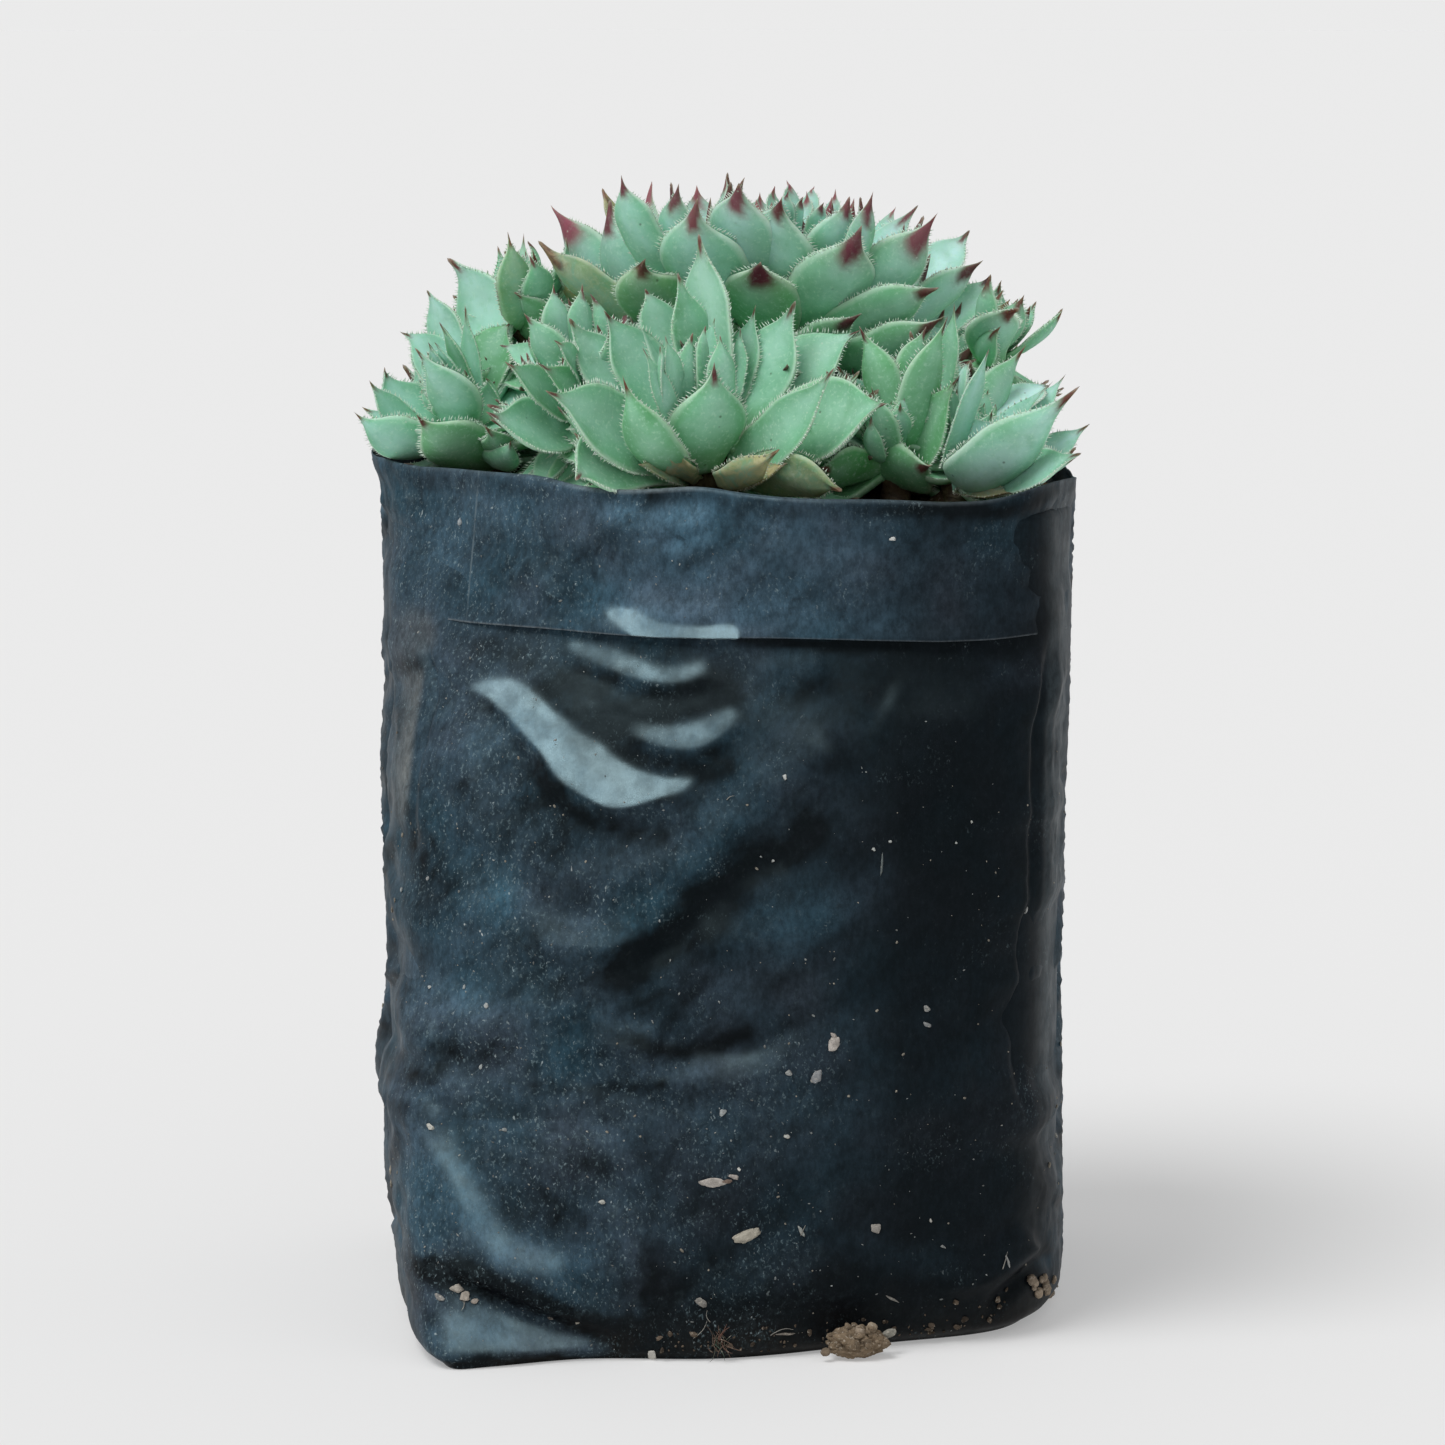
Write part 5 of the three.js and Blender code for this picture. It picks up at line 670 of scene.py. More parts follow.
    [320,263,1321,439,183,1406,384,200,1337,95,6,0,0,0], [306,297,1313,328,484,1344,293,402,1275,97,5,0,-1,0], [296,267,1331,237,213,1482,231,208,1381,94,-3,0,1,0], [327,277,1317,505,297,1360,429,261,1296,100,-9,0,-2,0],
    [296,293,1323,237,423,1409,235,365,1333,103,-1,0,-1,0], [312,263,1331,369,269,1480,338,229,1408,94,-5,0,-1,2], [320,293,1317,423,408,1379,389,358,1304,90,-9,0,-2,1], [294,279,1334,218,307,1479,223,275,1393,93,7,0,2,1],
    [325,271,1327,454,247,1419,409,231,1338,88,8,0,1,1], [306,298,1325,307,457,1394,289,393,1325,84,-1,0,2,1], [304,269,1339,305,249,1464,282,233,1397,73,-7,0,2,1], [326,289,1324,447,367,1383,404,329,1318,88,-2,0,-1,1],
    [297,289,1336,246,374,1479,226,334,1390,85,-1,0,1,1], [321,270,1337,400,246,1452,364,229,1386,78,-9,0,0,1], [316,299,1328,378,422,1413,343,384,1340,82,6,0,0,1], [302,277,1344,278,283,1504,257,247,1420,75,9,0,0,1],
    [329,282,1333,448,313,1425,408,286,1357,76,-1,0,-1,1], [305,298,1338,301,410,1451,268,374,1374,73,7,0,2,1], [313,273,1347,341,251,1471,320,239,1406,69,0,0,2,1], [326,296,1334,419,386,1411,387,357,1336,68,5,0,0,1],
    [302,288,1348,293,337,1483,268,312,1414,73,-6,0,-2,2], [327,278,1344,413,293,1467,395,256,1392,68,3,0,-1,2], [315,302,1340,346,398,1423,327,368,1362,62,-9,0,-2,2], [311,279,1353,334,295,1484,307,256,1425,61,7,0,1,2],
    [331,291,1342,411,339,1435,398,310,1368,62,-6,0,-2,2], [308,299,1349,308,368,1449,284,348,1389,61,-5,0,-1,2], [324,278,1353,372,269,1449,351,249,1397,58,-3,0,0,2], [325,301,1345,374,361,1418,360,346,1362,55,-5,0,0,2],
    [309,288,1358,313,316,1460,290,291,1413,50,6,0,1,2], [332,287,1352,389,309,1432,378,286,1382,53,2,0,0,2], [315,303,1353,341,347,1434,319,338,1389,46,3,0,-1,2], [317,283,1362,344,307,1447,325,282,1410,46,0,0,-1,2],
    [332,298,1352,375,334,1416,366,320,1373,42,2,0,-1,2]]),
]

# leaves that have begun to dry
DRYING = {("main", 1): 0.35, ("rear_left", 35): 0.9, ("rear_left", 51): 0.8, ("rear_left", 25): 0.7, ("nested", 36): 0.8, ("right_back", 2): 0.6, ("right_back", 22): 0.5, ("back_left", 27): 0.5}
WHORLS = ("outer_leaves", "middle_leaves", "heart", "withered_leaves")


def build_rosette(name, C, A, r0, leaves, seed):
    C, A = np.array(C, float), unit(A)
    heaps = {k: Heap() for k in range(4)}
    look = LOOK[name]
    for i, l in enumerate(leaves):
        rng = np.random.default_rng(seed * 1000 + i)
        B, T = np.array(l[0:3]) / 10.0, np.array(l[3:6]) / 10.0
        K = np.array(l[6:9]) / 10.0
        W, roll, dry, tone, k = l[9] / 10.0, math.radians(l[10]), l[11] / 10.0, l[12], l[13]
        dry = max(dry, DRYING.get((name, i), 0.0))
        h = float((B - C) @ A)
        low = float(np.clip(1 - h / 3.0, 0, 1)) * (1.0 if name in ("main", "nested", "right_back") else 0.55)
        if W < 5.5:
            low *= 0.3
        x, y = project(T)
        seen = T[1] < 30 and name[:4] != "rear"
        fine = W > 5.2
        young = name == "main" and W < 9.5 and T[1] > C[1] + 6 and T[0] < C[0] + 18
        V, q, t, c, m, spine, L = leaf_mesh(B, T, K, A, W, roll, (0.62, 0.80, 0.10, 0.10) if young else look, dry, tone, low, rng, fine)
        c = c * (1 + (np.array(ROSETTE_BRIGHTNESS[name]) - 1) * (1 - m[:, 1:2]) * (1 - 0.7 * m[:, :1]))
        heaps[k].add(V, q, t, c, m)
        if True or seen:
            hr = hairs(spine, L, W, dry, rng)
            if hr is not None:
                heaps[k].add(*hr)
    # the tight bud of newest leaves at the very middle
    rng = np.random.default_rng(seed * 1000 + 777)
    hb = max(float((np.array(l[0:3]) / 10.0 - C) @ A) for l in leaves)
    e1 = unit(np.cross(A, [0.1, 1, 0]))
    e2 = np.cross(A, e1)
    size = float(np.clip(np.mean([l[9] for l in leaves]) / 10.0 / 10.5, 0.7, 1.1))
    for j in range(9):
        az = j * math.radians(137.508) + seed
        rad = e1 * math.cos(az) + e2 * math.sin(az)
        f = j / 8
        Ln = size * (11.0 - 5.0 * f)
        el = math.radians(62 + 24 * f)
        B = C + A * (hb * 0.55 + 1.2 * f) + rad * (1.5 - 1.1 * f) * size
        T = B + (rad * math.cos(el) + A * math.sin(el)) * Ln
        K = B + (T - B) * 0.45 - unit(A - (A @ unit(T - B)) * unit(T - B)) * 0.16 * Ln
        V, q, t, c, m, spine, L = leaf_mesh(B, T, K, A, size * (5.0 - 2.6 * f), 0.0, look, 0.0, -1, 0.0, rng, False)
        heaps[2].add(V, q, t, c, m)
        hr = hairs(spine, L, size * 4.5, 0.0, rng)
        if hr is not None:
            heaps[2].add(*hr)
    for k, hp in heaps.items():
        node = name + "_" + WHORLS[k]
        if not hp.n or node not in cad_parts:
            continue
        o = hp.build(name + "_" + ("outer_whorl", "middle_whorl", "heart_whorl", "withered_whorl")[k], (LEAF, LEAF, HEART, WITHER)[k])
        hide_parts(node)
        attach(o, "root")


# ---------------------------------------------------------------- stems
def stem_material():
    n = Nodes("houseleek_stem")
    f = n.noise(420, 5, 0.65, 1.0)
    c = n.ramp(f, (0.30, (0.035, 0.020, 0.011)), (0.52, (0.10, 0.068, 0.036)), (0.72, (0.19, 0.17, 0.09)))
    c = n.mix(n.math("MULTIPLY", n.rng(n.noise(90, 2), 0.45, 0.65), 0.5), c, (0.07, 0.12, 0.04))
    return n.set(color=c, rough=0.82, spec=0.25, normal=n.bump(f, 0.7, 0.0006))


STEM = stem_material()


def soil_top(x, y):
    z = 120.6 + 0.0 * np.asarray(x, float)
    for cx, cy, h, s in ((6, 14, 5, 22), (-29, 15, 5, 9), (38, 14, 3, 9), (-18, -6, 2, 8)):
        z = z + h * np.exp(-((x - cx) ** 2 + (y - cy) ** 2) / (2 * s * s))
    return z + 0.7 * np.sin(np.asarray(x) * 0.31 + 1.3) * np.cos(np.asarray(y) * 0.27)


def build_stem(name, C, A, r0, has_wither, seed):
    C, A = np.array(C, float), unit(A)
    rng = np.random.default_rng(500 + seed)
    top = C + A * 1.8
    down = unit(-0.45 * A + np.array([0, 0, -0.55]))
    foot_len = max(9.0, (C[2] - (float(soil_top(C[0], C[1])) - 8)) / -down[2])
    foot = C + down * foot_len
    m, nar = 36, 24
    V = []
    for i in range(m):
        f = i / (m - 1)
        P = foot * (1 - f) ** 2 + 2 * (C - A * 2.2) * f * (1 - f) + top * f * f
        r = np.clip(r0, 2.0, 3.4) * (0.86 + 0.18 * f)
        # rings of old leaf scars
        r = r + 0.28 * abs(math.sin(f * foot_len * 1.05 + seed)) ** 2
        a = 2 * math.pi * np.arange(nar) / nar
        ring = r * (1 + 0.09 * noise3(np.cos(a) * 1.6 + seed, np.sin(a) * 1.6, f * 9.0, 5))
        e1 = unit(np.cross(A, [0.1, 1, 0]))
        e2 = np.cross(A, e1)
        V.append(P[None] + np.outer(ring * np.cos(a), e1) + np.outer(ring * np.sin(a), e2))
    V = np.concatenate(V + [foot[None], top[None]])
    i = np.arange(m - 1)[:, None] * nar
    j = np.arange(nar)[None]
    k = (j + 1) % nar
    q = np.stack([i + j, i + k, i + k + nar, i + j + nar], -1).reshape(-1, 4)
    t = np.array([(m * nar, (w + 1) % nar, w) for w in range(nar)] + [((m - 1) * nar + w, (m - 1) * nar + (w + 1) % nar, m * nar + 1) for w in range(nar)])
    o = make_mesh(name + "_stem_body", V, [q, t], None, True, (STEM,))
    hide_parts(name + "_stem")
    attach(o, "root")


for _i, (_n, _c, _a, _r, _l) in enumerate(ROSETTES):
    build_rosette(_n, _c, _a, _r, _l, _i + 1)
    build_stem(_n, _c, _a, _r, _n == "front", _i + 1)

# ---------------------------------------------------------------- film bag
RIM_Z, CUFF_Z, RIM_FALL = 125.5, 105.0, 0.02
LEVELS = [
    (0.0, [(-39, -50.5), (-20, -46.5), (1, -46), (22, -38.5), (42, -29.5), (48.5, -14), (50, 2), (47.5, 18), (40, 34), (20, 38.5), (0, 39.5), (-20, 38.5), (-37, 33), (-45.5, 15), (-47, -5), (-44.5, -28)]),
    (3.0, [(-41, -49.5), (-21, -46.5), (1, -46), (22.5, -39.8), (43.5, -31), (50.3, -14.5), (51.3, 2), (49.3, 18), (42.3, 35), (21, 39.8), (0, 40.8), (-21, 39.8), (-39.5, 34.5), (-48, 15.5), (-49.2, -3), (-46.8, -26)]),
    (14.0, [(-43.5, -45.5), (-22, -46), (0, -46), (23, -42), (44.5, -34), (51.4, -16), (52.3, 2), (50.8, 18), (44.5, 36), (22, 41), (0, 42), (-22, 41), (-42.5, 36), (-50.3, 16), (-51.2, 0), (-49, -22)]),
    (50.0, [(-45, -36), (-26, -42), (0, -44.5), (24, -44), (45, -36), (51, -20), (52, 0), (51, 18), (45, 36), (22, 41.5), (0, 42.5), (-22, 41.5), (-43, 36), (-50.8, 18), (-52.3, 0), (-50.5, -20)]),
    (85.0, [(-44, -26), (-27, -37), (0, -43), (24, -44.5), (45, -38), (51, -22), (52.2, 0), (51, 18), (45, 36), (22, 42), (0, 43.2), (-22, 42), (-43, 36.5), (-50.2, 19), (-51.8, 2), (-49.5, -12)]),
    (105.0, [(-42, -18), (-27, -29.5), (-6, -39), (20, -41.8), (45.5, -37), (51.2, -22), (52.2, 0), (51.2, 18), (45.3, 36.3), (22, 42.2), (0, 43.4), (-22, 42.2), (-43, 36.7), (-50.3, 20), (-51.3, 4), (-49, -8)]),
    (125.5, [(-40, -11), (-26, -26), (-5, -39), (20, -43), (44, -40), (51.5, -24), (53, -4), (52, 16), (46, 36), (22, 42.5), (0, 43.5), (-22, 42), (-43, 37), (-50.5, 24), (-52.5, 9), (-49.5, 0)]),
]


def closed_spline(P, u):
    """closed centripetal Catmull-Rom through P at parameters u in 0..len(P)"""
    P = np.asarray(P, float)
    n = len(P)
    i = np.floor(u).astype(int) % n
    f = (u - np.floor(u))[:, None]
    p0, p1, p2, p3 = P[(i - 1) % n], P[i], P[(i + 1) % n], P[(i + 2) % n]
    d1 = np.maximum(np.linalg.norm(p1 - p0, axis=1) ** 0.5, 1e-3)[:, None]
    d2 = np.maximum(np.linalg.norm(p2 - p1, axis=1) ** 0.5, 1e-3)[:, None]
    d3 = np.maximum(np.linalg.norm(p3 - p2, axis=1) ** 0.5, 1e-3)[:, None]
    t1 = ((p1 - p0) / d1 - (p2 - p0) / (d1 + d2) + (p2 - p1) / d2) * d2
    t2 = ((p2 - p1) / d2 - (p3 - p1) / (d2 + d3) + (p3 - p2) / d3) * d2
    a = 2 * p1 - 2 * p2 + t1 + t2
    b = -3 * p1 + 3 * p2 - 2 * t1 - t2
    return ((a * f + b) * f + t1) * f + p1


# columns: dense across the front, wider round the back
def columns(n_front, n_rest):
    ref = LEVELS[3][1]
    u = np.linspace(0, 16, 3201)[:-1]
    p = closed_spline(ref, u)
    step = np.linalg.norm(np.diff(np.vstack([p, p[:1]]), axis=0), axis=1)
    s = np.concatenate([[0], np.cumsum(step)[:-1]])
    total = step.sum()
    front = (u < 4.9) | (u > 15.2)
    w = np.where(front, n_front / s[front].size, n_rest / s[~front].size)
    # soften the change of density
    k = 161
    w = np.convolve(np.concatenate([w[-k:], w, w[:k]]), np.ones(k) / k, "same")[k:-k]
    c = np.concatenate([[0], np.cumsum(w)])
    n = int(round(c[-1]))
    c = c * n / c[-1]
    return np.interp(np.arange(n), c, np.concatenate([u, [16.0]]))


U = columns(236, 124)
NC = len(U)
LV_Z = np.array([z for z, _ in LEVELS])
LV_P = np.stack([closed_spline(p, U) for _, p in LEVELS])       # level, column, xy


def plan(z):
    """outline points at height z, smooth between the levels"""
    z = float(np.clip(z, LV_Z[0], LV_Z[-1]))
    i = int(np.clip(np.searchsorted(LV_Z, z, side="right") - 1, 0, len(LV_Z) - 2))
    h = LV_Z[i + 1] - LV_Z[i]
    f = (z - LV_Z[i]) / h

    def slope(j):
        if j == 0:
            return (LV_P[1] - LV_P[0]) / (LV_Z[1] - LV_Z[0])
        if j == len(LV_Z) - 1:
            return (LV_P[-1] - LV_P[-2]) / (LV_Z[-1] - LV_Z[-2])
        a = (LV_P[j] - LV_P[j - 1]) / (LV_Z[j] - LV_Z[j - 1])
        b = (LV_P[j + 1] - LV_P[j]) / (LV_Z[j + 1] - LV_Z[j])
        return np.where(a * b > 0, 2 * a * b / (a + b + 1e-12), 0)
    m0, m1 = slope(i) * h, slope(i + 1) * h
    return (2 * f ** 3 - 3 * f * f + 1) * LV_P[i] + (f ** 3 - 2 * f * f + f) * m0 + (-2 * f ** 3 + 3 * f * f) * LV_P[i + 1] + (f ** 3 - f * f) * m1


def normals2(p):
    e = np.roll(p, -1, 0) - np.roll(p, 1, 0)
    e /= np.linalg.norm(e, axis=1)[:, None] + 1e-9
    return np.stack([e[:, 1], -e[:, 0]], 1)      # outward for a counter-clockwise loop


# Folds of the film. Each is a path in the reference frame's pixels with the height
# of the fold in mm and how far it reaches on its left and right side, in pixels.
def path_dist(px, py, pts):
    """signed distance to a polyline (positive on the right of its direction) and position 0..1 along it"""
    pts = np.asarray(pts, float)
    seg = np.linalg.norm(np.diff(pts, axis=0), axis=1)
    acc = np.concatenate([[0], np.cumsum(seg)])
    best = np.full(px.shape, 1e9)
    sign = np.zeros(px.shape)
    along = np.zeros(px.shape)
    for i in range(len(pts) - 1):
        a, b = pts[i], pts[i + 1]
        d = (b - a) / seg[i]
        rx, ry = px - a[0], py - a[1]
        t = np.clip(rx * d[0] + ry * d[1], 0, seg[i])
        ox, oy = rx - d[0] * t, ry - d[1] * t
        r = np.hypot(ox, oy)
        m = r < best
        best = np.where(m, r, best)
        sign = np.where(m, np.where(d[0] * oy - d[1] * ox >= 0, 1.0, -1.0), sign)
        along = np.where(m, (acc[i] + t) / acc[-1], along)
    return best * sign, along


def curve_pts(pts, n=28):
    """smooth open curve through the points"""
    P = np.asarray(pts, float)
    Q = np.vstack([2 * P[0] - P[1], P, 2 * P[-1] - P[-2]])
    out = []
    for i in range(len(P) - 1):
        for f in np.linspace(0, 1, max(2, n // (len(P) - 1)), endpoint=False):
            p0, p1, p2, p3 = Q[i], Q[i + 1], Q[i + 2], Q[i + 3]
            out.append(0.5 * ((2 * p1) + (p2 - p0) * f + (2 * p0 - 5 * p1 + 4 * p2 - p3) * f * f + (3 * p1 - p0 - 3 * p2 + p3) * f ** 3))
    return np.array(out + [P[-1]])


def fold(px, py, pts, h, left, right, ends=0.18, power=1.0, soft=1.0):
    """a ridge (h > 0) or valley (h < 0) along a path: falls off over left px on its left side and right px on its right"""
    lo = np.min(pts, 0) - 3 * max(left, right)
    hi = np.max(pts, 0) + 3 * max(left, right)
    near = (px > lo[0]) & (px < hi[0]) & (py > lo[1]) & (py < hi[1])
    out = np.zeros(px.shape)
    if not near.any():
        return out
    d, a = path_dist(px[near], py[near], curve_pts(pts))
    w = np.where(d > 0, right, left)
    x = np.abs(d) / w
    prof = np.exp(-(x ** (1.35 * power)) * 1.1) if soft else np.clip(1 - x, 0, 1)
    e = smooth(np.minimum(a, 1 - a) / ends)
    out[near] = h * prof * e
    return out


def varying(v, a):
    """a constant, or values spaced evenly along a path"""
    return v if np.isscalar(v) else np.interp(a, np.linspace(0, 1, len(v)), v)


def facet(px, py, pts, h, above, below, ends=0.12, sharp=0.10, shape="facet"):
    """a crest along a path with a flat slope above it and a short drop below it, like creased film"""
    c = curve_pts(pts, 36)
    pad = 2.4 * max(np.max(above), np.max(below))
    lo, hi = c.min(0) - pad, c.max(0) + pad
    near = (px > lo[0]) & (px < hi[0]) & (py > lo[1]) & (py < hi[1])
    out = np.zeros(px.shape)
    if not near.any():
        return out
    d, a = path_dist(px[near], py[near], c)
    w = np.where(d > 0, varying(below, a), varying(above, a))
    x = np.abs(d) / w
    if shape == "facet":
        v = 1 - x
        k = sharp
        prof = 0.5 * (v + np.sqrt(v * v + k * k)) - 0.5 * (1 - 0 + math.sqrt(1 + k * k)) * 0
        prof = np.where(v > -3, prof - 0.25 * k * k / np.maximum(np.abs(v), k), 0)
        prof = np.clip(prof, 0, 1.05) * np.clip((3 - x), 0, 1)
    else:
        prof = np.exp(-(x ** 1.6) * 1.2)
    e = smooth(np.minimum(a, 1 - a) / ends)
    out[near] = varying(h, a) * prof * e
    return out


# the front's creases, placed where they are seen
FRONT_FOLDS = [
    # path, height, reach above, reach below, shape
    ([(471, 690), (489, 699), (507, 714), (524, 732), (542, 752), (557, 776), (577, 790), (603, 805), (624, 807), (653, 798), (680, 787)], [0.3, 0.7, 1.0, 1.25, 1.6, 1.9, 1.9, 1.6, 1.4, .8, .3], [12, 20, 27, 33, 40, 50, 48, 42, 36, 22, 12], [9, 10, 12, 16, 18, 22, 24, 22, 22, 22, 20], "facet"),
    ([(556, 650), (585, 657), (612, 668), (641, 679), (668, 682), (692, 680), (716, 668)], [0.3, 0.6, 0.8, 0.9, 0.8, .6, .3], [10, 14, 18, 20, 17, 16, 12], [12, 14, 14, 14, 14, 14, 14], "facet"),
    ([(626, 730), (648, 742), (676, 750), (702, 748), (724, 733), (744, 712)], [0.3, .7, 1.0, 1.0, .8, .3], [10, 18, 24, 26, 22, 14], [12, 12, 12, 14, 14, 16], "facet"),
    ([(752, 668), (786, 668), (826, 660)], 0.6, 18, 24, "soft"),
    ([(690, 850), (735, 822), (785, 782), (850, 742)], 1.0, 34, 30, "soft"),
    ([(690, 958), (740, 942), (800, 925), (862, 918)], 0.9, 30, 26, "soft"),
    ([(560, 878), (620, 876), (690, 862), (740, 850)], 0.6, 22, 26, "soft"),
    ([(512, 934), (560, 946), (610, 948), (655, 928), (700, 896)], [.6, 1.3, 1.5, 1.3, .7], 34, 24, "facet"),
    ([(636, 968), (680, 930), (742, 878), (800, 850)], -1.0, 26, 22, "soft"),
    ([(440, 1018), (490, 1024), (545, 1016), (590, 1000)], 1.0, 44, 26, "soft"),
    ([(588, 1042), (626, 1050), (662, 1052), (690, 1040)], [.6, 1.3, 1.3, .6], 30, 20, "facet"),
    ([(650, 1034), (700, 1050), (752, 1046), (810, 1020)], -0.9, 16, 18, "soft"),
    ([(632, 1086), (690, 1082), (745, 1080), (800, 1062)], 0.9, 24, 20, "facet"),
    ([(560, 1074), (610, 1088), (660, 1098)], -0.7, 14, 14, "soft"),
    ([(432, 1122), (448, 1160), (468, 1204), (496, 1246), (540, 1272), (592, 1276)], [.5, 1.6, 2.1, 2.2, 1.9, .8], [26, 34, 40, 46, 44, 34], [14, 18, 26, 34, 40, 34], "soft"),
    ([(428, 1262), (474, 1276), (530, 1298), (596, 1322), (650, 1330)], [.5, 1.3, 1.6, 1.3, .4], [40, 40, 36, 30, 26], [10, 12, 14, 14, 14], "facet"),
    ([(436, 1276), (480, 1292), (530, 1318), (600, 1340), (668, 1350)], [-.7, -1.6, -2.0, -1.5, -.5], [10, 12, 14, 13, 12], [16, 26, 34, 22, 16], "facet"),
    ([(448, 1352), (500, 1354), (560, 1354), (604, 1350)], [.9, 1.6, 1.5, .6], [30, 36, 30, 20], [7, 7, 7, 7], "facet"),
    ([(700, 1310), (770, 1300), (840, 1290), (900, 1290)], 0.8, 40, 24, "soft"),
    ([(940, 1286), (985, 1282), (1020, 1262), (1050, 1240)], 1.1, 30, 16, "facet"),
    ([(985, 1316), (1015, 1290), (1040, 1268), (1062, 1248)], -1.4, 12, 10, "facet"),
    ([(860, 1120), (920, 1090), (990, 1075)], 0.6, 40, 36, "soft"),
    ([(760, 1180), (840, 1160), (900, 1150)], 0.5, 34, 30, "soft"),
    ([(880, 700), (930, 720), (1000, 716)], 0.5, 30, 30, "soft"),
    ([(900, 810), (960, 800), (1030, 770)], -0.6, 34, 34, "soft"),
    ([(840, 1010), (900, 990), (1000, 985)], -0.5, 40, 34, "soft"),
    ([(380, 1086), (396, 1080), (420, 1092), (450, 1112)], -0.8, 12, 12, "soft"),
    ([(373, 1052), (392, 1046), (430, 1040)], 0.9, 20, 12, "soft"),
    ([(434, 668), (446, 684), (462, 702)], -0.35, 4, 5, "facet"),
    ([(452, 730), (470, 790), (470, 850)], 0.5, 20, 24, "soft"),
    ([(430, 900), (470, 905), (520, 895)], 0.5, 24, 20, "soft"),
    ([(500, 1150), (560, 1170), (640, 1160)], 0.5, 30, 24, "soft"),
    ([(600, 1230), (660, 1240), (720, 1225)], 0.5, 30, 24, "soft"),
]
CUFF_FOLDS = [
    ([(600, 528), (650, 532), (694, 526), (712, 506)], [.4, .9, 1.0, .4], [24, 30, 30, 20], [10, 12, 12, 12], "facet"),
    ([(560, 545), (600, 540), (640, 556), (700, 560)], 0.4, 18, 14, "soft"),
    ([(520, 560), (540, 586), (560, 604)], 0.5, 16, 14, "soft"),
    ([(430, 520), (440, 560), (446, 600)], -0.5, 14, 14, "soft"),
    ([(620, 610), (680, 618), (735, 620)], 0.7, 20, 14, "soft"),
    ([(760, 560), (840, 575), (930, 560)], 0.5, 30, 24, "soft"),
    ([(880, 600), (960, 590), (1030, 570)], -0.5, 20, 24, "soft"),
    ([(800, 520), (850, 530), (910, 522)], 0.5, 16, 16, "soft"),
]
# the gusset creases as vertical valleys
GUSSET = [
    ([(431, 600), (430, 640), (430, 673), (424, 705), (418, 735), (412, 790), (407, 860)], [-.4, -1.1, -1.2, -1.0, -.9, -.6, -.2], 6, 9, "facet"),
    ([(1046, 620), (1045, 694), (1043, 780), (1042, 860), (1038, 984), (1034, 1030), (1032, 1080), (1034, 1140)], [-.8, -1.1, -1.0, -.9, -.9, -.8, -.6, -.2], 9, 6, "facet"),
]


# flat facets of creased film that face the light, as outlines in the reference frame's pixels
FACETS = [
    # outline, softness, shine, on the cuff
    ([(471, 687), (484, 681), (503, 679), (519, 682), (537, 696), (556, 714), (577, 731), (598, 743), (617, 757), (644, 772), (664, 778), (690, 780), (684, 789), (657, 799), (628, 807), (603, 806), (577, 791), (558, 776), (543, 753), (524, 732), (506, 714), (488, 699)], 7.0, 1.0, False),
    ([(572, 645), (588, 648), (614, 653), (642, 664), (668, 670), (688, 666), (702, 664), (702, 669), (690, 676), (668, 679), (642, 675), (612, 664), (584, 653)], 9.0, 0.72, False),
    ([(640, 731), (656, 732), (682, 730), (708, 723), (730, 715), (730, 719), (716, 732), (698, 743), (676, 745), (654, 738)], 10.0, 0.60, False),
    ([(606, 612), (622, 607), (640, 613), (663, 623), (700, 626), (737, 627), (738, 652), (700, 652), (650, 648), (626, 634)], 7.0, 0.80, True),
    ([(443, 1314), (478, 1309), (519, 1321), (560, 1335), (586, 1344), (560, 1350), (500, 1352), (456, 1350), (446, 1336)], 11.0, 0.40, False),
    ([(424, 1134), (436, 1136), (460, 1164), (482, 1200), (504, 1232), (530, 1250), (560, 1258), (560, 1268), (530, 1268), (500, 1258), (480, 1240), (464, 1212), (444, 1176)], 14.0, 0.20, False),
]
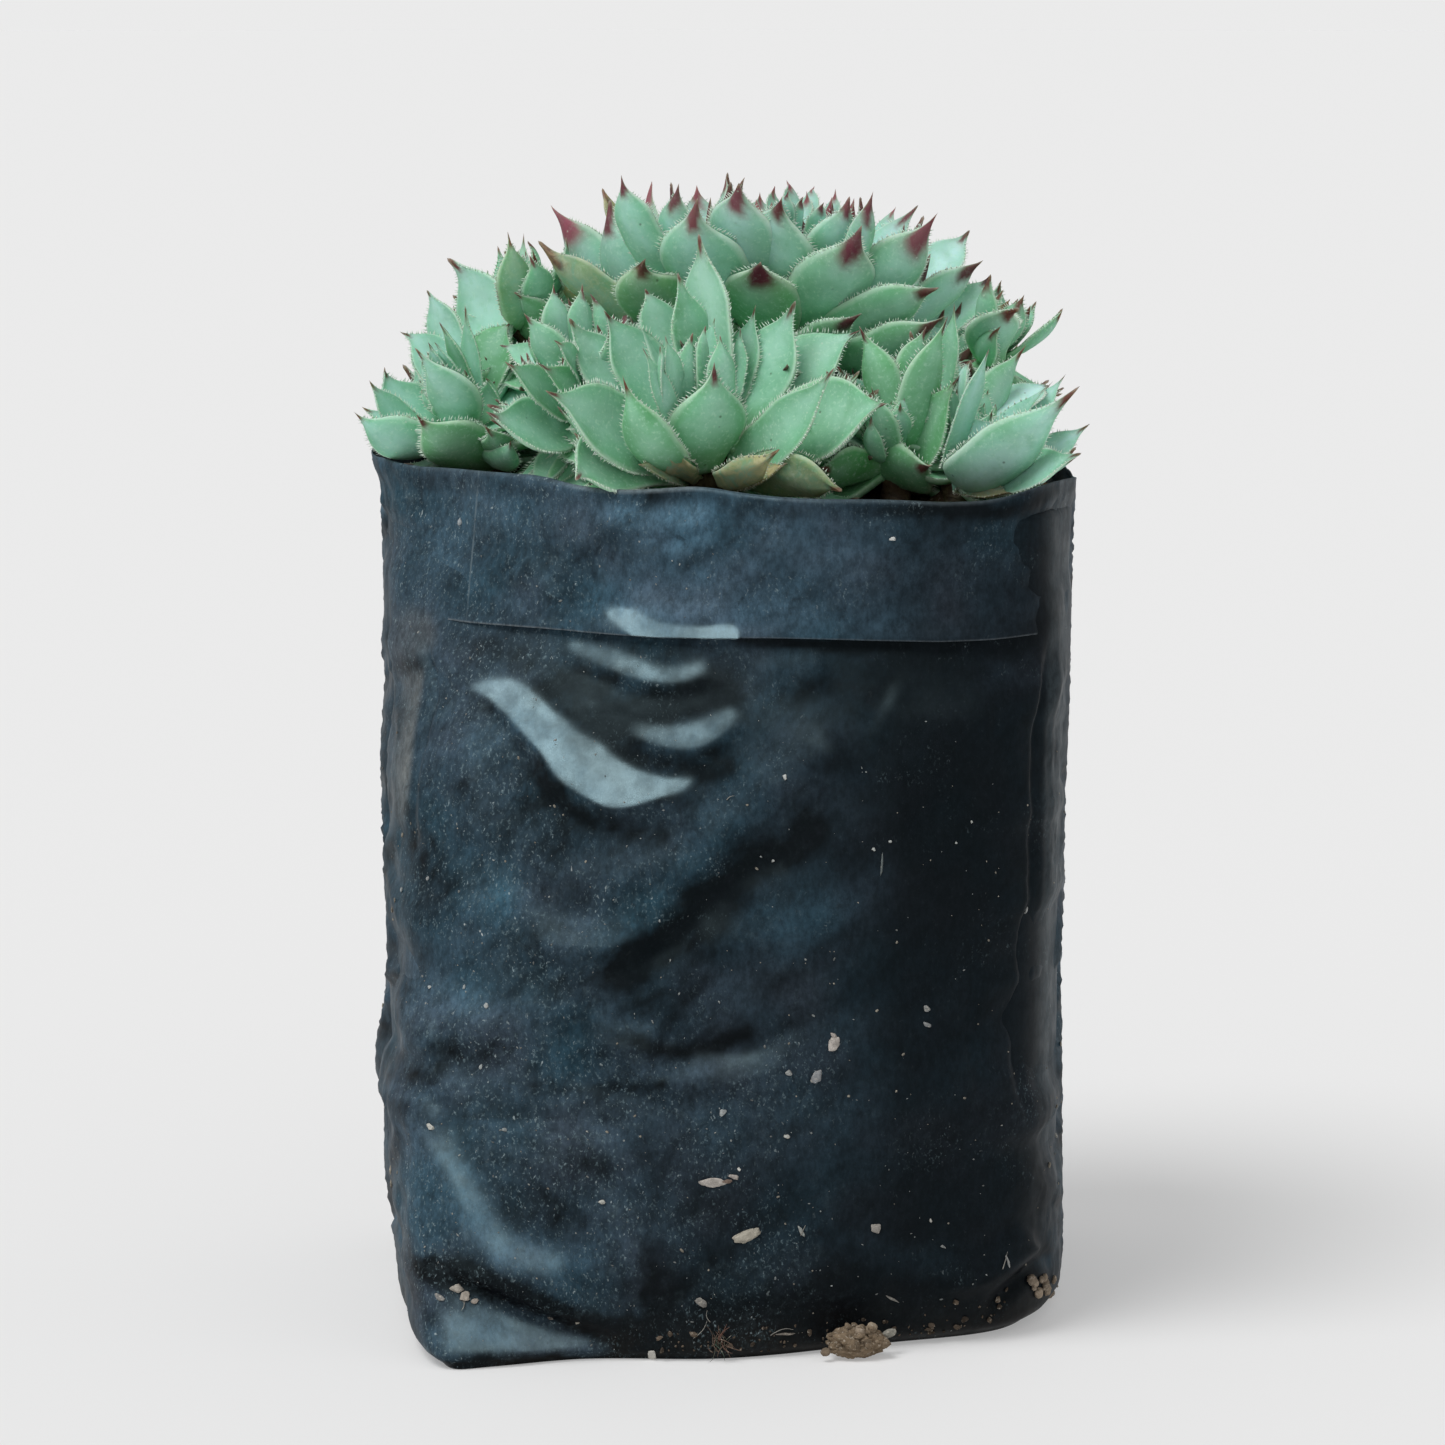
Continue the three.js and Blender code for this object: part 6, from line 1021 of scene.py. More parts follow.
# paler and darker patches: painted highlights and painted shade of the folds, with dust
DUST_AND_LIGHT_PATCHES = [
    # path, half width, gain
    ([(400, 700), (440, 770), (470, 850), (480, 930)], 46, 0.10),
    ([(500, 860), (520, 900), (560, 960)], 40, 0.10),
    ([(512, 905), (570, 920), (640, 924), (664, 908)], 19, 0.34),
    ([(624, 968), (690, 915), (750, 868), (806, 832)], 27, -0.34),
    ([(590, 866), (640, 872), (700, 850)], 20, 0.14),
    ([(716, 996), (762, 952), (832, 906), (880, 874)], 24, 0.26),
    ([(388, 1014), (440, 1004), (500, 1004)], 24, 0.36),
    ([(598, 1020), (636, 1030), (660, 1036)], 10, 0.26),
    ([(640, 1046), (690, 1050), (742, 1036)], 9, -0.26),
    ([(646, 1072), (690, 1072), (728, 1062)], 10, 0.24),
    ([(534, 1088), (600, 1090), (660, 1086)], 9, -0.22),
    ([(440, 1046), (480, 1056), (530, 1064)], 14, -0.16),
    ([(552, 1100), (580, 1118), (614, 1138)], 13, 0.22),
    ([(536, 1146), (570, 1158), (606, 1160)], 14, -0.20),
    ([(424, 1132), (462, 1184), (484, 1230), (530, 1262), (584, 1268)], 19, 0.46),
    ([(500, 1190), (560, 1215), (610, 1225)], 20, -0.10),
    ([(590, 1234), (630, 1240), (664, 1230)], 14, 0.20),
    ([(960, 1296), (996, 1290), (1026, 1276)], 16, 0.16),
    ([(866, 1240), (900, 1252), (940, 1262)], 16, 0.07),
    ([(396, 1226), (430, 1240), (460, 1256)], 22, 0.24),
    ([(430, 1269), (486, 1283), (542, 1304), (598, 1331), (650, 1345)], 12, -0.75),
    ([(446, 1330), (500, 1336), (545, 1342), (580, 1346)], 14, 0.42),
    ([(430, 1366), (520, 1364), (640, 1360), (760, 1352)], 7, -0.80),
    ([(620, 1338), (720, 1336), (840, 1326), (960, 1310), (1030, 1290)], 20, -0.34),
    ([(470, 800), (500, 830), (540, 850)], 20, -0.12),
    ([(540, 700), (590, 716), (650, 708), (720, 692)], 22, -0.30),
    ([(580, 742), (620, 752), (660, 766), (720, 764)], 14, -0.22),
    ([(450, 640), (500, 652), (550, 672), (600, 690)], 16, -0.22),
    ([(600, 760), (640, 790), (690, 806)], 10, -0.16),
    ([(740, 640), (820, 642), (900, 644)], 8, -0.30),
    ([(480, 700), (520, 752), (560, 800), (600, 830), (660, 830)], 12, -0.20),
    ([(760, 690), (800, 720), (860, 735)], 26, 0.08),
    ([(990, 676), (1014, 680), (1032, 676)], 14, 0.16),
    ([(690, 780), (740, 740), (790, 690)], 22, -0.12),
    ([(700, 1130), (780, 1150), (860, 1140)], 34, 0.06),
    ([(660, 1300), (760, 1310), (860, 1300)], 26, -0.14),
]
# the same on the cuff: painted highlights on its middle and hem, a darker band along the rim, with dust
CUFF_DUST_AND_LIGHT_PATCHES = [
    ([(604, 512), (650, 518), (704, 512)], 13, 1.05),
    ([(560, 560), (640, 566), (740, 560)], 34, 0.12),
    ([(630, 540), (670, 546), (708, 540)], 10, 0.62),
    ([(600, 604), (650, 616), (700, 618), (742, 616)], 12, 0.42),
    ([(400, 500), (440, 505), (480, 520)], 12, -0.20),
    ([(450, 566), (500, 588), (540, 608)], 10, 0.22),
    ([(470, 545), (510, 545), (550, 560)], 12, -0.16),
    ([(720, 520), (790, 540), (850, 560)], 26, 0.10),
    ([(560, 575), (600, 570), (640, 580)], 14, 0.12),
    ([(430, 600), (480, 610), (560, 622)], 8, -0.20),
    ([(760, 600), (820, 615), (880, 622)], 12, 0.16),
    ([(372, 470), (430, 478), (480, 486), (560, 494), (640, 500), (760, 507), (900, 511), (1000, 510), (1070, 488)], 10, -0.30),
]


def outline_mask(px, py, pts, soft):
    """1 inside a rounded outline, falling to 0 over soft pixels either side of it"""
    P = np.asarray(pts, float)
    P = closed_spline(P, np.linspace(0, len(P), 5 * len(P), endpoint=False))
    lo, hi = P.min(0) - 2 * soft, P.max(0) + 2 * soft
    near = (px > lo[0]) & (px < hi[0]) & (py > lo[1]) & (py < hi[1])
    out = np.zeros(px.shape)
    if not near.any():
        return out
    x, y = px[near], py[near]
    inside = np.zeros(x.shape, bool)
    best = np.full(x.shape, 1e9)
    for a, b in zip(P, np.roll(P, -1, 0)):
        d = b - a
        t = np.clip(((x - a[0]) * d[0] + (y - a[1]) * d[1]) / (d @ d + 1e-9), 0, 1)
        best = np.minimum(best, np.hypot(x - a[0] - d[0] * t, y - a[1] - d[1] * t))
        cross = (a[1] > y) != (b[1] > y)
        if cross.any():
            inside ^= cross & (x < (b[0] - a[0]) * (y - a[1]) / (b[1] - a[1] + 1e-12) + a[0])
    out[near] = smooth(np.where(inside, best, -best), -1.5 * soft, 0.7 * soft)
    return out


def patch(px, py, pts, hw, gain):
    """a soft patch along a path"""
    c = curve_pts(pts, 24)
    lo, hi = c.min(0) - 3 * hw, c.max(0) + 3 * hw
    near = (px > lo[0]) & (px < hi[0]) & (py > lo[1]) & (py < hi[1])
    out = np.zeros(px.shape)
    if near.any():
        d, a = path_dist(px[near], py[near], c)
        out[near] = gain * np.exp(-1.1 * (d / hw) ** 2)
    return out


def apply_folds(px, py, folds):
    out = np.zeros(px.shape)
    for pts, h, ab, be, shape in folds:
        out += facet(px, py, pts, h, ab, be, shape=shape)
    return out


def random_folds(rng, s_lo, s_hi, z_lo, z_hi, count):
    """creases elsewhere round the bag, in tenths of mm along the wall and down it"""
    out = []
    for _ in range(count):
        s, z = rng.uniform(s_lo, s_hi), rng.uniform(z_lo, z_hi)
        ang = rng.choice([-1, 1]) * math.radians(rng.uniform(12, 52))
        ln = rng.uniform(8, 26)
        bow = rng.uniform(-.25, .25) * ln
        c, q = math.cos(ang), math.sin(ang)
        pts = [((s + f * ln * c - (1 - 4 * f * f) * bow * q) * 6.6, -(z + f * ln * q + (1 - 4 * f * f) * bow * c) * 6.6) for f in (-.5, -.25, 0, .25, .5)]
        h = rng.uniform(.6, 2.0) * rng.choice([1, 1, -0.7])
        out.append((pts, [h * .4, h, h * .4], rng.uniform(12, 34), rng.uniform(8, 24), rng.choice(["facet", "soft"])))
    return out


RIM_LINE = np.array([(340, 452), (369, 459), (426, 466), (497, 472), (540, 475), (576, 486), (610, 490), (644, 490), (697, 486), (751, 495), (804, 499), (893, 500), (950, 503), (1000, 500), (1075, 478), (1100, 474)], float)
CUFF_LINE = np.array([(340, 600), (385, 608), (423, 616), (469, 622), (514, 625), (581, 631), (656, 637), (738, 639), (741, 637), (807, 638), (874, 640), (941, 641), (995, 639), (1048, 633), (1068, 628), (1100, 622)], float)
LEFT_SIDE = np.array([(462, 372), (480, 380), (606, 384), (649, 381), (673, 385), (748, 380), (838, 382), (947, 387), (1002, 384), (1038, 376), (1071, 375), (1089, 384), (1165, 384), (1231, 393), (1274, 400), (1311, 414), (1365, 445)], float)
RIGHT_SIDE = np.array([(494, 1076), (520, 1074), (628, 1071), (694, 1070), (788, 1066), (860, 1064), (875, 1065), (984, 1060), (1002, 1062), (1249, 1063), (1267, 1058), (1303, 1045)], float)


def rim_shift(x, z):
    return z - RIM_FALL * x * smooth(z, 92, 118)


def to_line(P, line, limit=2.6):
    """height change that puts front points on a line of the view"""
    px, py = project(P)
    want = np.interp(px, line[:, 0], line[:, 1])
    dz = (py - want) / 6.6
    front = smooth(-P[:, 1], -6, 12)
    return np.clip(dz, -limit, limit) * front


def build_bag():
    cols = np.arange(NC)
    # two lines solved on the view
    base_rim = plan(RIM_Z)
    rim_z = rim_shift(base_rim[:, 0], np.full(NC, RIM_Z))
    base_cuff = plan(CUFF_Z)
    cuff_z = rim_shift(base_cuff[:, 0], np.full(NC, CUFF_Z))
    for _ in range(3):
        rim_z += to_line(np.column_stack([base_rim, rim_z]), RIM_LINE)
        cuff_z += to_line(np.column_stack([base_cuff, cuff_z]), CUFF_LINE)
    k = 5
    def ease(v):
        w = np.concatenate([v[-k:], v, v[:k]])
        return np.convolve(w, np.ones(2 * k + 1) / (2 * k + 1), "same")[k:-k]
    back = 1 - smooth(-base_rim[:, 1], -6, 12)
    th = np.arctan2(base_rim[:, 1], base_rim[:, 0])
    rim_z = ease(rim_z) + back * (1.3 * fbm(np.cos(th) * 3, np.sin(th) * 3, 1.5, 61, 3))
    cuff_z = ease(cuff_z) * 0.5 + cuff_z * 0.5 + back * (1.6 * fbm(np.cos(th) * 4, np.sin(th) * 4, 7.5, 62, 3))
    rows = []      # (z per column, inset, part)
    zs = np.concatenate([[0.0, 0.22, 0.55, 1.0, 1.6], np.linspace(2.3, 109.0, 182)])
    for z in zs:
        w = smooth(z, 88, 104)
        ins = 0.95 * w + 1.3 * (1 - smooth(z / 2.2)) ** 1.5
        rows.append((np.full(NC, z), ins, "wall"))
    for z in (113.0, 118.0, 122.0):
        rows.append((np.full(NC, z), 1.15, "hid"))
    for f in (0.86, 0.6, 0.3, 0.02):
        rows.append((("cuff", f), 0.50, "in"))
    rows.append((("cuff", -0.006), 0.36, "edge"))
    rows.append((("cuff", -0.006), 0.10, "edge"))
    for f in np.linspace(0.008, 0.965, 37):
        rows.append((("cuff", f), 0.0, "cuff"))
    for f, ins in ((0.985, 0.05), (0.997, 0.3), (1.0, 0.75), (0.992, 1.25), (0.972, 1.6), (0.94, 1.75)):
        rows.append((("cuff", f), ins, "rim"))
    for z in (122.0, 119.0, 114.0, 105.0, 85.0, 50.0, 14.0, 4.0, 0.9):
        rows.append((np.full(NC, z), 1.9 + (1.2 if z < 3 else 0) + (0.8 if 3 < z < 5 else 0), "inner"))
    R = len(rows)
    P = np.zeros((R, NC, 3))
    N = np.zeros((R, NC, 3))
    part = []
    for r, (z, ins, tag) in enumerate(rows):
        if isinstance(z, tuple):
            f = z[1]
            zc = cuff_z + (rim_z - cuff_z) * f
            zl = CUFF_Z + (RIM_Z - CUFF_Z) * f
        else:
            zl = float(z[0])
            zc = None
        p = plan(zl)
        n2 = normals2(p)
        q = p - n2 * ins
        P[r, :, 0], P[r, :, 1] = q[:, 0], q[:, 1]
        if zc is None:
            zz = rim_shift(q[:, 0], np.full(NC, zl))
            if tag in ("hid", "inner") and zl > 100:
                zz = np.minimum(zz, rim_z - (RIM_Z - zl) * 0.8)
        else:
            zz = zc
        P[r, :, 2] = zz
        N[r, :, 0], N[r, :, 1] = n2[:, 0], n2[:, 1]
        part.append(tag)
    part = np.array(part)

    px, py = project(P)
    facing = smooth(-N[..., 1], 0.05, 0.45) * smooth(-P[..., 1], -4, 8)
    # position along the wall in mm, measured at mid height
    ref = plan(50.0)
    seg = np.linalg.norm(np.diff(np.vstack([ref, ref[:1]]), axis=0), axis=1)
    S = np.broadcast_to(np.concatenate([[0], np.cumsum(seg)[:-1]])[None], (R, NC))
    total = seg.sum()
    Z = P[..., 2]

    rng = np.random.default_rng(4021)
    front_s = float(np.interp(5.2, U, S[0]))
    side = random_folds(rng, front_s - 6, total - 4, 6, 98, 92)
    qx, qy = S * 6.6, -Z * 6.6
    d_front = apply_folds(px, py, FRONT_FOLDS)
    d_side = apply_folds(qx, qy, side)
    d = d_front * facing + d_side * (1 - facing)
    # mid-side pleats of the gussets and three of the long corners
    pleat = np.zeros(px.shape)
    for u0, depth, width in ((6.1, -2.6, 5.5), (14.6, -1.6, 5.0)):
        s0 = float(np.interp(u0, U, S[0]))
        wav = s0 + 1.6 * np.sin(Z * 0.045 + u0) + 0.5 * np.sin(Z * 0.19)
        x = (S - wav) / width
        d += depth * np.exp(-np.abs(x) ** 1.1 * 1.6) * smooth(Z, 2, 30) * (1 - facing * 0.9)
        pleat = pleat + (0.9 * np.exp(-((S - wav - 1.4) / 1.6) ** 2) - 0.9 * np.exp(-((S - wav + 0.7) / 0.9) ** 2)) * smooth(Z, 6, 30) * (1 - facing)
    for u0 in (4.35, 8.1, 12.1):
        s0 = float(np.interp(u0, U, S[0]))
        wav = s0 + 0.9 * np.sin(Z * 0.06 + 2 * u0)
        d += 0.9 * np.exp(-((S - wav) / 1.5) ** 2) * smooth(Z, 4, 20) * (1 - facing)
        pleat = pleat + 0.6 * np.exp(-((S - wav) / 1.3) ** 2) * smooth(Z, 4, 20) * (1 - facing)
    # slack between the soil and the film: broad waves, then crinkles that run up to the right
    cx, cy, cz = P[..., 0], P[..., 1], Z
    broad = fbm(cx * 0.045, cy * 0.045, cz * 0.055, 11, 3)
    run = (cx * 0.55 + cz * 0.95), (cx * 0.95 - cz * 0.55)
    diag = fbm(run[0] * 0.16, run[1] * 0.05, cy * 0.10, 23, 4, 0.55)
    rid = 1 - np.abs(fbm(run[0] * 0.11, run[1] * 0.045, cy * 0.08, 29, 3, 0.5)) * 2.2
    calm = fbm(run[0] * 0.10, run[1] * 0.032, cy * 0.06, 24, 2, 0.45)
    fine = fbm(cx * 0.55, cy * 0.55, cz * 0.7, 31, 3, 0.6)
    crk = np.maximum(0, 1 - np.abs(fbm(cx * 0.24 + cz * 0.10, cy * 0.24, cz * 0.26, 37, 2)) * 5.0) ** 2
    d += (0.75 * broad + 0.42 * diag + 0.30 * np.clip(rid, 0, 1) ** 2 + 0.10 * fine + 0.16 * crk) * (1 - facing)
    d += (0.45 * broad + 0.50 * calm + 0.06 * diag + 0.03 * fine + 0.05 * crk) * facing
    low = smooth(Z, 0.3, 9.0)
    wall = np.isin(part, ("wall",))[:, None] * np.ones((1, NC))
    d_wall = d * (0.25 + 0.75 * low) + apply_folds(px, py, GUSSET) * facing
    # near and behind the cuff the wall lies back
    d_wall = d_wall * (1 - 0.75 * smooth(Z, 97, 106)) - 0.15 * smooth(Z, 100, 106)
    # the cuff is a second layer with its own creases
    dc = apply_folds(px, py, CUFF_FOLDS) * facing
    side_c = random_folds(np.random.default_rng(77), front_s - 6, total - 4, 107, 122, 26)
    dc += apply_folds(qx, qy, side_c) * 0.7 * (1 - facing)
    v_wave = fbm(S * 0.06, 0.3 + Z * 0.03, 2.2, 41, 3)
    dc += 0.55 * v_wave + 0.25 * fbm(cx * 0.09, cy * 0.09, cz * 0.20, 43, 3) + 0.09 * fine + 0.12 * crk
    f_c = np.clip((Z - cuff_z[None]) / (rim_z - cuff_z)[None], 0, 1)
    # the very edge of the cuff lifts and dips, the rim rolls a little outward
    dc += 0.35 * (1 - smooth(f_c / 0.25)) * fbm(S * 0.12, 5.1, 0.7, 47, 2) + 0.15 * (1 - smooth(f_c / 0.12))
    dc += 0.45 * smooth(f_c, 0.80, 0.97) * (0.6 + 0.4 * noise3(S * 0.05, 3.3, 0.1, 49))
    dc = np.clip(dc, -0.35, 2.4)
    disp = np.zeros((R, NC))
    for r in range(R):
        if part[r] == "wall":
            disp[r] = d_wall[r]
        elif part[r] == "cuff":
            disp[r] = dc[r]
    first_cuff = int(np.argmax(part == "cuff"))
    last_cuff = R - 1 - int(np.argmax(part[::-1] == "cuff"))
    for r in range(R):
        if part[r] == "edge":
            disp[r] = dc[first_cuff]
        elif part[r] == "in":
            f = rows[r][0][1]
            rr = first_cuff + int(round(f * (last_cuff - first_cuff)))
            disp[r] = dc[rr]
        elif part[r] == "rim":
            disp[r] = dc[last_cuff] * 0.9
        elif part[r] == "hid":
            disp[r] = np.minimum(0.0, d_wall[r] * 0.25)
    # the inner wall follows the rim near the top
    rim_last = R - 1 - int(np.argmax(part[::-1] == "rim"))
    for i, r in enumerate(np.where(part == "inner")[0]):
        disp[r] = dc[last_cuff] * max(0, 0.7 - 0.35 * i)
    P = P + N * disp[..., None]

    # silhouette of the front view on both sides
    for _ in range(2):
        px, py = project(P)
        for tag_rows in (np.where(part == "wall")[0], np.where((part == "cuff") | (part == "edge") | (part == "rim"))[0]):
            dl, dr = [], []
            for r in tag_rows:
                i, j = int(np.argmin(px[r])), int(np.argmax(px[r]))
                di = (P[r, i] - CAM) @ FW
                dj = (P[r, j] - CAM) @ FW
                dl.append((np.interp(py[r, i], LEFT_SIDE[:, 0], LEFT_SIDE[:, 1]) - px[r, i]) * di / FOCAL)
                dr.append((np.interp(py[r, j], RIGHT_SIDE[:, 0], RIGHT_SIDE[:, 1]) - px[r, j]) * dj / FOCAL)
            ker = np.ones(5) / 5
            dl = np.convolve(np.pad(dl, 2, "edge"), ker, "valid")
            dr = np.convolve(np.pad(dr, 2, "edge"), ker, "valid")
            for q, r in enumerate(tag_rows):
                # at the foot the sides close in towards the back, so they are left alone there
                keep = smooth(P[r, :, 2], 2, 9) if part[r] == "wall" else 1.0
                P[r, :, 0] += keep * np.clip(dl[q], -2.5, 2.5) * smooth(-P[r, :, 0], 20, 46) * smooth(30 - P[r, :, 1], 0, 14)
                P[r, :, 0] += keep * np.clip(dr[q], -2.5, 2.5) * smooth(P[r, :, 0], 24, 47) * smooth(30 - P[r, :, 1], 0, 14)
        # hidden layers follow the nearest cuff row
        for r in np.where(part == "in")[0]:
            f = rows[r][0][1]
            rr = first_cuff + int(round(f * (last_cuff - first_cuff)))
            P[r, :, :2] = P[rr, :, :2] - N[rr, :, :2] * 0.45
    P[0, :, 2] = 0.0
    P[..., 2] = np.maximum(P[..., 2], 0.0)
    corner = (np.array([-39.0, -50.5]) - P[0, :, :2])
    near = np.exp(-(np.hypot(corner[:, 0], corner[:, 1]) / 3.4) ** 2)
    for r in np.where(part == "wall")[0]:
        fall = float(1 - smooth(P[r, :, 2].mean() / 6.0))
        P[r, :, 0] -= 0.3 * near * fall
        P[r, :, 1] -= 1.3 * near * fall

    # ------------------------------------------------ colour by place, with dust and painted light and shade
    px, py = project(P)
    f_front = facing
    cuffish = np.isin(part, ("cuff", "edge", "rim"))[:, None]
    mot = fbm(cx * 0.05, cy * 0.05, cz * 0.05, 71, 4)
    mot2 = fbm(cx * 0.22, cy * 0.22, cz * 0.18, 73, 4, 0.6)
    # dust and painted fold shading lie along the creases: up to the right above, down to the right near the left corner
    turn = smooth((py - 1060) / 120) * smooth((720 - px) / 160)
    ca, sa = np.where(turn > 0.5, 0.80, 0.79), np.where(turn > 0.5, -0.60, 0.61)
    along, across = cx * ca + cz * sa, cz * ca - cx * sa
    lane = fbm(along * 0.035, across * 0.115, cy * 0.03 + 3 * turn, 81, 3, 0.55)
    lane2 = fbm(along * 0.10, across * 0.34, cy * 0.08 + 3 * turn, 82, 3, 0.6)
    mot = mot + (0.35 * mot + 0.95 * lane - mot) * facing
    mot2 = mot2 + (0.45 * mot2 + 0.70 * lane2 - mot2) * facing
    left = smooth((900 - px) / 420)
    # painted shade: a dark zone right of the middle of the front
    shade_zone = np.exp(-(((px - 950) / 110) ** 2 + ((py - 820) / 220) ** 2) ** 1.2)
    wx = px + 9 * fbm(cx * 0.12, cy * 0.12, cz * 0.12, 75, 3)
    wy = py + 9 * fbm(cx * 0.12, cy * 0.12, cz * 0.12, 76, 3)
    # painted light and shade: the front's level falls from the lit left to the shaded right and drops low on the right;
    # the cuff's is palest at its middle
    h_wall = np.interp(px, [380, 470, 560, 660, 760, 840, 900, 1040], [.30, .32, .26, .21, .17, .11, .03, .04])
    h_wall = h_wall * (1 - 0.45 * smooth((py - 1110) / 120) * smooth((px - 560) / 150))
    h_cuff = np.interp(px, [380, 470, 560, 640, 720, 780, 860, 920, 1040], [.33, .37, .42, .48, .46, .38, .27, .15, .11])
    mot3 = fbm(cx * 0.7, cy * 0.7, cz * 0.45, 74, 3, 0.65)
    h_wall = h_wall * (1 + 1.05 * mot + 0.95 * mot2 + 0.50 * mot3)
    h_cuff = h_cuff * (1 + 0.70 * mot + 0.75 * mot2 + 0.45 * mot3)
    # painted highlights and shade of the folds, with dust, laid on as patches
    for pts, hw, gain in DUST_AND_LIGHT_PATCHES:
        h_wall = h_wall + patch(wx, wy, pts, hw, gain) * (0.55 + 0.5 * mot2 if gain > 0 else 0.85)
    for pts, hw, gain in CUFF_DUST_AND_LIGHT_PATCHES:
        h_cuff = h_cuff + patch(wx, wy, pts, hw, gain) * (0.62 + 0.5 * mot2)
    h_wall = h_wall * (1 - 0.8 * shade_zone)
    h_front = np.where(cuffish, h_cuff, h_wall)
    # paler on the slopes of the creases that look up and darker on those that look down, partly dust and partly painted
    # light; the pleats paler on one side and darker on the other, the long corners paler along their crest, as painted
    # light and shade
    dz = np.gradient(Z, axis=0)
    slope = -np.gradient(np.where(cuffish, dc, d_wall), axis=0) / np.where(np.abs(dz) < 0.05, 0.05, dz)
    for _ in range(2):
        slope = (slope + np.roll(slope, 1, 1) + np.roll(slope, -1, 1)) / 3
    h_rest = 0.22 + 0.16 * mot + 0.16 * mot2 + 0.07 * mot3 + 0.08 * cuffish + 0.62 * np.clip(slope, -0.30, 0.60) + 0.20 * pleat * (0.7 + 0.8 * mot2)
    # the level mixes dust with painted light and shade, from the near-black film to a pale blue-grey sheen
    dust_and_light = np.clip(h_front * f_front + h_rest * (1 - f_front), 0.0, 1.3)
    c_dark = np.array([0.0022, 0.0026, 0.0038])
    c_dust_and_sheen = np.array([0.076, 0.140, 0.197])
    col = c_dark + (c_dust_and_sheen - c_dark) * dust_and_light[..., None]
    # facets that face the light
    bend = np.zeros(px.shape)
    shine = np.zeros(px.shape)
    for pts, soft, level, on_cuff in FACETS:
        m = outline_mask(wx * 0.25 + px * 0.75, wy * 0.25 + py * 0.75, pts, soft) * (cuffish if on_cuff else ~cuffish) * f_front
        shine = np.where(m > bend, level, shine)
        bend = np.maximum(bend, m)
    # purple-brown and green casts, very weak
    cast = fbm(cx * 0.09, cy * 0.09, cz * 0.09, 79, 3)[..., None]
    col = col * (1 + 0.34 * cast * np.array([1.0, -0.25, -0.35]))

    def tint(mask, c, k=1.0):
        nonlocal col
        m = np.clip(mask, 0, 1)[..., None] * k
        col = col * (1 - m) + np.array(c) * m

    # strips of the gussets that show beside the creases
    lx = np.interp(py, [600, 640, 673, 735, 815, 860], [430, 430, 428, 418, 410, 405])
    strip_l = smooth((lx - px) / 8) * smooth((py - 655) / 25) * smooth((850 - py) / 60) * smooth((px - (lx - 26)) / 6) * f_front * ~cuffish
    strip_l = strip_l * smooth(-7 - P[..., 1] + 6 * mot + 4 * mot2, 0, 13)
    tint(strip_l * (0.85 + 0.7 * mot2 + 0.3 * mot3), (0.150, 0.158, 0.154), 0.82)
    lobe = smooth(1 - np.hypot((px - 408) / 34, (py - 634) / 38), 0.0, 0.55) * f_front * ~cuffish
    lobe = lobe * smooth(-7 - P[..., 1] + 6 * mot + 4 * mot2, 0, 13)
    tint(lobe * (0.85 + 0.7 * mot2), (0.095, 0.106, 0.112), 0.72)
    # painted shadow: a dark spot under the lobe, at the top of the left gusset
    under = np.exp(-((px - 412) / 20) ** 2 - ((py - 666) / 9) ** 2) * f_front * ~cuffish
    tint(under, (0.006, 0.007, 0.009), 0.9)
    # the right gusset strip, turned to the light, is made paler: painted light, with dust
    rx = np.interp(py, [500, 633, 640, 700, 860, 984, 1016, 1056, 1120], [1045, 1045, 1046, 1044, 1042, 1037, 1034, 1032, 1036])
    lit_strip_r = smooth((px - rx + 2 + 5 * mot) / 9) * smooth((1130 - py) / 120) * np.where(cuffish, 0.55, 1.0) * (px < 1090) * smooth(-N[..., 1], -0.35, 0.1) * smooth(-13 - P[..., 1] + 7 * mot + 3 * mot2, 0, 15)
    tint(lit_strip_r * (0.72 + 0.7 * mot2), (0.046, 0.059, 0.066), 0.70)
    # painted highlights along the cuff's lower edge and along the top of the rim, strongest at the front
    edge_highlight = (np.isin(part, ("edge",))[:, None]) * (0.35 + 0.5 * smooth((700 - px) / 120) * f_front)
    tint(edge_highlight, (0.22, 0.25, 0.27), 0.8)
    rim_highlight = smooth(f_c, 0.975, 0.995) * cuffish * (0.25 + 0.75 * smooth((px - 555) / 30) * smooth((715 - px) / 30) * f_front)
    tint(rim_highlight, (0.20, 0.23, 0.25), 0.6)
    # earth at the foot and up the front
    foot = smooth(1 - Z / 9.0) * (0.5 + 0.5 * fbm(cx * 0.2, cy * 0.2, cz * 0.3, 83, 3))
    tint(foot, (0.020, 0.015, 0.011), 0.6)
    speck = np.clip(0.20 + 0.50 * left * f_front + 0.30 * mot - 0.25 * shade_zone * f_front + 0.28 * smooth((py - 1060) / 200) * smooth((960 - px) / 160) * f_front + 0.15 * (1 - f_front), 0.04, 1)
    speck = speck * (1 - f_front * 0.60 * (1 - smooth(h_front, 0.0, 0.22)))
    msk = np.stack([speck, bend, shine], -1)

    V = [P.reshape(-1, 3)]
    C = [col.reshape(-1, 3)]
    M = [msk.reshape(-1, 3)]
    i = np.arange(R - 1)[:, None] * NC
    j = np.arange(NC)[None]
    kk = (j + 1) % NC
    quads = [np.stack([i + j, i + kk, i + kk + NC, i + j + NC], -1).reshape(-1, 4)]
    n = R * NC
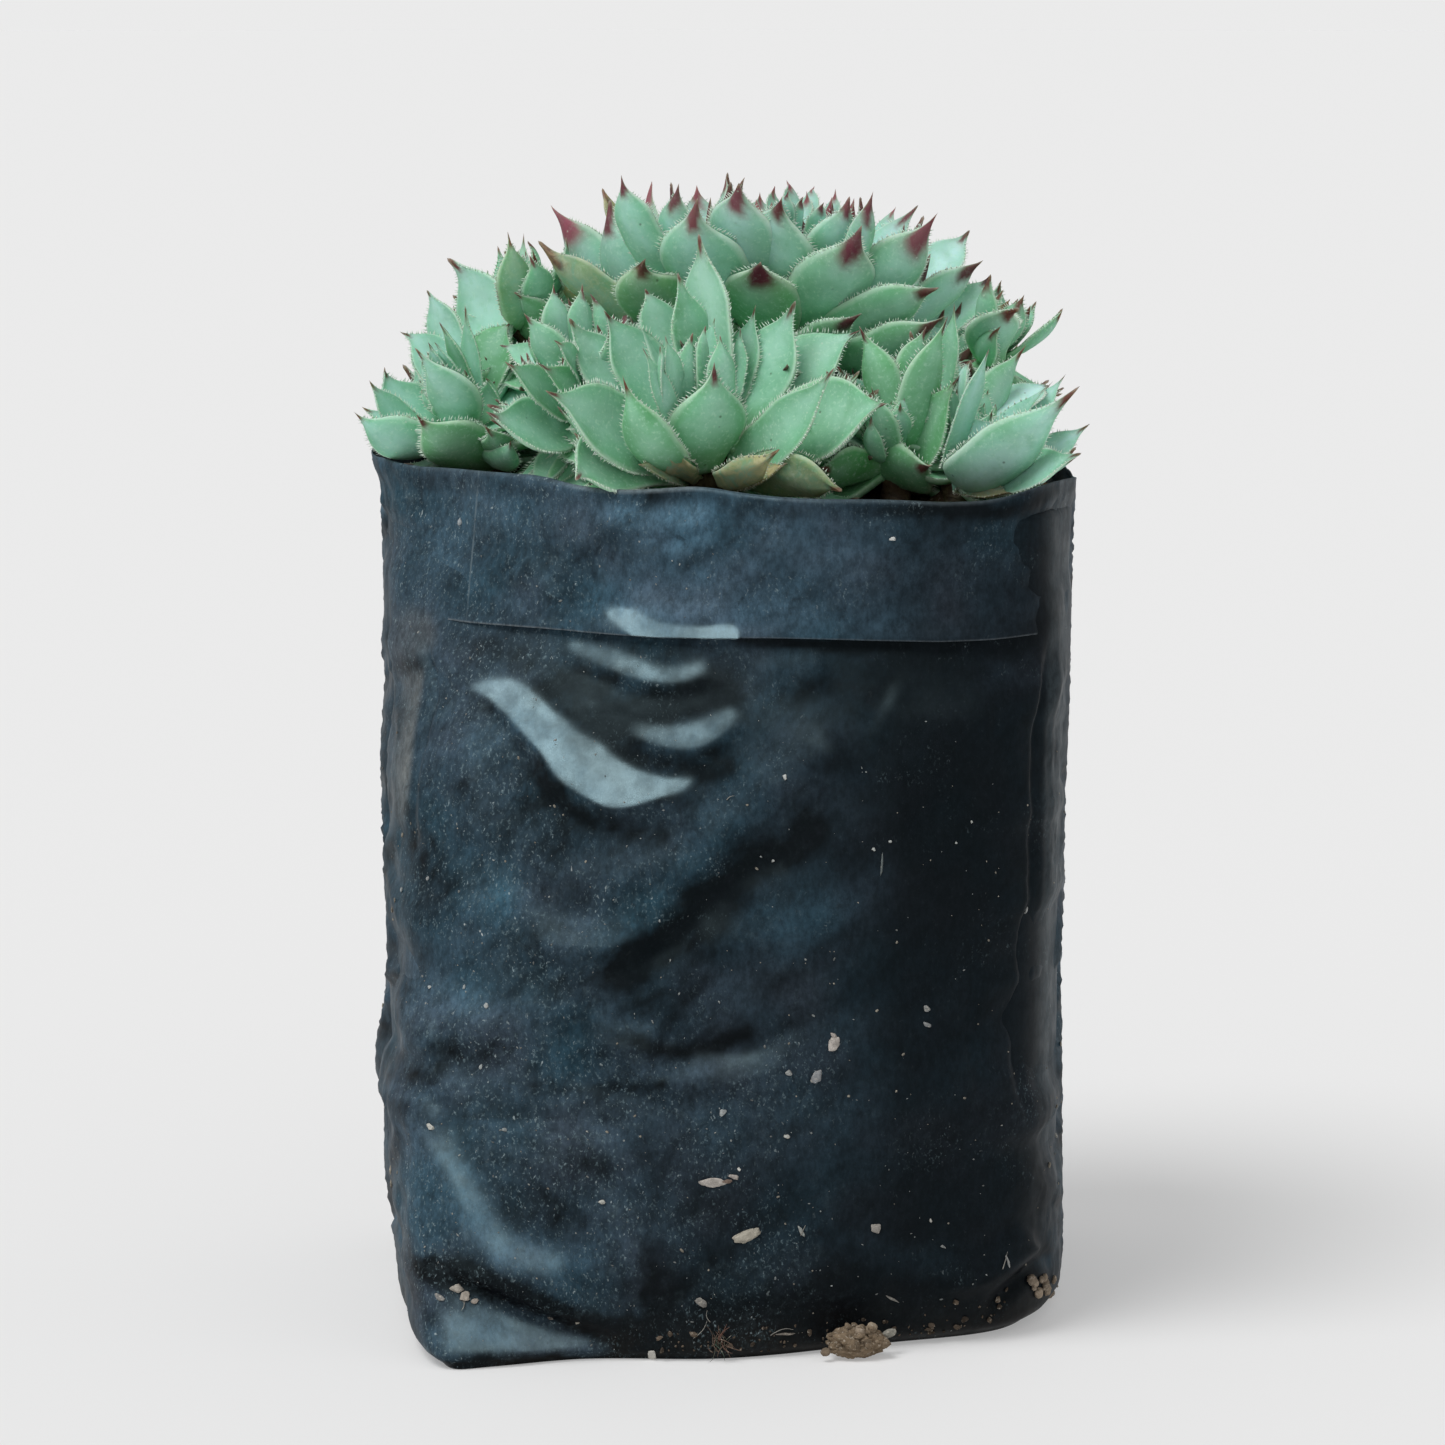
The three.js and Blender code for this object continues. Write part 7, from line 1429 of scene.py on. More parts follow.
    # flat foot and inner floor
    def cap(ring, z, top, steps):
        nonlocal n
        prev = ring
        ring_xy = P.reshape(-1, 3)[ring][:, :2]
        mid = np.array([0.0, 0.0])
        for f in steps:
            v = np.column_stack([mid + (ring_xy - mid) * f, np.full(NC, z)])
            V.append(v)
            C.append(np.tile([[0.006, 0.007, 0.009]], (NC, 1)))
            M.append(np.tile([[0.3, 0.0, 0.5]], (NC, 1)))
            cur = n + np.arange(NC)
            n += NC
            a, b = prev, np.roll(prev, -1)
            c_, d_ = np.roll(cur, -1), cur
            quads.append(np.stack([a, d_, c_, b] if not top else [a, b, c_, d_], -1))
            prev = cur
        V.append(np.array([[mid[0], mid[1], z]]))
        C.append(np.array([[0.006, 0.007, 0.009]]))
        M.append(np.array([[0.3, 0.0, 0.5]]))
        a, b = prev, np.roll(prev, -1)
        o = np.full(NC, n)
        n += 1
        return np.stack([a, o, b] if not top else [a, b, o], -1)
    t1 = cap(np.arange(NC), 0.0, False, (0.93, 0.5))
    t2 = cap((R - 1) * NC + np.arange(NC), 0.9, True, (0.93, 0.5))
    V, C, M = np.concatenate(V), np.concatenate(C), np.concatenate(M)
    # faces of the wall wind so that normals point out
    Q = np.concatenate(quads)
    o = make_mesh("grow_bag_film", V, [Q, np.concatenate([t1, t2])], {"col": C, "msk": M}, True, (FILM_MAT,))
    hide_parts("grow_bag")
    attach(o, "root")
    return P, N, part, rim_z


def film_material():
    n = Nodes("black_film")
    col = n.attr("col").outputs["Color"]
    m = n.split(n.attr("msk").outputs["Color"])
    # mottled dust
    d1 = n.rng(n.noise(620, 5, 0.74, 0.3), 0.44, 0.80)
    d2 = n.rng(n.noise(85, 4, 0.62, 0.6), 0.36, 0.74)
    c = n.mix(n.math("MULTIPLY", n.math("MULTIPLY", d1, d2), n.math("MULTIPLY", m[0], 0.70)), col, (0.100, 0.145, 0.165))
    # darker rubbed spots
    c = n.mix(n.math("MULTIPLY", n.rng(n.noise(340, 5, 0.72, 0.5), 0.52, 0.74), 0.55), c, (0.006, 0.007, 0.010))
    # fine pale grains of uneven outline, then fewer and larger crumbs
    keep = n.math("SUBTRACT", 1.0, n.math("MULTIPLY", m[1], 0.75))
    for scale, lo, hi, tone, gain in ((2400, 0.560, 0.690, (0.14, 0.20, 0.22), 0.62), (1700, 0.650, 0.710, (0.24, 0.31, 0.33), 0.68), (1050, 0.685, 0.725, (0.33, 0.39, 0.40), 0.72), (520, 0.740, 0.765, (0.46, 0.49, 0.48), 0.80)):
        spot = n.rng(n.noise(scale, 3, 0.62, 0.4, n.stretch(1.0, 1.0, 0.7, (0.3, 0.35, scale * 0.01))), lo, hi)
        clump = n.rng(n.math("ADD", n.noise(75, 5, 0.72), n.math("MULTIPLY", m[0], 0.36)), 0.54, 0.84, 0.02, 1.0)
        c = n.mix(n.math("MULTIPLY", n.math("MULTIPLY", spot, clump), n.math("MULTIPLY", keep, gain)), c, tone)
    c = n.mix(1.0, c, n.rng(n.noise(1250, 4, 0.75, 0.0, n.stretch(1.0, 1.0, 0.55)), 0.34, 0.66, 0.74, 1.28), "MULTIPLY")
    # rubbed streaks
    st = n.rng(n.noise(260, 4, 0.7, 0.0, n.stretch(1.0, 1.0, 0.22, (0, 0.25, 0))), 0.62, 0.76)
    c = n.mix(n.math("MULTIPLY", n.math("MULTIPLY", st, d2), n.math("MULTIPLY", m[0], 0.30)), c, (0.13, 0.18, 0.20))
    # the seam line of the folded mouth, a thin thread of film
    sep = n.t.nodes.new("ShaderNodeSeparateXYZ")
    n.link(n.co, sep.inputs[0])
    line = n.math("ABSOLUTE", n.math("SUBTRACT", n.math("ADD", sep.outputs[0], 0.0), n.math("MULTIPLY_ADD", sep.outputs[2], 0.083, -0.0462)))
    on = n.math("MULTIPLY", n.rng(line, 0.00006, 0.00017, 1.0, 0.0), n.math("MULTIPLY", n.rng(sep.outputs[1], -0.008, -0.006, 1.0, 0.0), n.rng(sep.outputs[2], 0.1040, 0.1046)))
    c = n.mix(n.math("MULTIPLY", on, n.rng(n.noise(300, 2), 0.35, 0.62, 0.08, 0.55)), c, (0.13, 0.17, 0.19))
    # taut facets lie flatter than the slack film round them
    g = n.t.nodes.new("ShaderNodeNewGeometry")
    flat = n.t.nodes.new("ShaderNodeMix")
    flat.data_type = "VECTOR"
    n.link(n.math("MULTIPLY", m[1], 1.0), flat.inputs[0])
    n.link(g.outputs["Normal"], flat.inputs[4])
    flat.inputs[5].default_value = FACET_N
    unit_n = n.t.nodes.new("ShaderNodeVectorMath")
    unit_n.operation = "NORMALIZE"
    n.link(flat.outputs[1], unit_n.inputs[0])
    h1 = n.bump(n.noise(2300, 3, 0.65), 0.08, 0.00003, unit_n.outputs[0])
    h2 = n.bump(n.noise(520, 4, 0.6, 0.4), 0.10, 0.00012, h1)
    h3 = n.bump(n.noise(190, 3, 0.5, 0.8), 0.08, 0.0004, h2)
    dull = n.rng(n.noise(210, 4, 0.6), 0.30, 0.70, 0.43, 0.58)
    rough = n.math("SUBTRACT", dull, n.math("MULTIPLY", n.math("MULTIPLY", m[1], m[2]), 0.22))
    mat = n.set(color=c, rough=rough, spec=0.09, normal=h3)
    n.bsdf.inputs["Specular Tint"].default_value = (0.60, 0.88, 0.96, 1)
    return mat


FACET_N = (-0.191, -0.826, 0.530)
FILM_MAT = film_material()
BAG_P, BAG_N, BAG_PART, BAG_RIM = build_bag()

# ---------------------------------------------------------------- soil
def soil_material(name, light=0.0):
    n = Nodes(name)
    f = n.noise(700, 6, 0.7, 0.3)
    g = n.noise(160, 4, 0.6)
    c = n.ramp(f, (0.30, (0.020 + light * .4, 0.013 + light * .3, 0.009 + light * .2)), (0.52, (0.075 + light, 0.048 + light * .8, 0.028 + light * .6)), (0.75, (0.20 + light * 1.6, 0.145 + light * 1.4, 0.095 + light * 1.1)))
    c = n.mix(n.math("MULTIPLY", n.rng(g, 0.55, 0.7), 0.5), c, (0.26 + light, 0.20 + light, 0.14 + light))
    v = n.voronoi(900)
    s = n.math("MULTIPLY", n.rng(v.outputs["Distance"], 0.10, 0.22, 1.0, 0.0), n.rng(n.split(v.outputs["Color"])[0], 0.84, 0.88))
    c = n.mix(n.math("MULTIPLY", s, 0.8), c, (0.50, 0.45, 0.36))
    return n.set(color=c, rough=0.95, spec=0.12, normal=n.bump(f, 0.9, 0.0012))


SOIL = soil_material("potting_soil")
GRIT = soil_material("soil_clod", 0.12)


def build_soil():
    nc, base = 168, plan(RIM_Z)
    idx = np.linspace(0, NC, nc, endpoint=False).astype(int)
    def loop(z, ins):
        p = plan(z)
        q = p - normals2(p) * ins
        return q[idx]
    rows = []
    rows.append(np.column_stack([loop(0.0, 6.0), np.full(nc, 1.5)]))
    for z, ins in ((1.6, 4.6), (4.0, 3.4), (14.0, 2.7), (32.0, 2.7), (50.0, 2.7), (68.0, 2.8), (85.0, 2.9), (96.0, 3.3), (105.0, 3.5), (112.0, 3.5), (116.5, 3.4)):
        q = loop(z, ins)
        rows.append(np.column_stack([q, np.full(nc, z)]))
    top = loop(RIM_Z, 2.5)
    n_top = 64
    for k in np.linspace(1.0, 0.02, n_top):
        x, y = top[:, 0] * k, top[:, 1] * k + 1.2 * (1 - k)
        e = smooth(1 - k, 0, 0.2)
        z = 118.6 * (1 - (0.5 + 0.5 * e)) + soil_top(x, y) * (0.5 + 0.5 * e)
        z = z + 0.9 * fbm(x * 0.35, y * 0.35, 3.1, 201, 4, 0.6) + 0.5 * np.abs(noise3(x * 1.1, y * 1.1, 0.5, 205)) - 0.4
        if k > 0.999:
            z = np.minimum(z, 119.0)
        rows.append(np.column_stack([x, y, z]))
    R = len(rows)
    V = np.concatenate(rows + [[[0, 1.2, float(rows[-1][:, 2].mean())]], [[0, 0, 1.5]]])
    i = np.arange(R - 1)[:, None] * nc
    j = np.arange(nc)[None]
    k = (j + 1) % nc
    q = np.stack([i + j, i + k, i + k + nc, i + j + nc], -1).reshape(-1, 4)
    a = (R - 1) * nc
    t = np.array([(a + w, a + (w + 1) % nc, R * nc) for w in range(nc)] + [((w + 1) % nc, w, R * nc + 1) for w in range(nc)])
    o = make_mesh("potting_soil_body", V, [q, t], None, True, (SOIL,))
    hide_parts("potting_soil")
    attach(o, "root")


# a unit lump: subdivided octahedron
def lump(sub):
    v = [np.array(p, float) for p in ((1, 0, 0), (-1, 0, 0), (0, 1, 0), (0, -1, 0), (0, 0, 1), (0, 0, -1))]
    f = [(0, 2, 4), (2, 1, 4), (1, 3, 4), (3, 0, 4), (2, 0, 5), (1, 2, 5), (3, 1, 5), (0, 3, 5)]
    for _ in range(sub):
        cache, g = {}, []
        def mid(a, b):
            key = (min(a, b), max(a, b))
            if key not in cache:
                cache[key] = len(v)
                v.append(unit(v[a] + v[b]))
            return cache[key]
        for a, b, c in f:
            x, y, z = mid(a, b), mid(b, c), mid(c, a)
            g += [(a, x, z), (x, b, y), (z, y, c), (x, y, z)]
        f = g
    return np.array(v), np.array(f)


LUMPS = {s: lump(s) for s in (1, 2, 3, 4, 5)}


def pebble(heap, centre, size, axes, sub, seed, rough=0.22, col=(0.2, 0.15, 0.1), lo_clip=0.0, cut=0):
    v, f = LUMPS[sub]
    if cut:
        # broken faces instead of a round outline
        cr = np.random.default_rng(7000 + seed)
        n_ = cr.normal(size=(cut, 3))
        n_[: cut * 2 // 3, 2] *= 0.25
        n_ /= np.linalg.norm(n_, axis=1)[:, None]
        reach = np.min(cr.uniform(0.50, 0.85, cut)[None] / np.maximum(v @ n_.T, 0.05), axis=1)
        v = v * np.clip(reach, 0.45, 1.25)[:, None]
    n = fbm(v[:, 0] * 1.7 + seed, v[:, 1] * 1.7, v[:, 2] * 1.7, 300 + seed % 50, 4, 0.62)
    b = np.abs(noise3(v[:, 0] * 4.2 + seed, v[:, 1] * 4.2, v[:, 2] * 4.2, 311))
    w = v * (1 + rough * n + rough * 0.5 * (0.5 - b))[:, None]
    p = w * np.asarray(size, float)[None] @ np.asarray(axes, float)
    p = p + np.asarray(centre, float)
    if lo_clip is not None:
        p[:, 2] = np.maximum(p[:, 2], lo_clip)
    c = np.tile(np.array(col, float), (len(p), 1)) * (1 + 0.35 * n[:, None])
    heap.add(p, np.zeros((0, 4)), f, np.clip(c, 0.003, 0.9), np.tile([[0.5, 0.0, 0.5]], (len(p), 1)))


def grit_material():
    n = Nodes("grit")
    col = n.attr("col").outputs["Color"]
    f = n.noise(1100, 5, 0.7)
    c = n.mix(n.rng(f, 0.35, 0.7, 0.0, 0.55), col, n.mix(0.6, col, (0.03, 0.02, 0.015)))
    c = n.mix(n.math("MULTIPLY", n.rng(n.noise(2100, 2, 0.6), 0.58, 0.7), 0.5), c, (0.62, 0.56, 0.47))
    return n.set(color=c, rough=0.95, spec=0.12, normal=n.bump(f, 0.8, 0.0006))


GRIT_MAT = grit_material()


def on_film(x, y):
    """point and outward normal of the film where the view shows pixel (x, y)"""
    rows = np.isin(BAG_PART, ("wall", "cuff"))
    idx = np.where(rows)[0]
    P = BAG_P[idx]
    px, py = project(P)
    d = (px - x) ** 2 + (py - y) ** 2 + np.where(BAG_N[idx][..., 1] > -0.1, 1e6, 0) + np.where((BAG_PART[idx][:, None] == "wall") & (P[..., 2] > 105), 1e5, 0)
    a, b = np.unravel_index(np.argmin(d), d.shape)
    a = int(np.clip(a, 1, len(idx) - 2))
    p = P[a, b]
    e1 = P[a, (b + 1) % NC] - P[a, b - 1]
    e2 = P[a + 1, b] - P[a - 1, b]
    n = unit(np.cross(e1, e2))
    if n @ BAG_N[idx][a, b] < 0:
        n = -n
    return p, n


def from_axes(n, spin):
    e = unit(np.cross([0, 0, 1.0], n)) if abs(n[2]) < 0.95 else np.array([1.0, 0, 0])
    g = np.cross(n, e)
    a = e * math.cos(spin) + g * math.sin(spin)
    return np.array([a, np.cross(n, a), n])


def build_dirt():
    # clod of soil at the foot, on the floor
    h = Heap()
    rng = np.random.default_rng(91)
    main = from_axes(np.array([0.0, 0, 1]), math.radians(12))
    pebble(h, (19.4, -44.4, 2.15), (4.3, 2.3, 2.15), main, 5, 3, 0.34, (0.21, 0.155, 0.10), 0.0)
    for k in range(64):
        a, e = rng.uniform(0, 6.28), rng.uniform(0.05, 1.3)
        r = rng.uniform(.35, .95)
        c = np.array([19.4, -44.4, 2.1]) + (np.array([math.cos(a) * math.cos(e) * 4.1, math.sin(a) * math.cos(e) * 2.2, math.sin(e) * 2.1])) @ np.eye(3)
        t = rng.uniform(.7, 1.5)
        pebble(h, c, (r, r * rng.uniform(.6, 1), r * rng.uniform(.5, .9)), from_axes(unit(rng.normal(size=3)), rng.uniform(0, 6)), 2, 10 + k, 0.35, (0.20 * t, 0.15 * t, 0.10 * t), 0.0, 8)
    pebble(h, (21.6, -44.2, 4.25), (.9, .8, .75), from_axes(unit([.3, -.8, .5]), 1), 3, 91, 0.25, (0.36, 0.29, 0.21))
    pebble(h, (19.9, -45.2, 4.0), (1.0, .8, .8), from_axes(unit([-.3, -.8, .5]), 2), 3, 92, 0.25, (0.34, 0.27, 0.20))
    pebble(h, (24.2, -42.6, 3.1), (1.1, .6, .5), from_axes(unit([.2, -.9, .3]), .3), 3, 93, 0.25, (0.30, 0.29, 0.25))
    pebble(h, (14.9, -46.6, 1.4), (.75, .6, .55), from_axes(unit([.2, -.9, .3]), .3), 3, 94, 0.25, (0.22, 0.17, 0.12), 0.0)
    # crumbs that trickled along the foot
    for k in range(90):
        x = rng.uniform(650, 1010)
        p, n = on_film(x, np.interp(x, [650, 760, 860, 960, 1010], [1354, 1350, 1342, 1328, 1314]) - 26 * rng.uniform() ** 2.2)
        r = 0.14 + 0.42 * rng.uniform() ** 2.5
        t = rng.uniform(.35, 1.1)
        pebble(h, p + n * r * 0.3, (r * 1.3, r, r * .7), from_axes(n, rng.uniform(0, 6)), 2 if r > .3 else 1, 230 + k, 0.35, (0.13 * t, 0.098 * t, 0.070 * t), 0.0, 7)
    # the clod stuck low on the right corner
    for k in range(16):
        p, n = on_film(1031 + rng.uniform(0, 22), 1297 - rng.uniform(0, 22) - 0)
        r = rng.uniform(.35, .95)
        t = rng.uniform(.7, 1.4)
        pebble(h, p + n * 0.25, (r * 1.2, r, r * .7), from_axes(n, rng.uniform(0, 6)), 3 if r > .7 else 2, 130 + k, 0.35, (0.30 * t, 0.24 * t, 0.18 * t), 0.05)
    o = h.build("spilt_clods", GRIT_MAT)
    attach(o, "root")
    # flakes and grit on the film
    h = Heap()
    flakes = [  # x, y, half length, half height (mm), spin deg, tone
        (714, 1180, 1.75, .62, 4, (0.50, 0.46, 0.42)), (728, 1180, .9, .28, -8, (0.22, 0.16, 0.13)), (737, 1178, .75, .42, 20, (0.42, 0.38, 0.35)),
        (744, 1237, 1.95, 1.05, -14, (0.44, 0.41, 0.34)), (834, 1044, .75, 1.3, 10, (0.52, 0.48, 0.44)), (834, 1036, .35, .8, -20, (0.46, 0.42, 0.38)),
        (817, 1078, .85, .95, 30, (0.27, 0.28, 0.29)), (876, 1229, .8, .7, 40, (0.34, 0.32, 0.29)), (458, 1289, .85, .75, 20, (0.50, 0.46, 0.40)),
        (465, 1296, .8, .6, -30, (0.46, 0.41, 0.35)), (474, 1301, .7, .45, 10, (0.42, 0.37, 0.32)), (440, 1296, .8, .45, 10, (0.28, 0.28, 0.27)),
        (652, 1355, .72, .95, 4, (0.62, 0.60, 0.55)), (432, 1126, .75, .42, -10, (0.55, 0.55, 0.50)), (699, 1302, .8, .55, 50, (0.25, 0.24, 0.22)),
        (892, 540, .40, .35, 0, (0.66, 0.68, 0.66)), (788, 1138, .5, .38, 15, (0.46, 0.46, 0.43)), (790, 1074, .55, .42, 15, (0.36, 0.37, 0.36)),
        (604, 1200, .45, .3, 15, (0.50, 0.50, 0.46)), (738, 1170, .28, .28, 15, (0.62, 0.62, 0.58)), (786, 778, .32, .36, 15, (0.60, 0.62, 0.60)),
        (1026, 911, .28, .8, 15, (0.42, 0.43, 0.42)), (882, 864, .16, 1.5, 5, (0.16, 0.19, 0.19)), (873, 851, .26, .26, 5, (0.46, 0.48, 0.46)),
        (891, 842, .26, .26, 5, (0.46, 0.48, 0.46)), (774, 859, .22, .26, 5, (0.46, 0.48, 0.46)), (956, 845, .2, .2, 5, (0.42, 0.44, 0.42)),
        (971, 820, .2, .24, 5, (0.42, 0.44, 0.42)), (800, 1231, .26, .9, -28, (0.34, 0.36, 0.34)), (927, 1008, .7, .35, 20, (0.28, 0.29, 0.28)),
        (925, 1026, .5, .4, 20, (0.24, 0.25, 0.25)), (945, 1245, .5, .22, 40, (0.28, 0.29, 0.28)), (1055, 1135, .3, .4, 0, (0.40, 0.40, 0.37)),
        (932, 1220, .22, .34, -30, (0.46, 0.46, 0.43)), (577, 1322, .3, .24, 0, (0.38, 0.35, 0.30)), (551, 1317, .5, .4, 0, (0.12, 0.11, 0.10)),
        (461, 521, .34, .5, 20, (0.40, 0.44, 0.46)), (503, 1130, .5, .3, 10, (0.30, 0.33, 0.33)), (488, 1008, .3, .45, 10, (0.50, 0.54, 0.54)),
        (430, 988, .35, .3, 10, (0.50, 0.54, 0.54)), (464, 988, .22, .45, 10, (0.50, 0.54, 0.54)), (402, 890, .5, .32, 30, (0.34, 0.37, 0.37)),
        (428, 877, .3, .35, 30, (0.40, 0.42, 0.42)), (479, 1068, .2, .5, 10, (0.46, 0.50, 0.50)), (723, 1111, .55, .45, 10, (0.42, 0.45, 0.45)),
        (893, 1300, 1.4, .22, 28, (0.26, 0.25, 0.23)), (1008, 1262, .2, 1.1, -20, (0.36, 0.37, 0.36)), (786, 1335, 1.7, .2, 2, (0.26, 0.23, 0.20)),
    ]
    for k, (x, y, a, b, sp, tone) in enumerate(flakes):
        p, n = on_film(x, y)
        th = 0.26 * min(a, b) + 0.10
        pebble(h, p + n * th * 0.35, (a * 1.12, b * 1.12, th), from_axes(n, math.radians(-sp)), 4 if max(a, b) > 1.0 else 3 if max(a, b) > .35 else 2, 400 + k, 0.20, tone, 0.03, 9)
    rng = np.random.default_rng(17)
    for k in range(520):
        u = rng.uniform()
        if u < .62:
            x, y = 392 + 330 * rng.uniform() ** 1.3, rng.uniform(520, 1350)
        elif u < .86:
            x, y = rng.uniform(430, 1000), rng.uniform(1080, 1350)
        else:
            x, y = rng.uniform(740, 1050), rng.uniform(700, 1330)
        r = 0.05 + 0.12 * rng.uniform() ** 3
        p, n = on_film(x, y)
        t = rng.uniform(.22, .62)
        pebble(h, p + n * r * 0.1, (r * rng.uniform(1, 2.2), r, r * .4), from_axes(n, rng.uniform(0, 6)), 1, 900 + k, 0.35, (0.56 * t, 0.61 * t, 0.60 * t), 0.0, 6)
    # grit round the foot of the bag and at its other sides
    wall = np.where(BAG_PART == "wall")[0]
    for k in range(260):
        r_i = wall[int(rng.integers(4, 150))]
        c_i = int(rng.integers(0, NC))
        p = BAG_P[r_i, c_i]
        n = unit(BAG_N[r_i, c_i])
        r = 0.12 + 0.32 * rng.uniform() ** 3
        if n[1] < -0.3:
            r *= 0.45
        t = rng.uniform(.35, .8)
        pebble(h, p + n * r * 0.2, (r * rng.uniform(1, 1.8), r, r * .5), from_axes(n, rng.uniform(0, 6)), 2 if r > .25 else 1, 2000 + k, 0.3, (0.50 * t, 0.46 * t, 0.38 * t), 0.03)
    o = h.build("grit_on_film", GRIT_MAT)
    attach(o, "root")
    # a torn brown fibre tuft at the foot
    h = Heap()
    p0, n0 = on_film(718, 1340)
    for k in range(26):
        root = p0 + np.array([rng.uniform(-1.0, 1.0), 0, rng.uniform(-1.6, 0.6)]) + n0 * 0.15
        dr = unit(np.array([rng.uniform(-.5, .5), -0.15, rng.uniform(.2, 1.0) * rng.choice([1, 1, -.4])]))
        ln, r = rng.uniform(1.2, 3.6), rng.uniform(.06, .13)
        fibre(h, root, dr, ln, r, rng, (0.13 * rng.uniform(.5, 1.6), 0.10, 0.075), n0)
    for x, y, dx, dz, ln in ((695, 1338, .55, .85, 3.2), (771, 1336, 1.0, .03, 3.4), (712, 1322, -.1, 1, 1.8), (1003, 1268, .35, .95, 2.6), (800, 1234, .45, .9, 1.6), (727, 800, .9, .35, 1.2), (463, 1300, -.4, -.9, 1.4)):
        p, n = on_film(x, y)
        fibre(h, p + n * 0.12, unit(np.array([dx, 0, dz]) - n * (np.array([dx, 0, dz]) @ n)), ln, 0.09, rng, (0.30, 0.29, 0.26), n)
    o = h.build("dry_fibres", GRIT_MAT)
    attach(o, "root")


def fibre(heap, root, dr, ln, r, rng, col, n):
    m, k = 7, 5
    side = unit(np.cross(dr, n))
    bend = rng.uniform(-.25, .25)
    V = []
    for i in range(m):
        f = i / (m - 1)
        c = root + dr * ln * f + side * bend * ln * math.sin(math.pi * f * .8) + n * 0.12 * math.sin(math.pi * f)
        rr = r * (1 - 0.7 * f)
        a = 2 * math.pi * np.arange(k) / k
        V.append(c + np.outer(np.cos(a) * rr, side) + np.outer(np.sin(a) * rr, n))
    V = np.concatenate(V + [[V[0].mean(0)], [V[-1].mean(0) + dr * r]])
    V[:, 2] = np.maximum(V[:, 2], 0.02)
    i = np.arange(m - 1)[:, None] * k
    j = np.arange(k)[None]
    q = np.stack([i + j, i + (j + 1) % k, i + (j + 1) % k + k, i + j + k], -1).reshape(-1, 4)
    t = np.array([(m * k, (w + 1) % k, w) for w in range(k)] + [((m - 1) * k + w, (m - 1) * k + (w + 1) % k, m * k + 1) for w in range(k)])
    heap.add(V, q, t, np.tile(np.array(col, float), (len(V), 1)), np.tile([[0.5, 0.0, 0.5]], (len(V), 1)))


def build_crumbs():
    """loose crumbs, bark bits and grit lying on the soil between the rosettes"""
    h = Heap()
    rng = np.random.default_rng(55)
    edge = plan(RIM_Z)
    r_edge = np.hypot(edge[:, 0], edge[:, 1])
    th = np.arctan2(edge[:, 1], edge[:, 0])
    o_ = np.argsort(th)
    for k in range(520):
        a = rng.uniform(-math.pi, math.pi)
        R = np.interp(a, th[o_], r_edge[o_], period=2 * math.pi) - 4.0
        f = math.sqrt(rng.uniform(0.05, 1)) if rng.uniform() < .5 else rng.uniform(.8, 1)
        x, y = math.cos(a) * R * f, math.sin(a) * R * f
        z = float(soil_top(x, y))
        e = float(smooth(1 - f, 0, 0.2))
        z = 118.6 * (1 - (0.5 + 0.5 * e)) + z * (0.5 + 0.5 * e)
        r = 0.35 + 1.3 * rng.uniform() ** 3
        t = rng.uniform(.5, 1.7)
        col = (0.13 * t, 0.088 * t, 0.052 * t)
        if rng.uniform() < .07:
            col = (0.52, 0.50, 0.45)
        pebble(h, (x, y, z + r * .25), (r * rng.uniform(1, 1.7), r, r * .7), from_axes(unit(rng.normal(size=3)), rng.uniform(0, 6)), 2 if r > .75 else 1, 3000 + k, 0.35, col)
    o = h.build("soil_crumbs", GRIT_MAT)
    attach(o, "root")


build_soil()
build_dirt()
build_crumbs()

# ---------------------------------------------------------------- floor, light, camera
def floor_material():
    n = Nodes("studio_floor")
    n.bsdf.inputs["Emission Color"].default_value = (1.0, 1.0, 1.0, 1)
    n.bsdf.inputs["Emission Strength"].default_value = FLOOR_GLOW
    return n.set(color=(FLOOR, FLOOR, FLOOR), rough=0.9, spec=0.0)


FLOOR = 0.55
FLOOR_GLOW = 0.30
floor_me = bpy.data.meshes.new("studio_floor")
FAR = 60.0
floor_me.from_pydata([(-FAR, -FAR, 0), (FAR, -FAR, 0), (FAR, FAR, 0), (-FAR, FAR, 0)], [], [(0, 1, 2, 3)])
floor_me.materials.append(floor_material())
floor = bpy.data.objects.new("studio_floor", floor_me)
bpy.context.scene.collection.objects.link(floor)
floor.location.z = -0.0001

# a plain backdrop of the floor's own brightness far behind, so that low views have no horizon
def backdrop_material():
    n = Nodes("studio_backdrop")
    n.bsdf.inputs["Emission Color"].default_value = (1.0, 1.0, 1.0, 1)
    n.bsdf.inputs["Emission Strength"].default_value = 0.8276
    return n.set(color=(0.0, 0.0, 0.0), rough=1.0, spec=0.0)


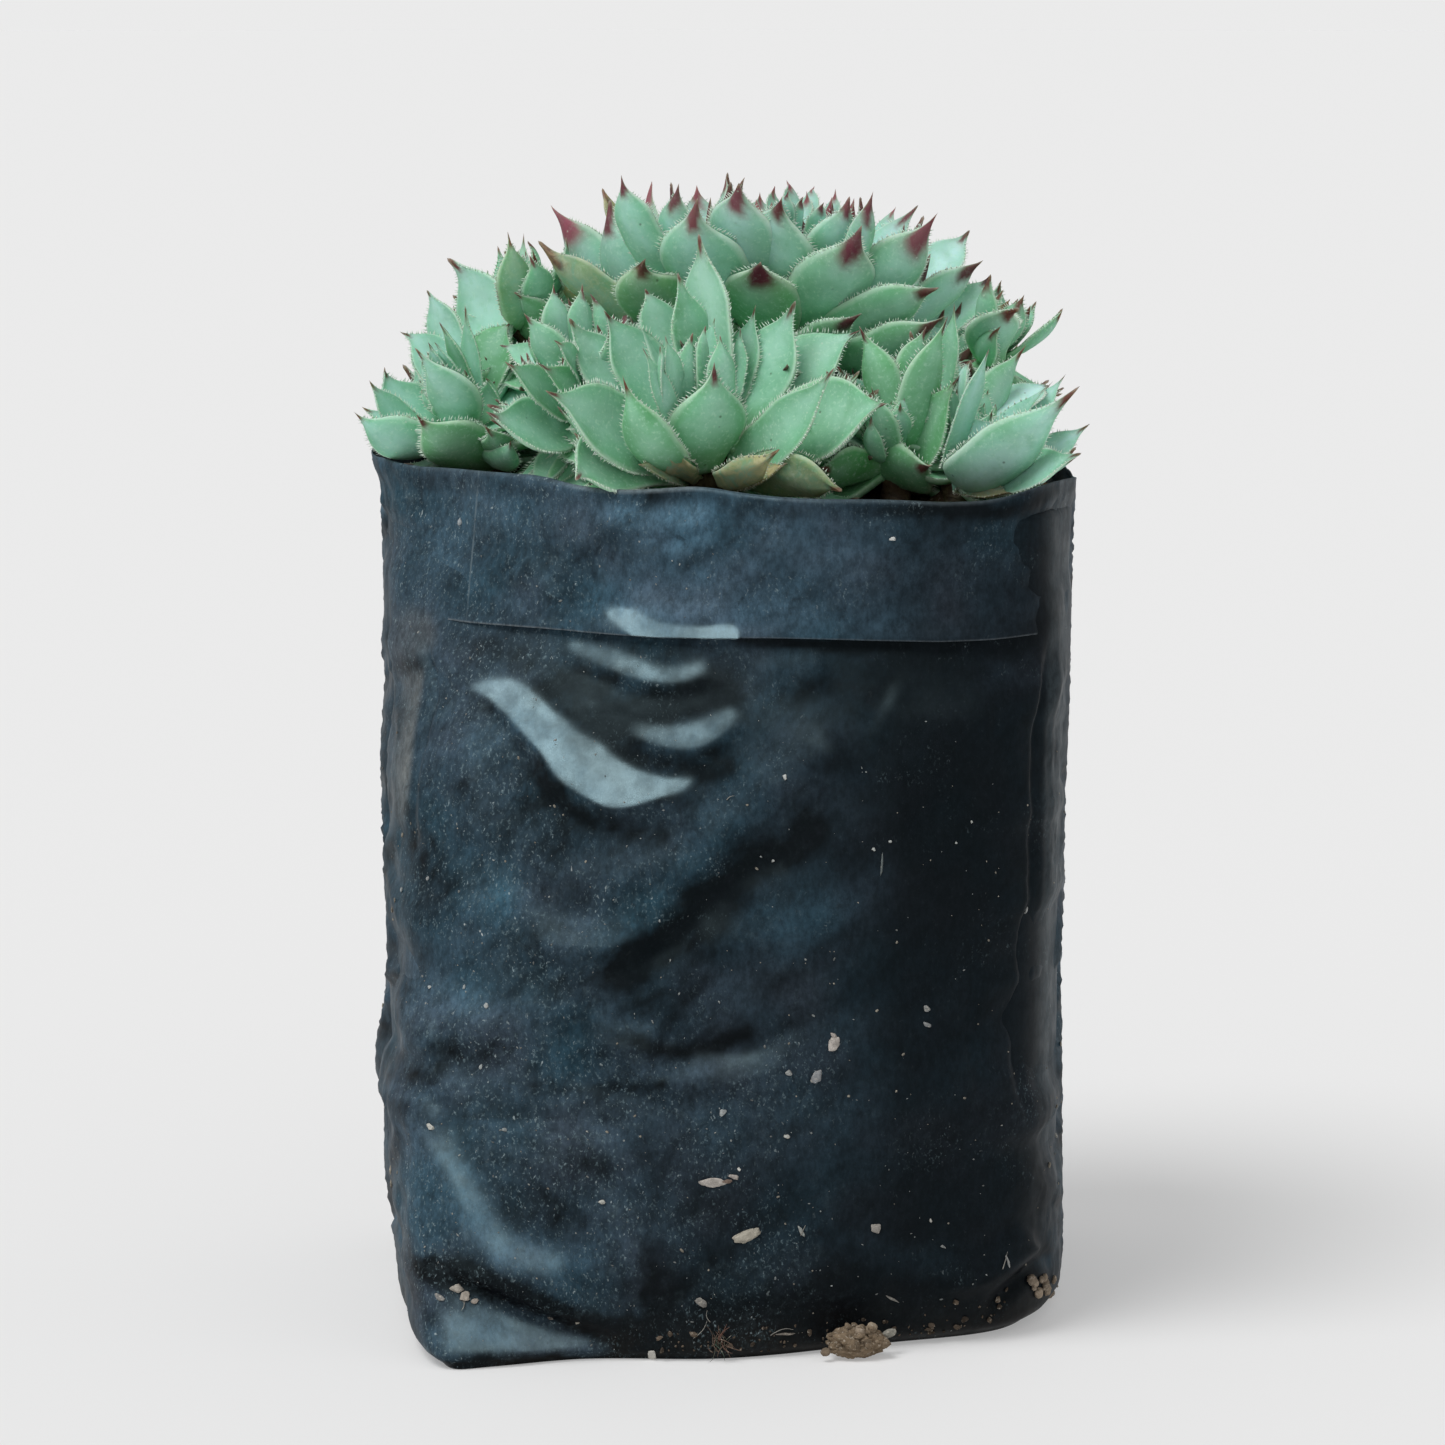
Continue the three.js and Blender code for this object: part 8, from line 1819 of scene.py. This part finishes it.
ring = [(9.0 * math.cos(2 * math.pi * i / 96), 9.0 * math.sin(2 * math.pi * i / 96)) for i in range(96)]
back_me = bpy.data.meshes.new("studio_backdrop")
back_me.from_pydata([(x, y, z) for z in (-0.01, 5.0) for x, y in ring], [], [(i, (i + 1) % 96, 96 + (i + 1) % 96, 96 + i) for i in range(96)])
back_me.materials.append(backdrop_material())
backdrop = bpy.data.objects.new("studio_backdrop", back_me)
bpy.context.scene.collection.objects.link(backdrop)
backdrop.visible_diffuse = False
backdrop.visible_glossy = False
backdrop.visible_transmission = False
backdrop.visible_shadow = False

world = bpy.data.worlds.new("studio")
bpy.context.scene.world = world
world.use_nodes = True
bg = world.node_tree.nodes["Background"]
bg.inputs[0].default_value = (1.0, 1.0, 1.0, 1)
bg.inputs[1].default_value = 0.48


def sun(name, direction, strength, angle, glossy=True):
    li = bpy.data.lights.new(name, "SUN")
    li.energy = strength
    li.angle = math.radians(angle)
    o = bpy.data.objects.new(name, li)
    bpy.context.scene.collection.objects.link(o)
    from mathutils import Vector
    o.rotation_euler = Vector(direction).to_track_quat("Z", "Y").to_euler()
    o.visible_glossy = glossy
    return o


def softbox(name, pos, target, size, power, diffuse=True, glossy=True):
    li = bpy.data.lights.new(name, "AREA")
    li.shape = "RECTANGLE"
    li.size, li.size_y = size
    li.energy = power
    o = bpy.data.objects.new(name, li)
    bpy.context.scene.collection.objects.link(o)
    from mathutils import Vector
    o.location = pos
    o.rotation_euler = (Vector(pos) - Vector(target)).to_track_quat("Z", "Y").to_euler()
    o.visible_diffuse = diffuse
    o.visible_glossy = glossy
    return o


sun("key", (-0.46, -0.36, 1.00), 1.75, 30, True)
softbox("front_box", (-0.59, -0.87, 1.43), (0, 0, 0.09), (0.75, 0.50), 74.0, False, True)

cam_data = bpy.data.cameras.new("camera")
cam_data.sensor_width = 36
cam_data.lens = 36 * FOCAL / 1445
cam_data.clip_end = 200
cam = bpy.data.objects.new("camera", cam_data)
bpy.context.scene.collection.objects.link(cam)
cam.location = CAM * MM
cam.rotation_euler = (math.pi / 2 - PITCH, 0, 0)
bpy.context.scene.camera = cam

bpy.context.scene.view_settings.view_transform = "Standard"
bpy.context.scene.view_settings.look = "None"
